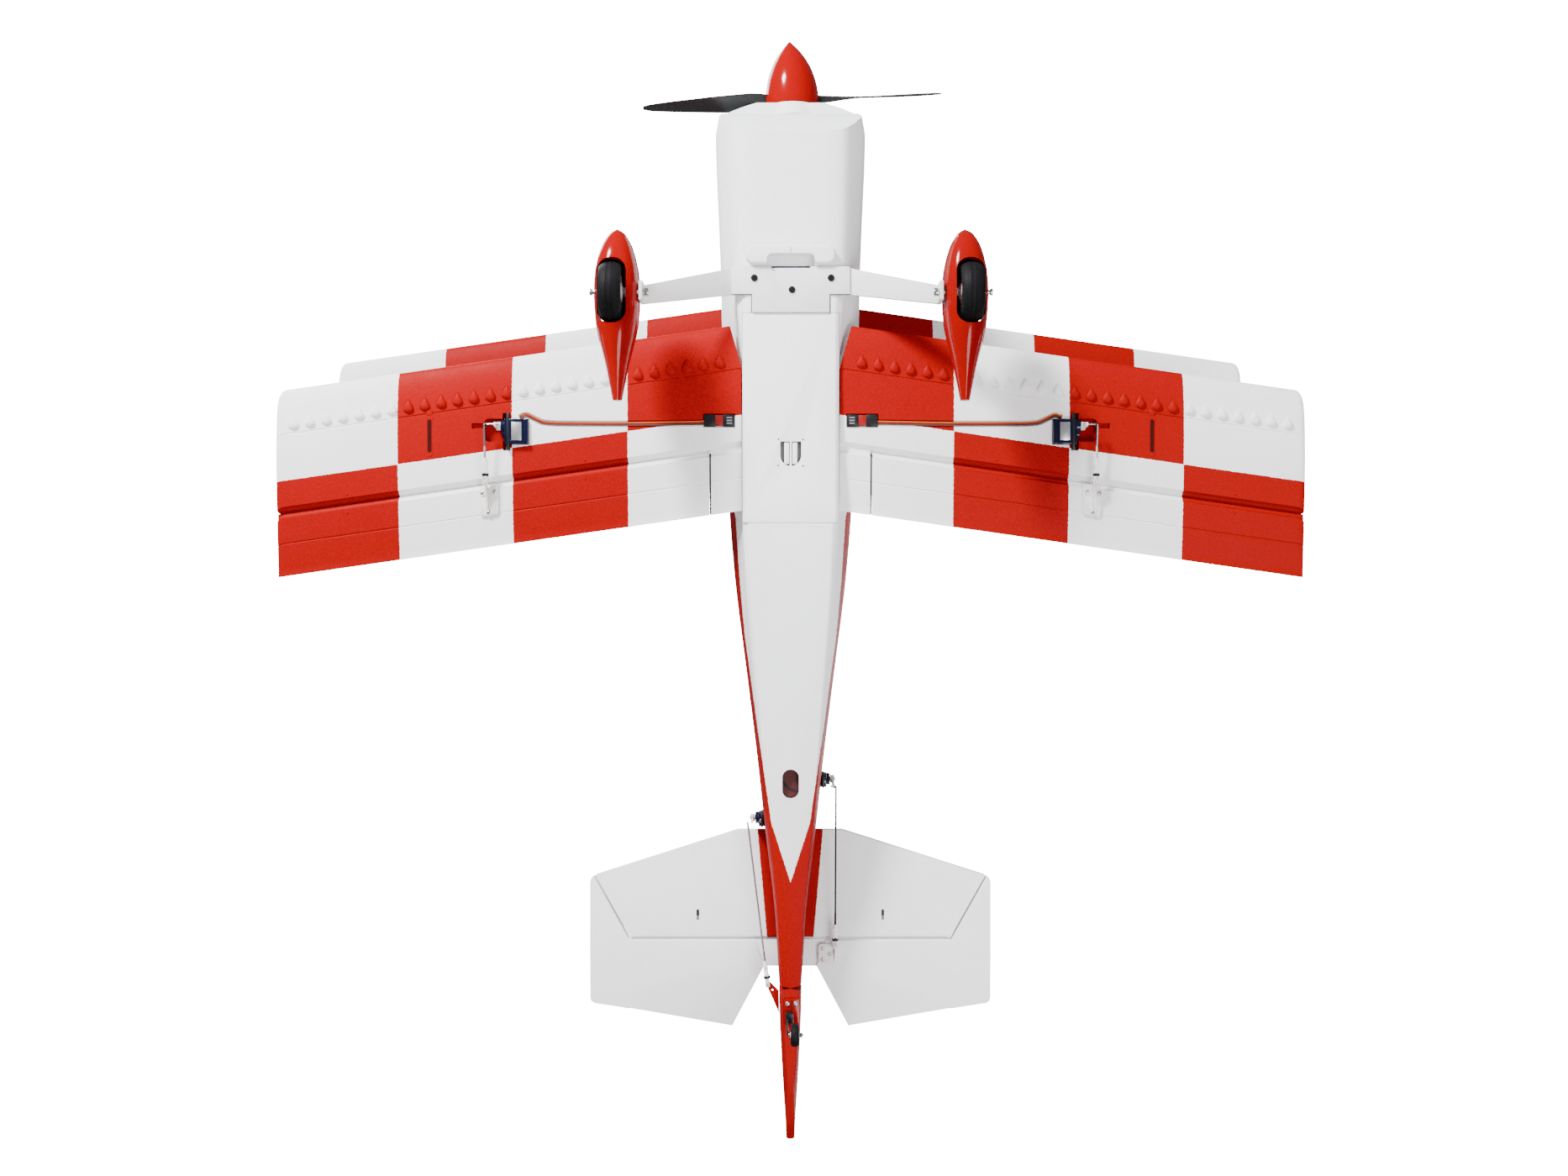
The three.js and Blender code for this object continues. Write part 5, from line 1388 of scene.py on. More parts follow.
class FuselageMaker:
    """The foam shell with its fin, scoop, belly pan, hatch, canopy and cowl."""

    def fin(self) -> Part:
        """The fin, with a round leading edge and the hinge's bevel to come."""
        rings = []
        for z, grow in (
            (100, 0.0), (140, 0.0), (180, 0.0), (215, 0.0), (222, 0.6), (224.3, 2.4), (225, 4.2),
        ):
            front = 212 + (z - 105) * (345 - 212) / 120 + grow
            half = BODY.fin_half - grow * 0.35
            side = [(0.0, 0.0), (1.2, 0.38), (3.6, 0.66), (8.0, 0.87), (16.0, 1.0)]
            line = [(half * s, front + back) for back, s in side] + [(half, 386.0)]
            mirror = [(-x, y) for x, y in reversed(line[1:])]
            rings.append([(x, y, z) for x, y in [*line, *mirror]])
        return BENCH.loft("fin", rings)

    def scoop(self) -> Part:
        """The rounded block ahead of the gear cover."""
        half = BODY.scoop_half
        outline = rounded_rectangle((-half, BODY.scoop_front), (half, BODY.scoop_rear), 8.5, 8)
        block = BENCH.prism("scoop", outline, Along.Z, BODY.scoop_low, -8)
        return BENCH.bevel(block, 2.8, 4, 60)

    def dorsal(self) -> Part:
        """The low fairing from the hatch to the fin's foot."""
        rings = []
        for y, wide, rise in (
            (96, 3, 0.5), (130, 7, 4), (170, 8, 9), (205, 7.5, 14), (240, 6, 22), (268, 5, 30),
        ):
            base = HULL.at(y).high - 5
            rings.append([
                (wide * math.cos(a) * 1.2, y, base + (rise + 5) * math.sin(a) ** 0.8)
                for a in [math.pi * k / 14 for k in range(15)]
            ])
        return BENCH.loft("dorsal", rings)

    def shell(self) -> Part:
        """The outer hull less its cavity."""
        outer = HULL.solid("fuselage", BODY.nose_y, BODY.end_y)
        outer = BENCH.boolean(outer, Cut.AWAY, self.chin())
        inner = HULL.solid("cavity", BODY.firewall_y + 4, 225, BODY.wall, 40)
        return BENCH.boolean(outer, Cut.AWAY, BENCH.boolean(inner, Cut.AWAY, self.chin(11)))

    def cutters(self) -> list[Part]:
        """Everything that is let into the foam."""
        top = HULL.at(BODY.hatch_start).high
        start, end, half = BODY.hatch_start, BODY.hatch_end, BODY.hatch_half
        front = HULL.solid("front", BODY.nose_y - 0.02, BODY.firewall_y, BODY.wall, 6)
        tools = [
            BENCH.boolean(front, Cut.AWAY, self.chin(9)),
            BENCH.box("hatch_cut", (-half, start, 90), (half, end, top + 20)),
            BENCH.prism("pan_bay", pan_outline(BODY.gap), Along.Z, -30, BODY.pan_top + BODY.gap),
            BENCH.box("wing_bay", (-60, -203, -30), (60, BODY.pan_end + BODY.gap, BODY.pan_top + BODY.gap)),
            BENCH.box("elevator_notch", (-40, 345.2, 76.5), (40, 393.8, 113.5)),
            BENCH.prism("stab_slot", mirrored_outline(stab_half(0.3, 347)), Along.Z, 89.7, 100.3),
            BENCH.prism("window", rounded_rectangle((-7.8, 170), (7.8, 198), 7.7, 10), Along.Z, -10, 40),
            BENCH.box("cover_tab", (-36, -269.5, -25), (36, BODY.pan_start + 1, BODY.cover_high + 0.3)),
            BENCH.prism("recess", rounded_rectangle((-22, -306), (22, -288), 5.5), Along.Z, -25, -10),
            POCKET.build("left_pocket", 20, ELEVATOR_PLACE),
            POCKET.build("right_pocket", 20, RUDDER_PLACE),
            BENCH.prism("rudder_vee", rudder_vee(-1), Along.Z, 30, 235),
        ]
        up = BODY.cover_high + 3.3
        bay = [(-75, -25), (75, -25), (75, up + 6), (56, up), (-56, up), (-75, up + 6)]
        tools.append(BENCH.prism("gear_bay", bay, Along.Y, -295.3, -268.9))
        for side in (PORT, STARBOARD):
            x = side * 38
            low, high = (x - 1.8, UPPER.nose + 80, 100.2), (x + 1.8, UPPER.nose + 136, 136.5)
            tools.append(BENCH.box("cabane_slot", low, high))
        return tools

    def chin(self, up: float = 0.0) -> Part:
        """The slanted cut that lifts the underside of the nose; up is for the hollow behind it."""
        curve = [(-420.5, -11.5), (-428, -3.0), (-437, 9.0), (-445, 21.0), (-450, 31.0), (-452.5, 39.0)]
        slope = [*curve, (-475, 41), (-475, -60), (-420.5, -60)]
        return BENCH.prism("chin", [(y, z + up) for y, z in slope], Along.X, -90, 90)

    def window_painted_shade_plate(self) -> Part:
        """A dark red plate behind the belly window, with a wire across it: the hollow's red, darkened as
        painted shade.
        """
        floor_ = BENCH.prism(
            "window_painted_shade_plate", rounded_rectangle((-8.4, 169.4), (8.4, 198.6), 8.3, 10), Along.Z, 21.5, 22.3,
        )
        wire = BENCH.tube(
            "wire", [(-8.0, 180, 21.0), (-4.5, 186, 20.6), (1.0, 190, 20.8), (8.0, 190.5, 21.0)], 0.7,
        )
        parts = [BENCH.dress(floor_, Skin.RECESS_SHADE), BENCH.dress(wire, Skin.BLACK)]
        return BENCH.group("window_painted_shade_plate", *parts)

    def seam_lines(self) -> list[Part]:
        """The mould's parting line under the scoop."""
        line = BENCH.box("nose_seam", (-0.3, -311.4, -23.1), (0.3, -306.4, -22.4))
        return [BENCH.dress(line, Skin.SEAM)]

    def build_shell(self) -> None:
        """The fuselage, ready to be shown."""
        body = BENCH.boolean(self.shell(), Cut.JOIN, self.fin(), self.dorsal(), self.scoop())
        body = BENCH.boolean(body, Cut.AWAY, *self.cutters())
        BENCH.dress(body, Skin.FUSELAGE)
        BENCH.deliver(self.window_painted_shade_plate(), "airframe", "foam_red")
        BENCH.deliver(body, "airframe", "foam_white", "fuselage", smooth=28)
        seams = BENCH.group("scoop_seams", *self.seam_lines())
        BENCH.deliver(seams, "airframe", "foam_white")
        ring = rounded_rectangle((-8.6, 169.2), (8.6, 198.8), 8.5, 10)
        hole = rounded_rectangle((-7.8, 170), (7.8, 198), 7.7, 10)
        frame_ = BENCH.prism("window_rim", ring, Along.Z, 10.0, 24.0)
        frame_ = BENCH.boolean(frame_, Cut.AWAY, BENCH.prism("hole", hole, Along.Z, 0, 40))
        skin = HULL.solid("skin", 160, 208, -0.25, 8)
        frame_ = BENCH.dress(BENCH.boolean(frame_, Cut.SHARE, skin), Skin.FUSELAGE)
        BENCH.deliver(frame_, "airframe", "foam_white")

    def build_hatch(self) -> None:
        """The lift-off hatch with its canopy, frame and latch."""
        start, end, half, gap = BODY.hatch_start, BODY.hatch_end, BODY.hatch_half, BODY.gap
        body = HULL.solid("hatch", start + gap, end - gap, 0.0, 12)
        under = HULL.solid("under", start - 5, end + 5, BODY.wall, 14)
        fill = BENCH.box("fill", (-half + gap, start, 90.3), (half - gap, end, 140))
        body = BENCH.boolean(body, Cut.AWAY, under)
        body = BENCH.boolean(body, Cut.SHARE, fill)
        BENCH.dress(body, Skin.FOAM_RED)
        latch = BENCH.box("latch", (-5, 66, HULL.at(70).high - 1.5), (5, 78, HULL.at(70).high + 1.2), 1.0)
        body = BENCH.group("hatch", body, BENCH.dress(latch, Skin.BLACK))
        BENCH.deliver(body, "hatch", "foam_red", "hatch")
        canopy = BENCH.loft("canopy", [self.canopy_ring(share) for share in self.canopy_shares()])
        lining = BENCH.loft("lining", [self.canopy_ring(share, 1.6) for share in self.canopy_shares()])
        lining.data.transform(Matrix.Translation((0, 1, -1)))
        seat = HULL.solid("seat", start, end, -0.3, 12)
        canopy = BENCH.boolean(canopy, Cut.AWAY, lining, seat)
        BENCH.dress(canopy, Skin.TINT)
        rails = []
        for at in (0.26, 0.62):
            ring = self.canopy_ring(at)[1:-1]
            kept = [p for p in ring if p[2] > HULL.at(p[1]).high - 3]
            rails.append(BENCH.dress(BENCH.tube("rail", kept, 1.0), Skin.FOAM_WHITE))
        group = BENCH.group("canopy", canopy, *rails)
        BENCH.deliver(group, "hatch", "canopy_tint", "canopy", smooth=50)

    def canopy_shares(self) -> list[float]:
        """Places along the canopy, from its front to its rear."""
        return [0.0, 0.015, 0.05, 0.1, 0.17, 0.26, 0.36, 0.48, 0.6, 0.72, 0.83, 0.92, 0.97, 1.0]

    def canopy_ring(self, at: float, wall: float = 0.0) -> list[Point]:
        """One hoop of the canopy."""
        knots = (
            (0.0, 0.30), (0.05, 0.52), (0.12, 0.7), (0.3, 0.94), (0.48, 1.0), (0.75, 0.85), (1.0, 0.42)
        )
        share = ladder(knots, at)
        y = -112 + at * 164
        points = []
        for step in range(21):
            a = math.pi * step / 20
            rise = (68 * share - wall) * max(0.0, math.sin(a)) ** 0.8
            points.append(((29 * share - wall) * math.cos(a), y, 100 + rise))
        return points

    def build_pan(self) -> None:
        """The belly pan under the lower wing, with its air outlet."""
        low, radius = BODY.pan_low, BODY.outlet_radius
        tray = BENCH.prism("belly_pan", pan_outline(0), Along.Z, low, BODY.pan_top)
        hollow = BENCH.prism("hollow", pan_outline(0, 3), Along.Z, low + 3, BODY.pan_top + 5)
        round_end = arc((0, BODY.outlet_centre), radius, 0, 180, 18)
        outlet = [(radius, BODY.outlet_front), *round_end, (-radius, BODY.outlet_front)]
        hole = BENCH.prism("outlet", outlet, Along.Z, -30, -5)
        hole = BENCH.boolean(hole, Cut.AWAY, BENCH.box("rib", (-1, -140, -40), (1, -100, 0)))
        bore = BENCH.rod("bore", (-210, -188.3, 0), (210, -188.3, 0), 5.3, 32)
        tray = BENCH.boolean(tray, Cut.AWAY, hollow, hole, bore)
        for side in (PORT, STARBOARD):
            x = side * (WING.root_x - 0.9)
            wedge = [(x + side * 2, low - 1), (x + side * 2, low + 4.2), (x - side * 5, low - 1)]
            tray = BENCH.boolean(tray, Cut.AWAY, BENCH.prism("chine", wedge, Along.Y, -258, -55))
        tray = BENCH.bevel(tray, 0.5, 2, 35)
        BENCH.dress(tray, Skin.FOAM_WHITE)
        # The grey plate inside the outlet is painted shade of the hollow behind it.
        floor_ = BENCH.box("outlet_painted_shade_floor", (-10.4, -135.4, -10.4), (10.4, -111.1, -9.6))
        parts = [tray, BENCH.dress(floor_, Skin.SEAM)]
        for x in (-3.8, 3.8):
            step = BENCH.box("outlet_step", (x - 2.2, -133.5, -15.6), (x + 2.2, -114, -9.8), 0.5)
            parts.append(BENCH.dress(step, Skin.FOAM_WHITE))
        for x, y in ((-11.2, -136.4), (-11.6, -112.4), (11.4, -136.2), (11.4, -112.0)):
            dot = BENCH.rod("outlet_pin", (x, y, low - 0.25), (x, y, low + 1.5), 0.75, 12)
            parts.append(BENCH.dress(dot, Skin.BLACK))
        group = BENCH.group("belly_pan", *parts)
        BENCH.deliver(group, "airframe", "foam_white", "belly_pan")

    def build_cover(self) -> None:
        """The gear cover: a white plate with a seam round it and three screws."""
        low, high = BODY.cover_low, BODY.cover_high
        half = [(0, -294.7), (54, -294.7), (54, -269.5), (35.5, -269.5), (35.5, -252.8), (0, -252.8)]
        plate = BENCH.prism("gear_cover", mirrored_outline(half), Along.Z, low, high)
        notch = BENCH.prism("notch", rounded_rectangle((-18, -320), (18, -290), 4), Along.Z, -30, 0)
        plate = BENCH.boolean(plate, Cut.AWAY, notch)
        plate = BENCH.bevel(plate, 0.5, 2, 50)
        parts = [BENCH.dress(plate, Skin.WHITE)]
        for x, y in ((-33.3, -284.0), (37.0, -284.0), (1.2, -273.2)):
            parts += self.screw(x, y, low)
        group = BENCH.group("gear_cover", *parts)
        BENCH.deliver(group, "airframe", "white_plastic", "gear_cover")
        seams = []
        for side in (PORT, STARBOARD):
            inner, outer = side * 36.0, side * 54.6
            route = [(inner, -252.6, low + 1.6), (inner, -269.0, low + 1.6), (outer, -269.0, low + 1.6)]
            seams.append(BENCH.tube("cover_seam", route, 0.45, smooth=False))
        ring = BENCH.group("cover_seams", *[BENCH.dress(s, Skin.SEAM) for s in seams])
        BENCH.deliver(ring, "airframe", "white_plastic")

    def screw(self, x: float, y: float, z: float) -> list[Part]:
        """A black screw in a small raised ring, with a cross in its head."""
        rim = BENCH.lathe(
            "rim", [(3.4, 0.4), (3.4, -0.35), (4.2, -0.35), (4.6, 0.4)], (x, y, z), (0, 0, 1), 28, True,
        )
        profile = [(0.0, 0.6), (3.1, 0.6), (3.1, -0.9), (2.5, -1.4), (0.0, -1.5)]
        head = BENCH.lathe("head", profile, (x, y, z), (0, 0, 1), 24)
        cross = [
            BENCH.box("cut", (x - a, y - b, z - 3), (x + a, y + b, z - 1.0))
            for a, b in ((1.7, 0.35), (0.35, 1.7))
        ]
        head = BENCH.boolean(head, Cut.AWAY, *cross)
        return [BENCH.dress(rim, Skin.WHITE), BENCH.dress(head, Skin.BLACK)]

    def build_cowl(self) -> None:
        """The round-lipped nose ring."""
        base = HULL.at(BODY.nose_y)
        back = BODY.nose_y - BODY.gap
        face = back - BODY.cowl_length
        x0, _, z0 = BODY.thrust

        def ring(y: float, shrink: float, wall: float) -> list[Point]:
            """The nose's outline at y, smaller by shrink."""
            return [(x, y, z) for x, _, z in HULL.ring(base, wall, shrink)]

        curl = (
            (0, 37), (1.2, 33), (3, 27.5), (5.4, 20.5), (8, 14), (10.5, 8.8), (13, 4.6), (15, 2), (17, 0.2)
        )
        outer = BENCH.loft("cowl", [ring(face + a, s, 0) for a, s in curl])
        inner = BENCH.loft("inner", [ring(face + 4, 36, 0), ring(face + 10, 19, 0), ring(back + 1, 5, 0)])
        throat = BENCH.rod("throat", (x0, face - 5, z0), (x0, face + 12, z0), BODY.throat_radius, 64)
        outer = BENCH.boolean(outer, Cut.AWAY, self.chin())
        inner = BENCH.boolean(inner, Cut.AWAY, self.chin(8))
        cowl = BENCH.boolean(outer, Cut.AWAY, inner, throat)
        profile = [
            (BODY.throat_radius, -451),
            (BODY.throat_radius, -464.2),
            (26.8, -464.3),
            (27.6, -463.8),
            (28.2, -459),
            (30.2, -455.5),
            (33, -451),
        ]
        collar = BENCH.lathe("collar", profile, (x0, 0, z0), (0, 1, 0), 64, True)
        lip = BENCH.dress(collar, Skin.FOAM_WHITE)
        BENCH.dress(cowl, Skin.FOAM_WHITE)
        cowl = BENCH.group("cowl", cowl, lip)
        BENCH.deliver(cowl, "airframe", "foam_white", "cowl")

    def build(self) -> None:
        """All of the fuselage."""
        self.build_shell()
        self.build_hatch()
        self.build_pan()
        self.build_cover()
        self.build_cowl()


FUSELAGE = FuselageMaker()


# ---- Servos, arms, rods and horns ----


@dataclass(frozen=True)
class ServoSizes:
    """A small servo in its own axes: shaft along X, case towards +Y, flange underside at X = 0."""

    depth: float = 17.5
    head: float = 8.0
    hub: float = 4.0
    wide: float = 6.0
    ends: tuple[float, float] = (-6.0, 17.0)
    ears: tuple[float, float] = (-11.25, 22.25)
    arm_thick: float = 2.0
    pin: float = 0.8
    slack: float = 0.55
    rod: float = 0.9
    horn_thick: float = 1.2
    clevis: float = 5.0


@dataclass(frozen=True)
class AileronDrive:
    """Where the aileron servos, their rods and their leads lie, on the port side."""

    x: float = 259.0
    y: float = -149.5
    z: float = -7.2
    arm: float = 16.0
    rod_x: float = 280.0
    lead_z: float = -7.5
    lead_radius: float = 0.62
    lead_pitch: float = 1.3
    plug: tuple[float, float] = (52.0, 80.0)

    @property
    def place(self) -> Matrix:
        """The servo's place."""
        return Matrix.Translation((self.x, self.y, self.z))

    def route(self) -> list[tuple[float, float]]:
        """The lead's middle line, from behind the servo to its plug."""
        x, y = self.x, self.y
        return [
            (x - 9, y - 7.6),
            (x - 15, y - 10),
            (x - 22, y - 7),
            (x - 32, y - 3),
            (x - 60, y - 2),
            (140, y - 2),
            (self.plug[1] - 1, y - 3),
        ]


def smooth_route(knots: Sequence[tuple[float, float]], steps: int) -> list[tuple[Vector, Vector]]:
    """Points and unit normals along a smooth flat line through knots."""
    out = []
    for i in range(len(knots) - 1):
        p1, p2 = Vector(knots[i]), Vector(knots[i + 1])
        p0 = Vector(knots[i - 1]) if i else p1 * 2 - p2
        p3 = Vector(knots[i + 2]) if i + 2 < len(knots) else p2 * 2 - p1
        stretch = (p2 - p1).length
        m1 = (p2 - p0) / max((p2 - p0).length, 1e-6) * stretch
        m2 = (p3 - p1) / max((p3 - p1).length, 1e-6) * stretch
        for k in range(steps + (i == len(knots) - 2)):
            t = k / steps
            a, b = 2 * t**3 - 3 * t**2 + 1, t**3 - 2 * t**2 + t
            c, d = -2 * t**3 + 3 * t**2, t**3 - t**2
            point = p1 * a + m1 * b + p2 * c + m2 * d
            slope = p1 * (6 * t**2 - 6 * t) + m1 * (3 * t**2 - 4 * t + 1) + p2 * (6 * t - 6 * t**2)
            slope += m2 * (3 * t**2 - 2 * t)
            slope.normalize()
            out.append((point, Vector((-slope.y, slope.x))))
    return out


@dataclass
class TailDrive:
    """Driving sizes of the elevator's and the rudder's linkages; the lean is in degrees."""

    elevator_shaft: Point = (30.3, 186.0, 72.0)
    elevator_arm: float = 16.0
    elevator_rod_x: float = 44.0
    elevator_hinge: Point = (0.0, 346.0, 95.0)
    lean: float = 20.0
    rudder_shaft: Point = (-26.4, 226.0, 86.0)
    rudder_arm: float = 22.0
    rudder_pin: Point = (-22.0, 385.0, 66.0)


class ServoMaker:
    """Builds the four servos with their arms, rods, horns and leads."""

    def __init__(self, sizes: ServoSizes = ServoSizes(), drive: AileronDrive = AileronDrive()) -> None:
        """Takes the servo's and the linkage's sizes."""
        self.sizes = sizes
        self.drive = drive

    def case(self, name: str) -> Part:
        """A servo in its own axes."""
        s = self.sizes
        wide = s.wide
        low = BENCH.box("case", (-s.depth, s.ends[0], -wide), (-13.4, s.ends[1], wide), 0.7)
        waist = BENCH.box(
            "waist", (-13.6, s.ends[0] + 0.35, -wide + 0.35), (-12.9, s.ends[1] - 0.35, wide - 0.35),
        )
        middle = BENCH.box("middle", (-13.1, s.ends[0], -wide), (0.2, s.ends[1], wide), 0.5)
        top = BENCH.box("top", (2.2, s.ends[0], -wide), (4.5, s.ends[1], wide), 0.5)
        dome = [(0.0, 4.0), (5.8, 4.0), (5.8, 7.4), (5.3, 8.0), (0.0, 8.0)]
        gear = BENCH.lathe("gear", dome, (0, 0, 0), (1, 0, 0), 40)
        small = [(0.0, 4.0), (3.4, 4.0), (3.4, 6.8), (3.0, 7.2), (0.0, 7.2)]
        idler = BENCH.lathe("idler", small, (0, 7.4, 0), (1, 0, 0), 28)
        navy = [BENCH.dress(p, Skin.NAVY) for p in (low, waist, middle, top, gear, idler)]
        flange = BENCH.box("flange", (0, s.ears[0], -wide), (2.4, s.ears[1], wide), 0.5)
        hardware = []
        for y in (s.ears[0] + 2.4, s.ears[1] - 2.4):
            flange = BENCH.boolean(flange, Cut.AWAY, BENCH.rod("hole", (-1, y, 0), (4, y, 0), 1.1, 20))
            dome = [(0.0, 1.6), (1.9, 1.6), (1.9, 3.0), (1.4, 3.6), (0.0, 3.8)]
            head = BENCH.lathe("screw", dome, (0, y, 0), (1, 0, 0), 20)
            arms = ((1.1, 0.22), (0.22, 1.1))
            cross = [BENCH.box("cut", (3.1, y - a, -b), (5, y + a, b)) for a, b in arms]
            hardware.append(BENCH.dress(BENCH.boolean(head, Cut.AWAY, *cross), Skin.STEEL))
        shaft = BENCH.rod("shaft", (7.5, 0, 0), (11.4, 0, 0), 2.3, 24, bevel=0.3)
        label = BENCH.box("label", (-11.4, -3.2, -wide - 0.12), (-2.2, 13.8, -wide + 0.1), 0.05)
        clasp = BENCH.box(
            "clasp", (-s.depth + 0.2, s.ends[1] - 3.4, -wide - 0.25), (-0.4, s.ends[1] - 0.8, -wide), 0.1,
        )
        for part, skin in (
            (flange, Skin.BLACK), (shaft, Skin.STEEL), (label, Skin.SILVER), (clasp, Skin.NAVY),
        ):
            hardware.append(BENCH.dress(part, skin))
        return BENCH.group(name, *navy, *hardware)

    def arm(self, name: str, radius: float, lean: float) -> Part:
        """A servo arm on the X axis that points down and leans aft, with its holes and hub screw."""
        s = self.sizes
        end = s.head + s.hub
        tip = arc((0.0, -radius), 2.0, 170, 370, 12)
        outline = [(3.5, 1.0), (3.2, -2.0), *[(y, z) for y, z in reversed(tip)], (-3.2, -2.0), (-3.5, 1.0)]
        blade = BENCH.prism("blade", outline, Along.X, end - s.arm_thick, end)
        hub = BENCH.lathe(
            "hub", [
                (0.0, 8.3), (3.9, 8.3), (3.9, end + 0.1), (3.6, end + 0.4), (0.0, end + 0.4),
            ], (0, 0, 0), (1, 0, 0), 32
        )
        part = BENCH.boolean(hub, Cut.JOIN, blade)
        holes = [BENCH.rod("hole", (end - 4, 0, -radius), (end + 2, 0, -radius), s.pin + s.slack, 20)]
        reach = radius - 3.4
        while reach > 5.5:
            holes.append(BENCH.rod("hole", (end - 4, 0, -reach), (end + 2, 0, -reach), 0.6, 14))
            reach -= 2.6
        holes.append(BENCH.rod("bore", (0, 0, 0), (11.6, 0, 0), 2.6, 24))
        part = BENCH.bevel(BENCH.boolean(part, Cut.AWAY, *holes), 0.22, 2, 50)
        BENCH.dress(part, Skin.MILKY)
        head = BENCH.lathe(
            "screw", [
                (0.0, 0.1), (2.0, 0.1), (2.0, 0.7), (1.5, 1.1), (0.0, 1.2),
            ], (end + 0.3, 0, 0), (1, 0, 0), 20
        )
        part = BENCH.group(name, part, BENCH.dress(head, Skin.STEEL))
        return BENCH.moved(part, Matrix.Rotation(lean, 4, "X"))

    def pushrod(self, name: str, length: float, front_pin: float, fork_turn: float, wire: Skin) -> Part:
        """A wire rod with a threaded end and a clevis; its rear pin is at the origin along X.

        Args:
            name: the object's name.
            length: from the front end to the rear pin.
            front_pin: how far the bent front end reaches towards the arm, or 0 for a straight end.
            fork_turn: turn of the clevis about the rod.
            wire: the rod's finish.

        Returns:
            The rod along -Y.
        """
        s = self.sizes
        half = s.clevis / 2
        profile = [(-half, -19), (half, -19), (half, 1.2), (half - 1.2, 3), (-half + 1.2, 3), (-half, 1.2)]
        fork = BENCH.prism("fork", [(x, y) for x, y in profile], Along.Z, -2.1, 2.1)
        slot = BENCH.box("slot", (-1.3, -9, -3), (1.3, 4, 3))
        waist = [BENCH.box("waist", (sx * 3.6 - 1.8, -16, -3), (sx * 3.6 + 1.8, -11, 3)) for sx in (-1, 1)]
        fork = BENCH.bevel(BENCH.boolean(fork, Cut.AWAY, slot, *waist), 0.35, 2, 40)
        pin = BENCH.rod("pin", (-half - 0.5, 0, 0), (half + 0.3, 0, 0), s.pin, 16)
        parts = [BENCH.dress(fork, Skin.MILKY), BENCH.dress(pin, Skin.STEEL)]
        keeper = BENCH.lathe(
            "keeper", [
                (2.55, -1.2), (3.15, -1.2), (3.15, 1.2), (2.55, 1.2),
            ], (0, -7.2, 0), (0, 1, 0), 28, True
        )
        parts.append(BENCH.dress(keeper, Skin.BLACK))
        for part in parts:
            BENCH.moved(part, Matrix.Rotation(fork_turn, 4, "Y"))
        sleeve = BENCH.lathe(
            "sleeve", [
                (0.0, -22.5), (1.7, -22.5), (2.0, -22.0), (2.0, -18.4), (0.0, -18.4),
            ], (0, 0, 0), (0, 1, 0), 20
        )
        parts.append(BENCH.dress(sleeve, Skin.MILKY))
        thread = []
        for k in range(13):
            y = -23.0 - k * 0.8
            thread += [(0.92, y), (1.08, y - 0.4)]
        profile = [(0.0, -22.4), *thread, (0.9, -34.0), (0.0, -34.0)]
        parts.append(BENCH.dress(BENCH.lathe("thread", profile, (0, 0, 0), (0, 1, 0), 14), wire))
        route = [(0, -18.5, 0), (0, -length / 2, 0), (0, -length + 1.2, 0)]
        if front_pin:
            route += [(-0.35, -length + 0.35, 0), (-1.2, -length + 0.05, 0), (-front_pin, -length, 0)]
        rod = BENCH.tube("rod", route, s.rod, smooth=False)
        parts.append(BENCH.dress(rod, wire))
        if front_pin:
            keep = BENCH.lathe(
                "snap", [
                    (0.95, 0.0), (2.0, 0.0), (2.0, 0.9), (0.95, 0.9),
                ], (-1.9, -length, 0), (1, 0, 0), 20, True
            )
            parts.append(BENCH.dress(keep, Skin.BLACK))
        return BENCH.group(name, *parts)

    def between(self, part: Part, front: Sequence[float], rear: Sequence[float]) -> Part:
        """Puts a pushrod's rear pin at rear and its front end at front."""
        aft = (Vector(rear) - Vector(front)).normalized()
        up = Vector((1, 0, 0)).cross(aft).normalized()
        across = aft.cross(up)
        place = Matrix((across, aft, up)).transposed().to_4x4()
        place.translation = Vector(rear)
        return BENCH.moved(part, place)

    def horn_fin(self, radius: float, lean: float, foot: float, x: float) -> Part:
        """A horn's upright fin beside a hinge at the origin, with two more holes."""
        s = self.sizes
        y, z = radius * math.sin(lean), -radius * math.cos(lean)
        nose = arc((y, z), 2.6, 200, 330, 8)
        outline = [(4.5, foot), *nose, (25.0, foot)]
        low, high = x - s.horn_thick / 2, x + s.horn_thick / 2
        fin = BENCH.prism("fin", outline, Along.X, low, high)
        holes = [BENCH.rod("hole", (low - 1, y, z), (high + 1, y, z), s.pin + 0.4, 20)]
        for k in (1, 2):
            a, b = y + 1.3 * k, z + 2.5 * k
            if b < foot - 1.6:
                holes.append(BENCH.rod("hole", (low - 1, a, b), (high + 1, a, b), 0.55, 14))
        fin = BENCH.boolean(fin, Cut.AWAY, *holes)
        rib = [(x - 2.6, 6.0), (x + 2.6, 6.0), (x + 0.4, 23.0), (x - 0.4, 23.0)]
        web = BENCH.prism("rib", rib, Along.Z, foot - 3.0, foot + 0.2)
        return BENCH.dress(BENCH.boolean(fin, Cut.JOIN, web), Skin.MILKY)

    def ring_screw(self, place: Sequence[float], down: Sequence[float]) -> list[Part]:
        """A screw in a raised ring on a horn's plate."""
        ring = BENCH.lathe(
            "ring", [(1.9, -0.3), (1.9, 0.7), (2.6, 0.7), (2.9, -0.3)], place, down, 24, True,
        )
        head = BENCH.lathe(
            "head", [(0.0, -0.3), (1.6, -0.3), (1.6, 0.6), (1.1, 0.95), (0.0, 1.0)], place, down, 20,
        )
        return [BENCH.dress(ring, Skin.MILKY), BENCH.dress(head, Skin.STEEL)]

    def aileron_horn(self) -> Part:
        """The port aileron's horn on its rounded plate."""
        d = self.drive
        y = WING.hinge_y(d.rod_x)
        corners = rounded_rectangle((d.rod_x - 10.3, 2.2), (d.rod_x + 6.8, 30.5), 3.0, 6)

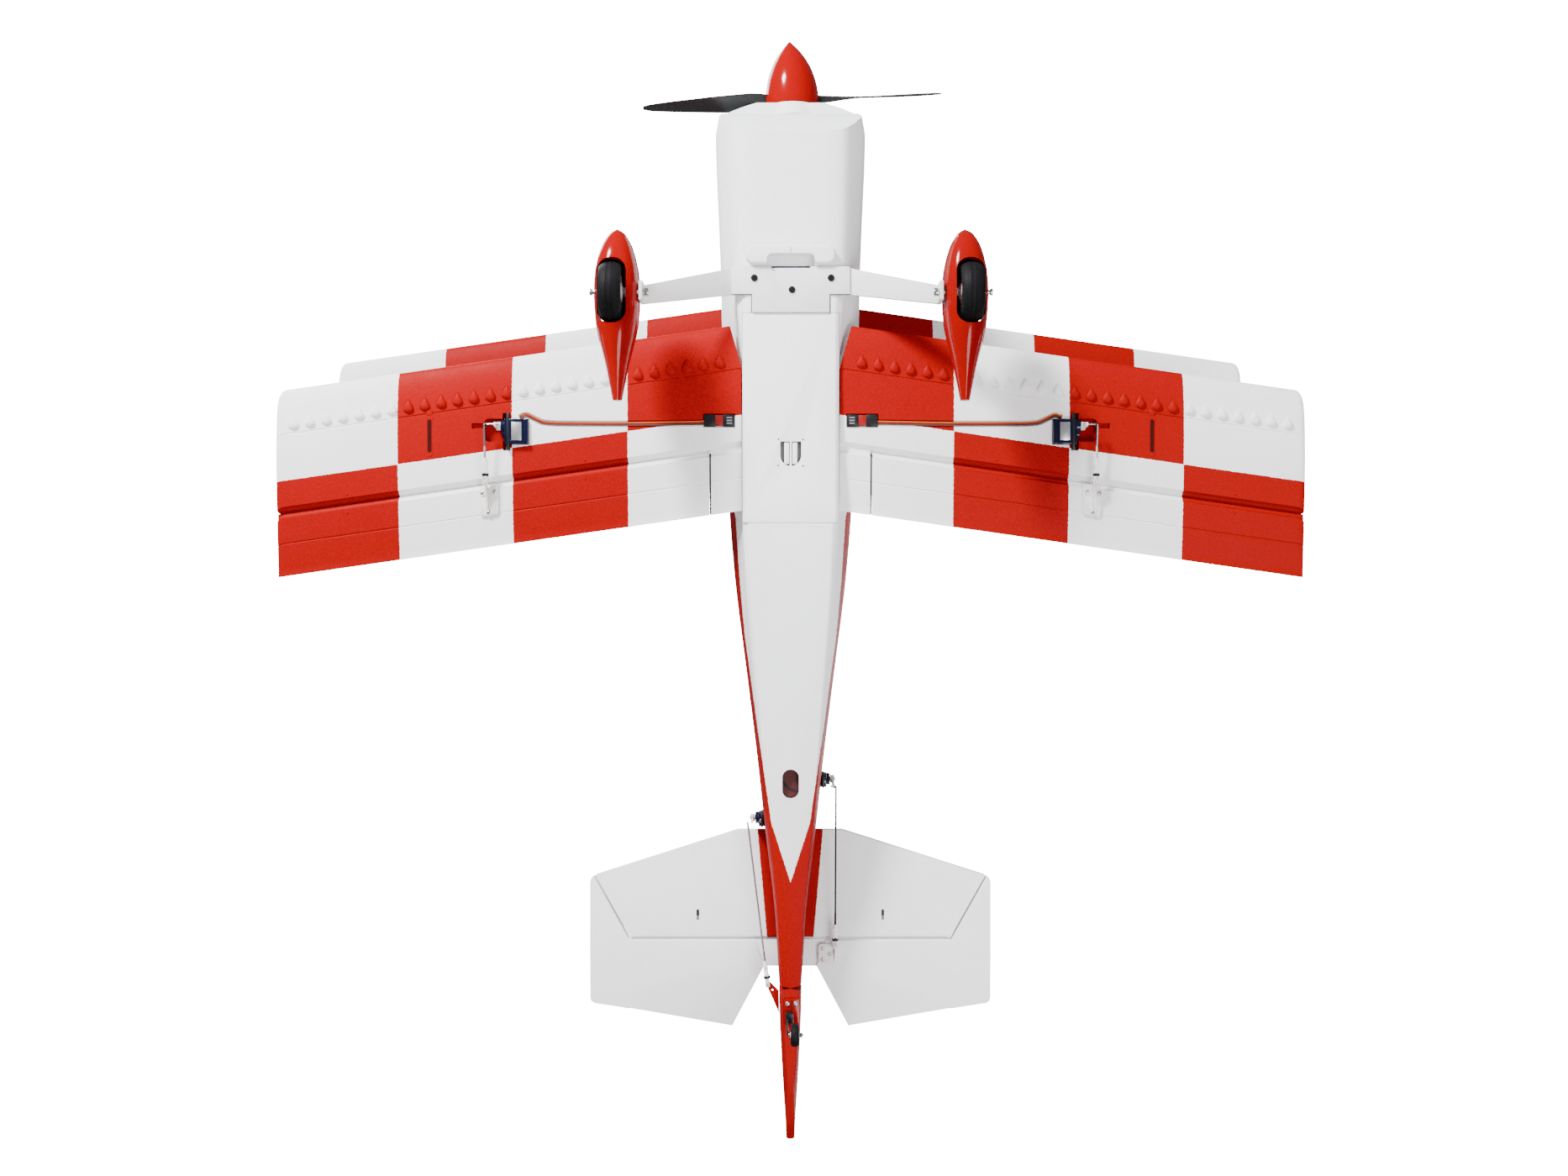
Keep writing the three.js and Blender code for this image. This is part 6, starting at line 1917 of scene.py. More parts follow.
        def face(drop: float, shrink: float) -> list[Point]:
            """The plate's outline, drop below the aileron's skin."""
            points = []
            for x, aft in corners:
                x, aft = x - (x - d.rod_x + 1.7) * shrink, aft - (aft - 16) * shrink
                points.append(LOWER.under(x, WING.hinge_aft + aft, drop))
            return points

        plate = BENCH.loft("plate", [face(0.3, 0), face(1.6, 0), face(2.1, 0.05)])
        parts = [BENCH.dress(plate, Skin.MILKY)]
        fin = self.horn_fin(d.arm, 0.0, -6.4, d.rod_x)
        parts.append(BENCH.moved(fin, Matrix.Translation((0, y, 0))))
        for x, aft in ((d.rod_x + 4.4, 8.6), (d.rod_x - 6.4, 8.6), (d.rod_x - 1.0, 27.4)):
            parts += self.ring_screw(LOWER.under(x, WING.hinge_aft + aft, 2.0), (0, 0, -1))
        return BENCH.group("aileron_horn", *parts)

    def aileron_side(self) -> None:
        """Both aileron servos with everything that they drive."""
        d, s = self.drive, self.sizes
        both = WINGS.both
        servo = BENCH.moved(self.case("aileron_servo"), d.place)
        both(servo, "aileron_servo_{}", "airframe", "servo_case", "aileron_servo_{}")
        arm = BENCH.moved(self.arm("arm", d.arm, 0.0), d.place)
        both(arm, "aileron_servo_arm_{}", "aileron_servo_arm_{}", "white_plastic", "aileron_servo_arm_{}")
        front = (d.rod_x, d.y, d.z - d.arm)
        rear = (d.rod_x, WING.hinge_y(d.rod_x), -d.arm)
        length = (Vector(rear) - Vector(front)).length
        rod = self.pushrod("rod", length, d.rod_x - d.x - s.head, 0.0, Skin.STEEL)
        rod = self.between(rod, front, rear)
        both(rod, "aileron_pushrod_{}", "aileron_pushrod_{}", "steel", "aileron_pushrod_{}")
        horn = self.aileron_horn()
        both(horn, "aileron_horn_{}", "lower_aileron_{}", "white_plastic", "aileron_horn_{}", smooth=40)
        both(self.lead(), "servo_lead_{}", "airframe", "lead_wire", "servo_lead_{}", smooth=60)

    def lead(self) -> Part:
        """The port servo's three wires and their plug."""
        d = self.drive
        line = smooth_route(d.route(), 6)
        parts = []
        for k, skin in ((-1, Skin.BROWN), (0, Skin.LEAD_RED), (1, Skin.ORANGE)):
            route = [(*(p + n * k * d.lead_pitch), d.lead_z) for p, n in line]
            parts.append(BENCH.dress(BENCH.tube("wire", route, d.lead_radius, smooth=False), skin))
        y = d.y - 5
        x0, x1 = d.plug
        blocks = (
            (x0, x0 + 10.5, Skin.BLACK), (x0 + 10.2, x1 - 10.2, Skin.LEAD_RED), (x1 - 10.5, x1, Skin.BLACK)
        )
        for a, b, skin in blocks:
            inset = 0.4 if skin is Skin.LEAD_RED else 0.0
            low = (a, y - 5.5 + inset, d.lead_z - 1.7 + inset)
            high = (b, y + 5.5 - inset, d.lead_z + 1.7 - inset)
            parts.append(BENCH.dress(BENCH.box("plug", low, high, 0.4), skin))
        # Three grey slits in the plug's face: painted shade of its openings.
        for k in range(3):
            slit = BENCH.box(
                "slit",
                (x0 + 2, y - 3.3 + 2.6 * k, d.lead_z - 1.85),
                (x0 + 7, y - 2.0 + 2.6 * k, d.lead_z - 1.6),
            )
            parts.append(BENCH.dress(slit, Skin.SEAM))
        return BENCH.group("servo_lead", *parts)

    def wing_cutters(self) -> list[Part]:
        """What the servo, its lead and the wing's tube need cut out of the port lower half."""
        d = self.drive
        pocket = POCKET.build("pocket", 6.5, d.place)
        lower = POCKET.build("pocket_open", 6.5, Matrix.Translation((0, 0, -4)) @ d.place)
        x, y = d.x, d.y
        head = BENCH.prism(
            "head_cut", rounded_rectangle((x + 4, y - 6.6), (x + 24, y + 14.5), 5, 6), Along.Z, -20, 0.2,
        )
        slit = BENCH.box("slit", (x + 20, y - 2.4, -20), (x + 35, y + 2.4, -6.4))
        rings = []
        for p, n in smooth_route(d.route(), 4):
            a, b = p + n * 3.0, p - n * 3.0
            rings.append([(*a, d.lead_z + 0.95), (*b, d.lead_z + 0.95), (*b, -20.0), (*a, -20.0)])
        channel = BENCH.loft("channel", rings)
        y = d.y - 5
        plug = BENCH.box(
            "plug_cut", (d.plug[0] - 0.8, y - 6.3, -20), (d.plug[1] + 0.8, y + 6.3, d.lead_z + 2.0),
        )
        bore = BENCH.rod("bore", (-201, WING.nose_y + 63, 0), (201, WING.nose_y + 63, 0), 5.3, 32)
        x, centre = 333.0, WING.nose_y + 333 * WING.sweep + 61
        tab = BENCH.box("tab", (x - 2.05, centre - 13.3, -8.5), (x + 2.05, centre + 13.3, 20))
        return [bore, tab, pocket, lower, head, slit, channel, plug]

    def tail_servos(self) -> None:
        """The elevator's and the rudder's servos, arms and rods."""
        s = self.sizes
        d = TailDrive()
        lean = math.radians(d.lean)
        for name, place, radius, tilt in (
            ("elevator", ELEVATOR_PLACE, d.elevator_arm, lean),
            ("rudder", RUDDER_PLACE, d.rudder_arm, 0.0),
        ):
            case = BENCH.moved(self.case(f"{name}_servo"), place)
            BENCH.deliver(case, "airframe", "servo_case", f"{name}_servo")
            stand = Matrix.Translation(d.elevator_shaft)
            if name == "rudder":
                stand = Matrix.Translation(d.rudder_shaft) @ Matrix.Rotation(math.pi, 4, "Z")
            arm = BENCH.moved(self.arm(f"{name}_servo_arm", radius, tilt), stand)
            BENCH.deliver(arm, f"{name}_servo_arm", "white_plastic", f"{name}_servo_arm")
        shaft, hinge = d.elevator_shaft, d.elevator_hinge
        pin = (d.elevator_arm * math.sin(lean), -d.elevator_arm * math.cos(lean))
        front = (d.elevator_rod_x, shaft[1] + pin[0], shaft[2] + pin[1])
        rear = (d.elevator_rod_x, hinge[1] + pin[0], hinge[2] + pin[1])
        length = (Vector(rear) - Vector(front)).length
        reach = d.elevator_rod_x - shaft[0] - s.head - 0.3
        rod = self.pushrod("elevator_pushrod", length, reach, 0.0, Skin.BLACK_WIRE)
        BENCH.deliver(self.between(rod, front, rear), "elevator_pushrod", "black_wire", "elevator_pushrod")
        shaft = d.rudder_shaft
        front = (shaft[0] - s.head - s.hub - s.rod - 2.4, shaft[1], shaft[2] - d.rudder_arm)
        rear = d.rudder_pin
        length = (Vector(rear) - Vector(front)).length
        rod = self.pushrod("rudder_pushrod", length, 0.0, math.pi / 2, Skin.STEEL)
        BENCH.deliver(self.between(rod, front, rear), "rudder_pushrod", "steel", "rudder_pushrod")
        fin = self.horn_fin(d.elevator_arm, lean, -5.3, d.elevator_rod_x)
        fin = BENCH.moved(fin, Matrix.Translation(hinge))
        plate = BENCH.prism("plate", rounded_rectangle((27.6, 351), (45.6, 371), 3.5), Along.Z, 87.9, 89.7)
        plate = BENCH.dress(BENCH.bevel(plate, 0.35, 2, 50), Skin.MILKY)
        parts = [fin, plate]
        for x, y in ((32.0, 355.5), (32.0, 366.5), (39.0, 361.0)):
            parts += self.ring_screw((x, y, 87.9), (0, 0, -1))
        horn = BENCH.group("elevator_horn", *parts)
        BENCH.deliver(horn, "elevator", "white_plastic", "elevator_horn")

    def build(self) -> None:
        """All four servos."""
        self.aileron_side()
        self.tail_servos()


SERVOS = ServoMaker()


# ---- Struts and links ----


class StrutMaker:
    """The struts between the wings and the aileron links."""

    def interplane(self) -> Part:
        """The port outer strut: a plate with round edges and a tab at each end."""
        x = 333.0
        low = WING.nose_y + x * WING.sweep + 61
        high = low - WING.stagger
        foot = WING.half(61) + 0.3
        head = WING.rise - foot
        rings = []
        for step in range(17):
            t = step / 16
            z = foot + (head - foot) * t
            wide = 27 - 22 * 4 * t * (1 - t) * 0.75
            middle = low + (high - low) * t
            line = []
            for k in range(16):
                a = 2 * math.pi * k / 16
                c, si = math.cos(a), math.sin(a)
                across = 1.75 * math.copysign(abs(si) ** 0.45, si)
                line.append((x + across, middle + wide * math.copysign(abs(c) ** 0.9, c), z))
            rings.append(line)
        web = BENCH.loft("strut", rings)
        tabs = [
            BENCH.box("tab", (x - 1.75, low - 13, 1 - foot), (x + 1.75, low + 13, foot + 2)),
            BENCH.box("tab", (x - 1.75, high - 13, head - 2), (x + 1.75, high + 13, WING.rise - 2)),
        ]
        return BENCH.dress(BENCH.boolean(web, Cut.JOIN, *tabs), Skin.WHITE)

    def cabane(self) -> Part:
        """The port strut over the fuselage, with its window."""
        low, high = WING.upper_nose + 108, WING.upper_nose + 68
        foot, head = 116.5, WING.rise - WING.half(0.3 * WING.chord) - 0.5
        outline = [
            (low - 26, foot - 16),
            (low - 28, foot),
            (high - 34, head),
            (high + 34, head),
            (low + 28, foot),
            (low + 26, foot - 16),
        ]
        window = [
            (low - 12, foot + 12), (high - 18, head - 12), (high + 18, head - 12), (low + 12, foot + 12),
        ]
        plate = BENCH.prism("cabane", outline, Along.X, 36.5, 39.5)
        hole = BENCH.prism("window", window, Along.X, 35, 41)
        plate = BENCH.bevel(BENCH.boolean(plate, Cut.AWAY, hole), 0.9, 3, 40)
        return BENCH.dress(plate, Skin.WHITE)

    def link(self) -> Part:
        """The port link between the ailerons: a rod with an eye and a black sleeve at each end."""
        x = 322.0
        rise = math.hypot(WING.stagger, WING.rise)
        ahead, up = WING.stagger / rise, WING.rise / rise
        hinge = WING.hinge_y(x)
        slack = (30 * ahead + 8) / up
        low = Vector((x, hinge + 30 * up, 30 * ahead))
        high = Vector(
            (x, hinge - WING.stagger + 30 * up + slack * ahead, WING.rise + 30 * ahead - slack * up)
        )
        way = (high - low).normalized()
        parts = [BENCH.dress(BENCH.rod("rod", low, high, 1.1, 20), Skin.STEEL)]
        for end, sign in ((low, 1), (high, -1)):
            profile = [(0.9, -1.5), (2.2, -1.5), (2.2, 1.5), (0.9, 1.5)]
            eye = BENCH.lathe("eye", profile, end, (1, 0, 0), 28, True)
            sleeve = BENCH.rod("sleeve", end + way * sign * 1.9, end + way * sign * 15, 1.8, 20, bevel=0.4)
            parts += [BENCH.dress(eye, Skin.STEEL), BENCH.dress(sleeve, Skin.BLACK)]
        return BENCH.group("link", *parts)

    def build(self) -> None:
        """All struts and links."""
        both = WINGS.both
        both(self.interplane(), "interplane_strut_{}", "airframe", "foam_white", "interplane_strut_{}", 45)
        both(self.cabane(), "cabane_strut_{}", "airframe", "foam_white", "cabane_strut_{}", 45)
        both(self.link(), "aileron_link_{}", "aileron_link_{}", "steel", "aileron_link_{}", 45)


STRUTS = StrutMaker()


# ---- Landing gear ----


@dataclass(frozen=True)
class GearSizes:
    """The main wheels, their pants and the strut."""

    wheel: Point = (155.5, -256.0, -95.0)
    tyre: float = 26.0
    tyre_width: float = 20.0
    hub: float = 13.5
    axle: float = 1.9
    pant_x: float = 151.6
    pant_half: float = 20.0
    pant_rise: float = 25.0
    pant_lift: float = 11.0
    pant_length: float = 149.0
    thick: float = 3.0

    @property
    def tab_x(self) -> float:
        """Inner face of the strut's upright tab."""
        return self.pant_x - self.pant_half - 0.3 - self.thick


class GearMaker:
    """Builds the undercarriage."""

    def __init__(self, sizes: GearSizes = GearSizes()) -> None:
        """Takes the gear's sizes."""
        self.sizes = sizes

    def pant_ring(self, at: float) -> list[Point]:
        """One section of the wheel pant, rounder in front and creased towards its blunt tail."""
        g = self.sizes
        knots = (
            (0, 0.0), (0.012, 0.2), (0.03, 0.36), (0.12, 0.72), (0.25, 0.94), (0.38, 1.0), (0.55, 0.93)
        )
        share = ladder([*knots, (0.8, 0.5), (1.0, 0.2)], at)
        share = max(share, 0.05)
        crease = ladder(((0.0, 0.86), (0.3, 0.74), (0.6, 0.95), (1.0, 1.15)), at)
        y = g.wheel[1] - g.pant_length * 0.38 + at * g.pant_length
        points = []
        for i in range(32):
            a = 2 * math.pi * i / 32
            c, s = math.cos(a), math.sin(a)
            x = g.pant_half * share * math.copysign(abs(c) ** crease, c)
            z = g.pant_rise * share * math.copysign(abs(s) ** crease, s)
            points.append((g.pant_x + x, y, g.wheel[2] + g.pant_lift + z))
        return points

    def pant(self) -> Part:
        """The port wheel pant with its wheel well."""
        g = self.sizes
        places = [
            0.0,
            0.004,
            0.012,
            0.03,
            0.06,
            0.1,
            0.16,
            0.24,
            0.32,
            0.4,
            0.48,
            0.56,
            0.64,
            0.72,
            0.8,
            0.88,
            0.95,
        ]
        body = BENCH.loft("pant", [self.pant_ring(at) for at in [*places, 0.99, 1.0]])
        x, y, z = g.wheel
        reach = g.tyre + 2.2
        well_outline = rounded_rectangle((x - 13.6, y - reach), (x + 12.1, y + reach), 11.5, 8)
        well = BENCH.prism("well", well_outline, Along.Z, z - 60, z + g.tyre + 2)
        bore = BENCH.rod("bore", (100, y, z), (200, y, z), g.axle + 0.3, 24)
        body = BENCH.boolean(body, Cut.AWAY, well, bore)
        BENCH.dress(body, Skin.GLOSS_RED)
        tail = BENCH.boolean(
            BENCH.loft("tail_band", [self.scaled(self.pant_ring(at), 1.01) for at in (0.955, 0.985)]),
            Cut.AWAY,
            BENCH.box("upper", (100, -300, z + g.pant_lift - 0.4), (200, 0, z + g.pant_lift + 0.4)),
        )
        BENCH.dress(tail, Skin.GLOSS_RED)
        return BENCH.group("pant", body, tail)

    def scaled(self, ring: list[Point], grow: float) -> list[Point]:
        """A ring drawn out about its middle."""
        x = sum(p[0] for p in ring) / len(ring)
        z = sum(p[2] for p in ring) / len(ring)
        return [(x + (p[0] - x) * grow, p[1], z + (p[2] - z) * grow) for p in ring]

    def tyre(self) -> Part:
        """A round-shouldered tyre with two fine grooves."""
        g = self.sizes
        half, radius, seat = g.tyre_width / 2, g.tyre, g.hub + 0.3
        profile = [
            (seat, -half + 1.6),
            (seat + 1.2, -half + 0.5),
            (radius * 0.72, -half + 0.1),
            (radius * 0.8, -half),
        ]
        for k in range(1, 12):
            a = math.radians(90 * k / 12)
            profile.append(
                (radius * 0.8 + radius * 0.2 * math.sin(a) ** 0.9, -half + half * (1 - math.cos(a)))
            )
        groove = -2.2
        profile += [
            (radius - 0.02, groove - 0.5), (radius - 0.45, groove - 0.3), (radius - 0.45, groove + 0.3),
        ]
        profile.append((radius, groove + 0.5))
        profile = sorted(profile[:4], key=lambda p: p[0]) + sorted(profile[4:], key=lambda p: p[1])
        mirror = [(r, -a) for r, a in reversed(profile)]
        return BENCH.dress(
            BENCH.lathe("tyre", [*profile, *mirror], g.wheel, (1, 0, 0), 72, True), Skin.RUBBER,
        )

    def hub(self) -> Part:
        """The white wheel with a domed face and a rim."""
        g = self.sizes
        half, bore = g.tyre_width / 2, g.axle + 0.4
        face = [
            (bore, half + 0.6), (4.4, half + 0.6), (5.0, half + 0.2), (8.0, half - 0.9), (11.4, half - 2.6),
        ]
        face += [(11.9, half - 2.4), (12.3, half - 1.4), (g.hub - 0.2, half - 1.2), (g.hub, half - 1.8)]
        profile = [*face, *[(r, -a) for r, a in reversed(face)]]
        return BENCH.dress(BENCH.lathe("hub", profile, g.wheel, (1, 0, 0), 56, True), Skin.WHITE)

    def axle(self) -> Part:
        """The axle with its screw head, collar and nut."""
        g = self.sizes
        x, y, z = g.wheel
        start, end = g.tab_x - 3, g.pant_x + g.pant_half + 3
        collar = x - g.tyre_width / 2 - 1.2
        shaft = BENCH.rod("axle", (start, y, z), (end, y, z), g.axle, 28, bevel=0.3)
        head = BENCH.rod("head", (start - 2, y, z), (g.tab_x - 0.3, y, z), 3.4, 28, bevel=0.5)
        key = BENCH.rod("key", (start - 4, y, z), (start - 0.6, y, z), 1.5, 6)
        head = BENCH.boolean(head, Cut.AWAY, key)
        ring = BENCH.rod("collar", (collar - 1.6, y, z), (collar, y, z), 4.0, 32, bevel=0.3)
        nut = BENCH.rod("nut", (g.pant_x + g.pant_half + 0.3, y, z), (end - 0.4, y, z), 3.2, 6, bevel=0.3)
        parts = [(shaft, Skin.STEEL), (head, Skin.STEEL), (ring, Skin.WHITE), (nut, Skin.STEEL)]
        return BENCH.group("axle", *[BENCH.dress(part, skin) for part, skin in parts])

    def strut(self) -> Part:
        """The bent plate from wheel to wheel, with rounded edges."""
        g = self.sizes
        t, low = g.thick, BODY.cover_high + 0.3
        bottom, knee, exit_x = g.wheel[2] - 7, g.wheel[2] + 16, 54.0
        right = [
            (exit_x + 0.8, low),
            (g.tab_x, knee),
            (g.tab_x, bottom),
            (g.tab_x + t, bottom),
            (g.tab_x + t, knee + 2),
            (exit_x + 1.8, low + t),
        ]
        outline = [*right, *[(-x, z) for x, z in reversed(right)]]
        sheet = BENCH.prism("gear_strut", outline, Along.Y, -299, -243)
        tip = g.tab_x + t + 1
        plan = [(0, -294), (exit_x, -294), (tip, -264), (tip, -248), (exit_x, -269.5), (0, -269.5)]
        sheet = BENCH.boolean(
            sheet, Cut.SHARE, BENCH.prism("plan", mirrored_outline(plan), Along.Z, g.wheel[2] - 20, 10)
        )
        x, y, z = g.wheel
        sheet = BENCH.boolean(sheet, Cut.AWAY, BENCH.rod("bore", (-x, y, z), (x, y, z), g.axle + 0.3, 24))
        return BENCH.dress(BENCH.bevel(sheet, 0.7, 3, 30), Skin.WHITE)

    def build(self) -> None:
        """The strut, the pants, the wheels and their axles."""
        both = WINGS.both
        BENCH.deliver(self.strut(), "airframe", "white_plastic", "gear_strut", smooth=40)
        both(self.pant(), "wheel_pant_{}", "airframe", "red_gloss", "wheel_pant_{}", 38)
        both(self.tyre(), "tyre_{}", "wheel_{}", "tyre_rubber", "tyre_{}", 40)
        both(self.hub(), "wheel_hub_{}", "wheel_{}", "white_plastic", "wheel_hub_{}", 30)
        both(self.axle(), "axle_{}", "airframe", "steel", "axle_{}", 35)


GEAR = GearMaker()


# ---- Tail ----


@dataclass
class TailSizes:
    """Driving sizes of the tailplane and the elevator; the bevel is in degrees."""

    hinge_y: float = 346.0
    hinge_z: float = 95.0
    half_thick: float = 5.0
    hinge_reach: float = 156.0
    hinge_gap: float = 0.2
    bevel: float = 25.0
    slit_x: float = 91.3
    horn_gap: float = 1.2


class TailMaker:
    """Builds the tailplane, the rudder and the tailwheel."""

    def __init__(self, sizes: TailSizes = TailSizes()) -> None:
        """Takes the tailplane's sizes."""
        self.sizes = sizes

    def hinge_cut(self, name: str, direction: int, x0: float, x1: float) -> Part:
        """The elevator hinge's bevel, on either side."""
        s = self.sizes
        nose = s.hinge_y + direction * s.hinge_gap
        edge = nose + direction * 11.6 * math.tan(math.radians(s.bevel))
        far, z = nose + 120, s.hinge_z
        upper = [(nose, z + 0.4), (edge, z + 12), (far, z + 12)]
        outline = [*upper, *[(y, 2 * z - height) for y, height in reversed(upper)]]
        return BENCH.prism(name, outline, Along.X, x0, x1)

    def stabilizer(self) -> Part:
        """The fixed tailplane with round leading edges."""
        s = self.sizes
        y, z, reach = s.hinge_y, s.hinge_z, s.hinge_reach
        outline = mirrored_outline(stab_half(0, y - s.hinge_gap))
        plate = BENCH.prism("stabilizer", outline, Along.Z, z - s.half_thick, z + s.half_thick)
        plate = BENCH.boolean(plate, Cut.AWAY, self.hinge_cut("bevel", -1, -reach - 1, reach + 1))
        plate = BENCH.bevel(plate, 2.6, 4, 60)
        parts = [BENCH.dress(plate, Skin.TAIL)]
        strip = BENCH.rod("hinge_skin", (-reach, y, z), (reach, y, z), 0.5, 10)
        parts.append(BENCH.dress(strip, Skin.TAIL))
        # Under each side, a black box and a grey one behind it mark a slit: painted shade inside the slit.
        for side in (PORT, STARBOARD):
            for y0, y1, skin in ((317.5, 323.6, Skin.BLACK), (323.8, 327.5, Skin.SEAM)):
                x = side * s.slit_x
                slit = BENCH.box("stab_slit_shade", (x - 1.3, y0, z - 5.3), (x + 1.3, y1, z - 4.4))
                parts.append(BENCH.dress(slit, skin))
        return BENCH.group("stabilizer", *parts)

    def elevator(self) -> Part:
        """Both elevator halves with their horn tips and the web between them."""
        gap = self.sizes.horn_gap
        low, high = self.sizes.hinge_z - self.sizes.half_thick, self.sizes.hinge_z + self.sizes.half_thick
        main = [(0, 345), (160, 345), (160, 415.4), (57.4, 433.2), (26.1, 373.8), (0, 373.8)]
        tip = [
            (157.5 + gap, 348),
            (192.6 + gap, 285),
            (196.8, 287.2),
            (197.8, 290),
            (197.8, 404.4),
            (197.0, 408.6),
            (193.8, 410.6),
            (159, 416.2),
            (157.5 + gap, 352),
        ]
        hinged = BENCH.prism("elevator", mirrored_outline(main), Along.Z, low, high)
        hinged = BENCH.boolean(hinged, Cut.SHARE, self.hinge_cut("keep", 1, -170, 170))
        tips = [
            BENCH.prism("tip", tip, Along.Z, low, high),
            BENCH.prism("tip", [(-x, y) for x, y in reversed(tip)], Along.Z, low, high),
        ]
        plan = BENCH.boolean(hinged, Cut.JOIN, *tips)
        taper = [
            (281, 89), (281, 101), (358, 101), (358, 100), (436, 96.4), (436, 93.6), (358, 90), (358, 89),
        ]
        plan = BENCH.boolean(plan, Cut.SHARE, BENCH.prism("taper", taper, Along.X, -210, 210))
        web = [(-37, 344), (37, 344), (25.0, 376), (-25.0, 376)]
        plan = BENCH.boolean(plan, Cut.AWAY, BENCH.prism("web", web, Along.Z, 88, 92.4))
        return BENCH.dress(BENCH.bevel(plan, 1.0, 3, 50), Skin.TAIL)

    def rudder_ring(self, z: float, half: float, rear: float) -> list[Point]:
        """The rudder's section at one height."""
        nose = 385.2
        shoulder = nose + (half - 0.4) * math.tan(math.radians(15))
        knots = ((0.0, 1.0), (0.11, 0.98), (0.4, 0.82), (0.69, 0.6), (0.9, 0.42), (1.0, 0.38))
        side = [(0.4, nose), (half * 0.93, shoulder - 0.35), (half, shoulder + 1.0)]
        for step in range(1, 13):
            at = step / 12
            side.append((half * ladder(knots, at), shoulder + (rear - shoulder) * at))
        side[-1] = (side[-1][0], rear - 1.6)
        side.append((half * 0.22, rear - 0.2))
        return [(x, y, z) for x, y in [*side, *[(-x, y) for x, y in reversed(side)]]]

    def rudder(self) -> Part:
        """The rudder with its balance block over the fin."""
        halves = ((50, 8), (57, 10.4), (70, 11), (108, 9.4), (128, 5.8), (200, 5.5), (252, 4))
        rears = ((50, 482), (57, 516), (70, 537), (108, 539), (128, 538), (200, 527), (252, 500))
        levels = [50, 51.5, 54, 57, 62, 70, 80, 92, 104, 114, 124, 136, 160, 190, 220, 244, 250, 252]
        rings = []
        for z in levels:
            drawn = 0.6 if z in (50, 252) else 0.0
            rings.append(self.rudder_ring(z, ladder(halves, z) - drawn, ladder(rears, z) - drawn * 2))
        blade = BENCH.loft("rudder", rings)
        balance = BENCH.bevel(BENCH.box("balance", (-4, 347, 226), (4, 405, 252)), 2.2, 4)
        blade = BENCH.boolean(blade, Cut.JOIN, balance)
        return BENCH.dress(blade, Skin.FOAM_RED)

    def rudder_horn(self) -> Part:
        """The red horn on the rudder's starboard foot, with its two holes."""
        x = -22.0
        tip = arc((x, 385.0), 2.6, 95, 265, 10)
        outline = [(-11.3, 391), (-10.7, 414), *tip, (x + 2.4, 382.6)]
        plate = BENCH.prism("rudder_horn", outline, Along.Z, 65.4, 66.6)
        holes = [
            BENCH.rod("hole", (x, 385, 60), (x, 385, 70), 1.2, 20),
            BENCH.rod("hole", (x + 4.6, 390.4, 60), (x + 4.6, 390.4, 70), 0.9, 16),
        ]
        plate = BENCH.bevel(BENCH.boolean(plate, Cut.AWAY, *holes), 0.3, 2, 50)
        return BENCH.dress(plate, Skin.GLOSS_RED)

    def bracket(self) -> Part:
        """The black tailwheel bracket with its two screws."""
        top = 49.7
        plate = BENCH.prism("plate", rounded_rectangle((-6, 394), (8, 419), 2.5), Along.Z, top - 1.6, top)
        block = BENCH.box("block", (-4.6, 406, top - 10), (2.8, 416, top - 1), 0.8)
        block = BENCH.boolean(
            block, Cut.AWAY, BENCH.rod("hole", (-3, 411, top - 20), (-3, 411, top - 2.5), 1.3, 20),
        )
        rib = BENCH.box("rib", (-4.9, 410.2, top - 10.3), (3.1, 411.8, top - 1.4), 0.3)
        parts = [BENCH.dress(BENCH.bevel(plate, 0.3, 2, 50), Skin.GLOSS_RED)]
        parts += [BENCH.dress(part, Skin.BLACK) for part in (block, rib)]
        # A dark strip on the plate marks a slit: painted shadow inside the slit.
        parts.append(
            BENCH.dress(BENCH.box("slit", (0.9, 396, top - 1.7), (1.8, 405.8, top - 1.4)), Skin.SLOT_SHADOW)
        )
        for x, y in ((-2.9, 399.0), (5.0, 399.0)):
            profile = [(0.0, 0.2), (2.3, 0.2), (2.3, -0.9), (1.7, -1.5), (0.0, -1.6)]
            head = BENCH.lathe("screw", profile, (x, y, top - 1.6), (0, 0, 1), 20)
            cut = BENCH.box("slot", (x - 1.5, y - 0.25, top - 4), (x + 1.5, y + 0.25, top - 2.7))
            parts.append(BENCH.dress(BENCH.boolean(head, Cut.AWAY, cut), Skin.STEEL))
        return BENCH.group("tailwheel_bracket", *parts)

    def wire(self) -> Part:
        """The bent wire with the nut and collar at its axle."""
        top = 49.7
        route = [(-3, 411, top - 3), (-3, 411, top - 12), (-3, 413, top - 13.4), (-3, 420.2, 21.4)]
        route += [(-2.3, 421, 20), (12, 421, 20)]
        wire = BENCH.dress(BENCH.tube("tailwheel_wire", route, 1.0, smooth=False), Skin.BLACK_WIRE)
        nut = BENCH.rod("nut", (9.0, 421, 20), (11.2, 421, 20), 2.4, 6, bevel=0.3)
        collar = BENCH.rod("collar", (-1.9, 421, 20), (-0.4, 421, 20), 2.2, 20, bevel=0.2)
        parts = [wire, BENCH.dress(nut, Skin.STEEL), BENCH.dress(collar, Skin.STEEL)]
        return BENCH.group("tailwheel_wire", *parts)

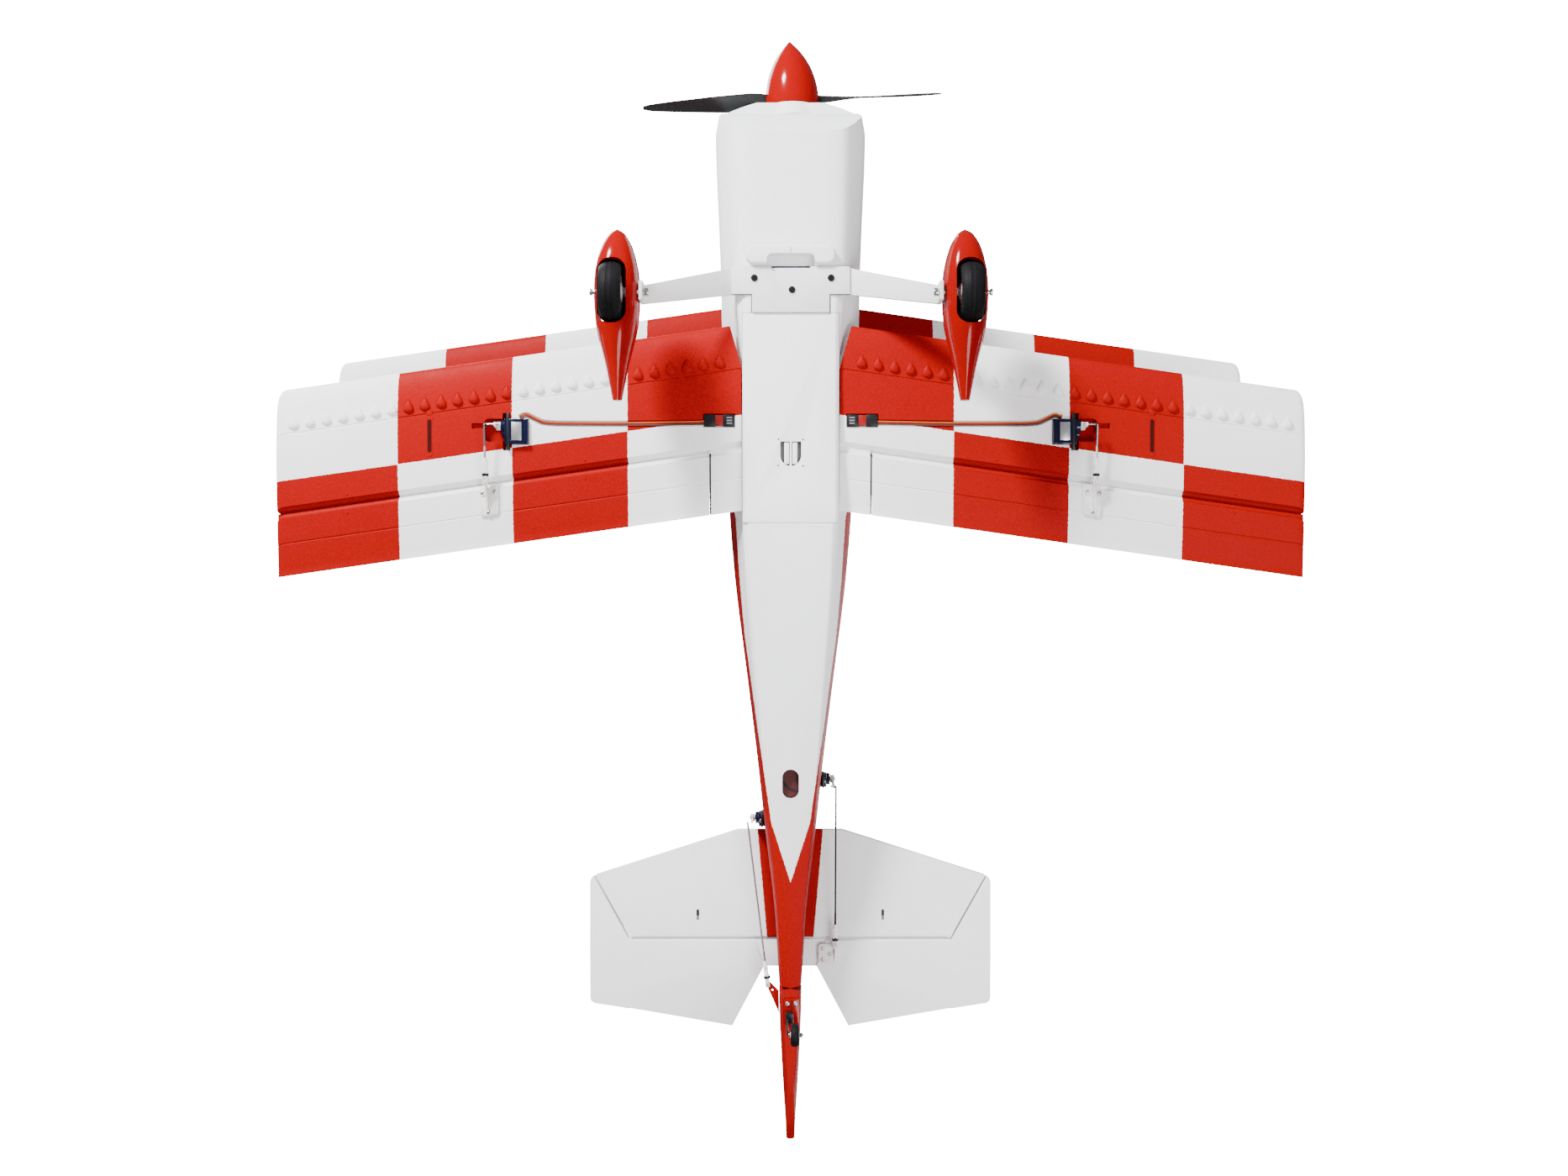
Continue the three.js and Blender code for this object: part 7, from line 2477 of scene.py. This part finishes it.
    def tailwheel(self) -> Part:
        """The small solid wheel with a white middle."""
        centre = (4, 421, 20)
        profile = [(5.2, -3.4), (6.0, -3.9), (8.6, -4.0), (9.8, -3.1), (10.4, -1.7), (10.5, 0.0)]
        profile += [(r, -a) for r, a in reversed(profile[:-1])]
        tyre = BENCH.dress(BENCH.lathe("tailwheel", profile, centre, (1, 0, 0), 48, True), Skin.RUBBER)
        middle = [(1.3, -4.3), (2.6, -4.3), (3.0, -3.6), (4.8, -3.0), (5.25, -3.4)]
        middle += [(r, -a) for r, a in reversed(middle)]
        hub = BENCH.dress(BENCH.lathe("hub", middle, centre, (1, 0, 0), 32, True), Skin.WHITE)
        return BENCH.group("tailwheel", tyre, hub)

    def build(self) -> None:
        """The whole tail."""
        BENCH.deliver(self.stabilizer(), "airframe", "foam_white", "stabilizer")
        BENCH.deliver(self.elevator(), "elevator", "foam_white", "elevator")
        BENCH.deliver(self.rudder(), "rudder", "foam_red", "rudder")
        BENCH.deliver(self.rudder_horn(), "rudder", "red_gloss", "rudder_horn")
        BENCH.deliver(self.bracket(), "rudder", "black_plastic", "tailwheel_bracket")
        BENCH.deliver(self.wire(), "rudder", "black_wire", "tailwheel_wire")
        BENCH.deliver(self.tailwheel(), "tailwheel", "tyre_rubber", "tailwheel", smooth=40)


TAIL = TailMaker()


# ---- Power ----


@dataclass
class PowerSizes:
    """Driving sizes of all that turns in front, about the spinner's base."""

    side_thrust: float = 2.8
    pitch: float = 140.0
    steepest: float = 48.0
    blade_y: float = -8.0
    hub_radius: float = 7.5
    spinner_radius: float = 26.0
    spinner_length: float = 65.0
    spinner_wall: float = 1.6
    spinner_steps: int = 24
    bell_radius: float = 17.0
    shaft_radius: float = 2.5
    vents: int = 6
    vent_ring: float = 9.5


class PowerMaker:
    """Builds the propeller, the spinner and the motor's bell, about the thrust line."""

    def __init__(self, sizes: PowerSizes = PowerSizes()) -> None:
        """Takes the power drive's sizes."""
        self.sizes = sizes

    def place(self, part: Part) -> Part:
        """Moves a part from the thrust line's own axes."""
        turn = Matrix.Rotation(-math.radians(self.sizes.side_thrust), 4, "Z")
        return BENCH.moved(part, Matrix.Translation(BODY.thrust) @ turn)

    def blade_ring(self, radius: float, chord: float, thick: float) -> list[Point]:
        """A section of the blade, turned to its pitch."""
        s = self.sizes
        pitch = min(math.atan(s.pitch / (2 * math.pi * radius)), math.radians(s.steepest))
        section = [
            (-0.5, 0.0), (-0.47, 0.16), (-0.38, 0.34), (-0.2, 0.5), (0.0, 0.47), (0.2, 0.35), (0.4, 0.15),
        ]
        section += [(0.5, 0.03), (0.5, -0.03), (0.25, -0.14), (0.0, -0.22), (-0.25, -0.2), (-0.45, -0.12)]
        points = []
        for along, off in section:
            a, b = -along * chord, off * thick
            y = s.blade_y - a * math.sin(pitch) - b * math.cos(pitch)
            points.append((radius, y, a * math.cos(pitch) - b * math.sin(pitch)))
        return points

    def blades(self, grow: float) -> list[Part]:
        """Both blades; grow makes them fat, as cutters."""
        chords = ((5, 11), (22, 16), (42, 25), (70, 27), (105, 23), (132, 16), (141, 11.5), (145, 7))
        thicks = ((5, 6), (22, 4.4), (42, 3.2), (70, 2.5), (105, 2), (132, 1.6), (145, 1.2))
        radii = [5, 12, 18, 24, 32, 40, 50, 60, 70, 82, 94, 105, 116, 125, 132, 137, 141, 143.6, 145]
        rings = [
            self.blade_ring(r, ladder(chords, r) + 2 * grow, ladder(thicks, r) + 2.6 * grow) for r in radii
        ]
        blade = BENCH.loft("blade", rings)
        return [blade, BENCH.copy(blade, "blade", Matrix.Rotation(math.pi, 4, "Y"))]

    def propeller(self) -> Part:
        """The two-bladed propeller."""
        hub = BENCH.rod("propeller", (0, -13.5, 0), (0, -3, 0), self.sizes.hub_radius, 40, bevel=0.6)
        hub = BENCH.boolean(hub, Cut.JOIN, *self.blades(0))
        hub = BENCH.boolean(hub, Cut.AWAY, BENCH.rod("bore", (0, -30, 0), (0, 10, 0), 2.8, 24))
        return BENCH.dress(hub, Skin.PROP)

    def spinner(self) -> Part:
        """The hollow spinner with a rim round its base and a slot for each blade."""
        s = self.sizes
        base, length, wall = s.spinner_radius, s.spinner_length, s.spinner_wall
        outside = []
        for k in range(s.spinner_steps):
            share = k / s.spinner_steps * 0.99
            outside.append((base * (1 - share**2.5) ** 0.9, -length * share))
        inside = [(max(r - wall, 0.6), min(y * 0.97, -wall)) for r, y in outside[:-2]]
        tip = [(1.2, 0.2 - length), (0, -length), (0, 4.6 - length)]
        profile = [(base, 0), (base, -2.0), (base - 0.3, -2.3), *outside[2:], *tip]
        profile += [*reversed(inside), (8.2, -wall), (8.2, 0)]
        part = BENCH.lathe("spinner", profile, (0, 0, 0), (0, 1, 0), 72, True)
        part = BENCH.boolean(part, Cut.AWAY, *self.blades(0.5))
        return BENCH.dress(part, Skin.GLOSS_RED)

    def bell(self) -> Part:
        """The motor's bell with its shaft and vents."""
        s = self.sizes
        rear = BODY.firewall_y - BODY.thrust[1] - 7.8
        shaft, rim = s.shaft_radius, s.bell_radius
        profile = [(0, rear), (shaft, rear), (shaft, 12), (rim - 2.6, 12), (rim - 2.6, rear), (rim, rear)]
        profile += [(rim, 10.6), (rim - 0.6, 10), (12, 8.5), (shaft, 8.5), (shaft, -16), (0, -16)]
        part = BENCH.lathe("motor_bell", profile, (0, 0, 0), (0, 1, 0), 56, True)
        vents = []
        for k in range(s.vents):
            a = 2 * math.pi * k / s.vents
            x, z = s.vent_ring * math.cos(a), s.vent_ring * math.sin(a)
            vents.append(BENCH.rod("vent", (x, 5, z), (x, 14, z), 2.4, 16))
        return BENCH.dress(BENCH.boolean(part, Cut.AWAY, *vents), Skin.BELL)

    def build(self) -> None:
        """All that turns in front."""
        BENCH.deliver(self.place(self.propeller()), "power_drive", "black_plastic", "propeller", smooth=40)
        BENCH.deliver(self.place(self.spinner()), "power_drive", "red_gloss", "spinner", smooth=40)
        BENCH.deliver(self.place(self.bell()), "power_drive", "motor_metal", "motor_bell", smooth=35)


POWER = PowerMaker()


# ---- Studio ----


@dataclass(frozen=True)
class StudioSizes:
    """The camera in level millimetres, and the room's sizes in metres."""

    camera_x: float = -6.2
    camera_z: float = -1401.0
    lens: float = 34.67
    sensor: float = 36.0
    floor_half: float = 6.0
    floor_grey: float = 0.82
    world: float = 0.26
    backdrop: float = 18.0


class Studio:
    """Pale floor, soft light, and a camera that looks straight up at the aeroplane's belly."""

    def __init__(self, sizes: StudioSizes = StudioSizes()) -> None:
        """Takes the studio's sizes."""
        self.sizes = sizes

    def floor_material(self) -> bpy.types.Material:
        """A pale matt floor that isn't seen from behind and throws no shadow upwards."""
        material = bpy.data.materials.new("studio_floor")
        material.use_nodes = True
        w = Wiring(material.node_tree)
        material.node_tree.nodes.clear()
        grey = self.sizes.floor_grey
        vector = w.node("ShaderNodeTexCoord").outputs["Object"]
        cloud = w.spread(w.noise(vector, 1.2, 3.0), 0.3, 0.7)
        colour = w.blend(cloud, (grey, grey, grey, 1.0), (grey * 0.985, grey * 0.985, grey * 0.985, 1.0))
        pale = w.node("ShaderNodeBsdfDiffuse")
        w.feed(pale.inputs["Color"], colour)
        clear = w.node("ShaderNodeBsdfTransparent")
        path = w.node("ShaderNodeLightPath")
        back = w.node("ShaderNodeNewGeometry").outputs["Backfacing"]
        away = w.maths("MAXIMUM", back, path.outputs["Is Shadow Ray"])
        away = w.maths("MAXIMUM", away, path.outputs["Is Glossy Ray"])
        mix = w.node("ShaderNodeMixShader")
        w.feed(mix.inputs[0], away)
        w.feed(mix.inputs[1], pale.outputs[0])
        w.feed(mix.inputs[2], clear.outputs[0])
        w.feed(w.node("ShaderNodeOutputMaterial").inputs["Surface"], mix.outputs[0])
        return material

    def floor(self) -> None:
        """The floor, one sided, with the wheels standing on it."""
        size = self.sizes.floor_half * 2
        bpy.ops.mesh.primitive_plane_add(size=size, location=(0, 0, 0))
        plane = bpy.context.object
        plane.name = "floor"
        plane.data.materials.append(self.floor_material())

    def world(self) -> None:
        """A white room."""
        world = bpy.data.worlds.new("room")
        bpy.context.scene.world = world
        world.use_nodes = True
        w = Wiring(world.node_tree)
        sky = next(n for n in world.node_tree.nodes if n.type == "BACKGROUND")
        sky.inputs["Color"].default_value = (1.0, 1.0, 1.0, 1.0)
        seen = w.node("ShaderNodeLightPath").outputs["Is Camera Ray"]
        w.feed(sky.inputs["Strength"], w.spread(seen, 0.0, 1.0, self.sizes.world, self.sizes.backdrop))

    def lamp(self, name: str, place: Point, aim: Point, size: float, power: float) -> None:
        """A large soft light aimed at a point, all in metres."""
        light = bpy.data.lights.new(name, "AREA")
        light.shape = "DISK"
        light.size = size
        light.energy = power
        lamp = bpy.data.objects.new(name, light)
        lamp.visible_camera = False
        lamp.location = place
        lamp.rotation_euler = (Vector(aim) - Vector(place)).to_track_quat("-Z", "Y").to_euler()
        bpy.context.scene.collection.objects.link(lamp)

    def camera(self) -> None:
        """The camera, straight below the aeroplane's level plane with its nose at the top."""
        data = bpy.data.cameras.new("camera")
        data.sensor_width = self.sizes.sensor
        data.lens = self.sizes.lens
        data.clip_start = 0.05
        camera = bpy.data.objects.new("camera", data)
        bpy.context.scene.collection.objects.link(camera)
        turn = AXES.turn()
        right, up, back = turn.col[0], -turn.col[1], -turn.col[2]
        matrix = Matrix((right, up, back)).transposed().to_4x4()
        matrix.translation = TO_WORLD @ Vector((self.sizes.camera_x, 0.0, self.sizes.camera_z))
        camera.matrix_world = matrix
        bpy.context.scene.camera = camera

    def build(self) -> None:
        """The whole room."""
        self.floor()
        self.world()
        self.lamp("key_below", (-1.1, -2.0, -0.8), (0.0, -0.1, 0.1), 0.45, 165)
        self.lamp("fill_below", (0.8, 0.5, -1.8), (0.0, 0.0, 0.1), 1.0, 38)
        self.lamp("key_above", (-1.2, -1.4, 2.0), (0.0, 0.0, 0.1), 1.4, 60)
        self.lamp("fill_above", (1.5, 0.9, 1.8), (0.0, 0.0, 0.1), 1.8, 40)
        self.camera()


def dress_frame() -> None:
    """Gives the CAD nodes that stay in view a finish of their own."""
    finishes = {
        "battery": Skin.WRAP,
        "speed_controller": Skin.BLACK,
        "receiver": Skin.BLACK,
        "wing_tube": Skin.CARBON,
        "motor_stator": Skin.COPPER,
    }
    for name, skin in finishes.items():
        node = frame["nodes"][name]
        if not node.material_slots:
            node.data.materials.append(skin.material)
        for slot in node.material_slots:
            slot.material = skin.material


def main() -> None:
    """Builds the aeroplane, its room and its camera."""
    logging.basicConfig(level=logging.INFO, format="%(message)s")
    bpy.ops.object.select_all(action="DESELECT")
    FUSELAGE.build()
    SERVOS.build()
    WINGS.build_lower(SERVOS.wing_cutters())
    WINGS.build_upper()
    STRUTS.build()
    GEAR.build()
    TAIL.build()
    POWER.build()
    dress_frame()
    Studio().build()
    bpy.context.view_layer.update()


if __name__ == "__main__":
    main()
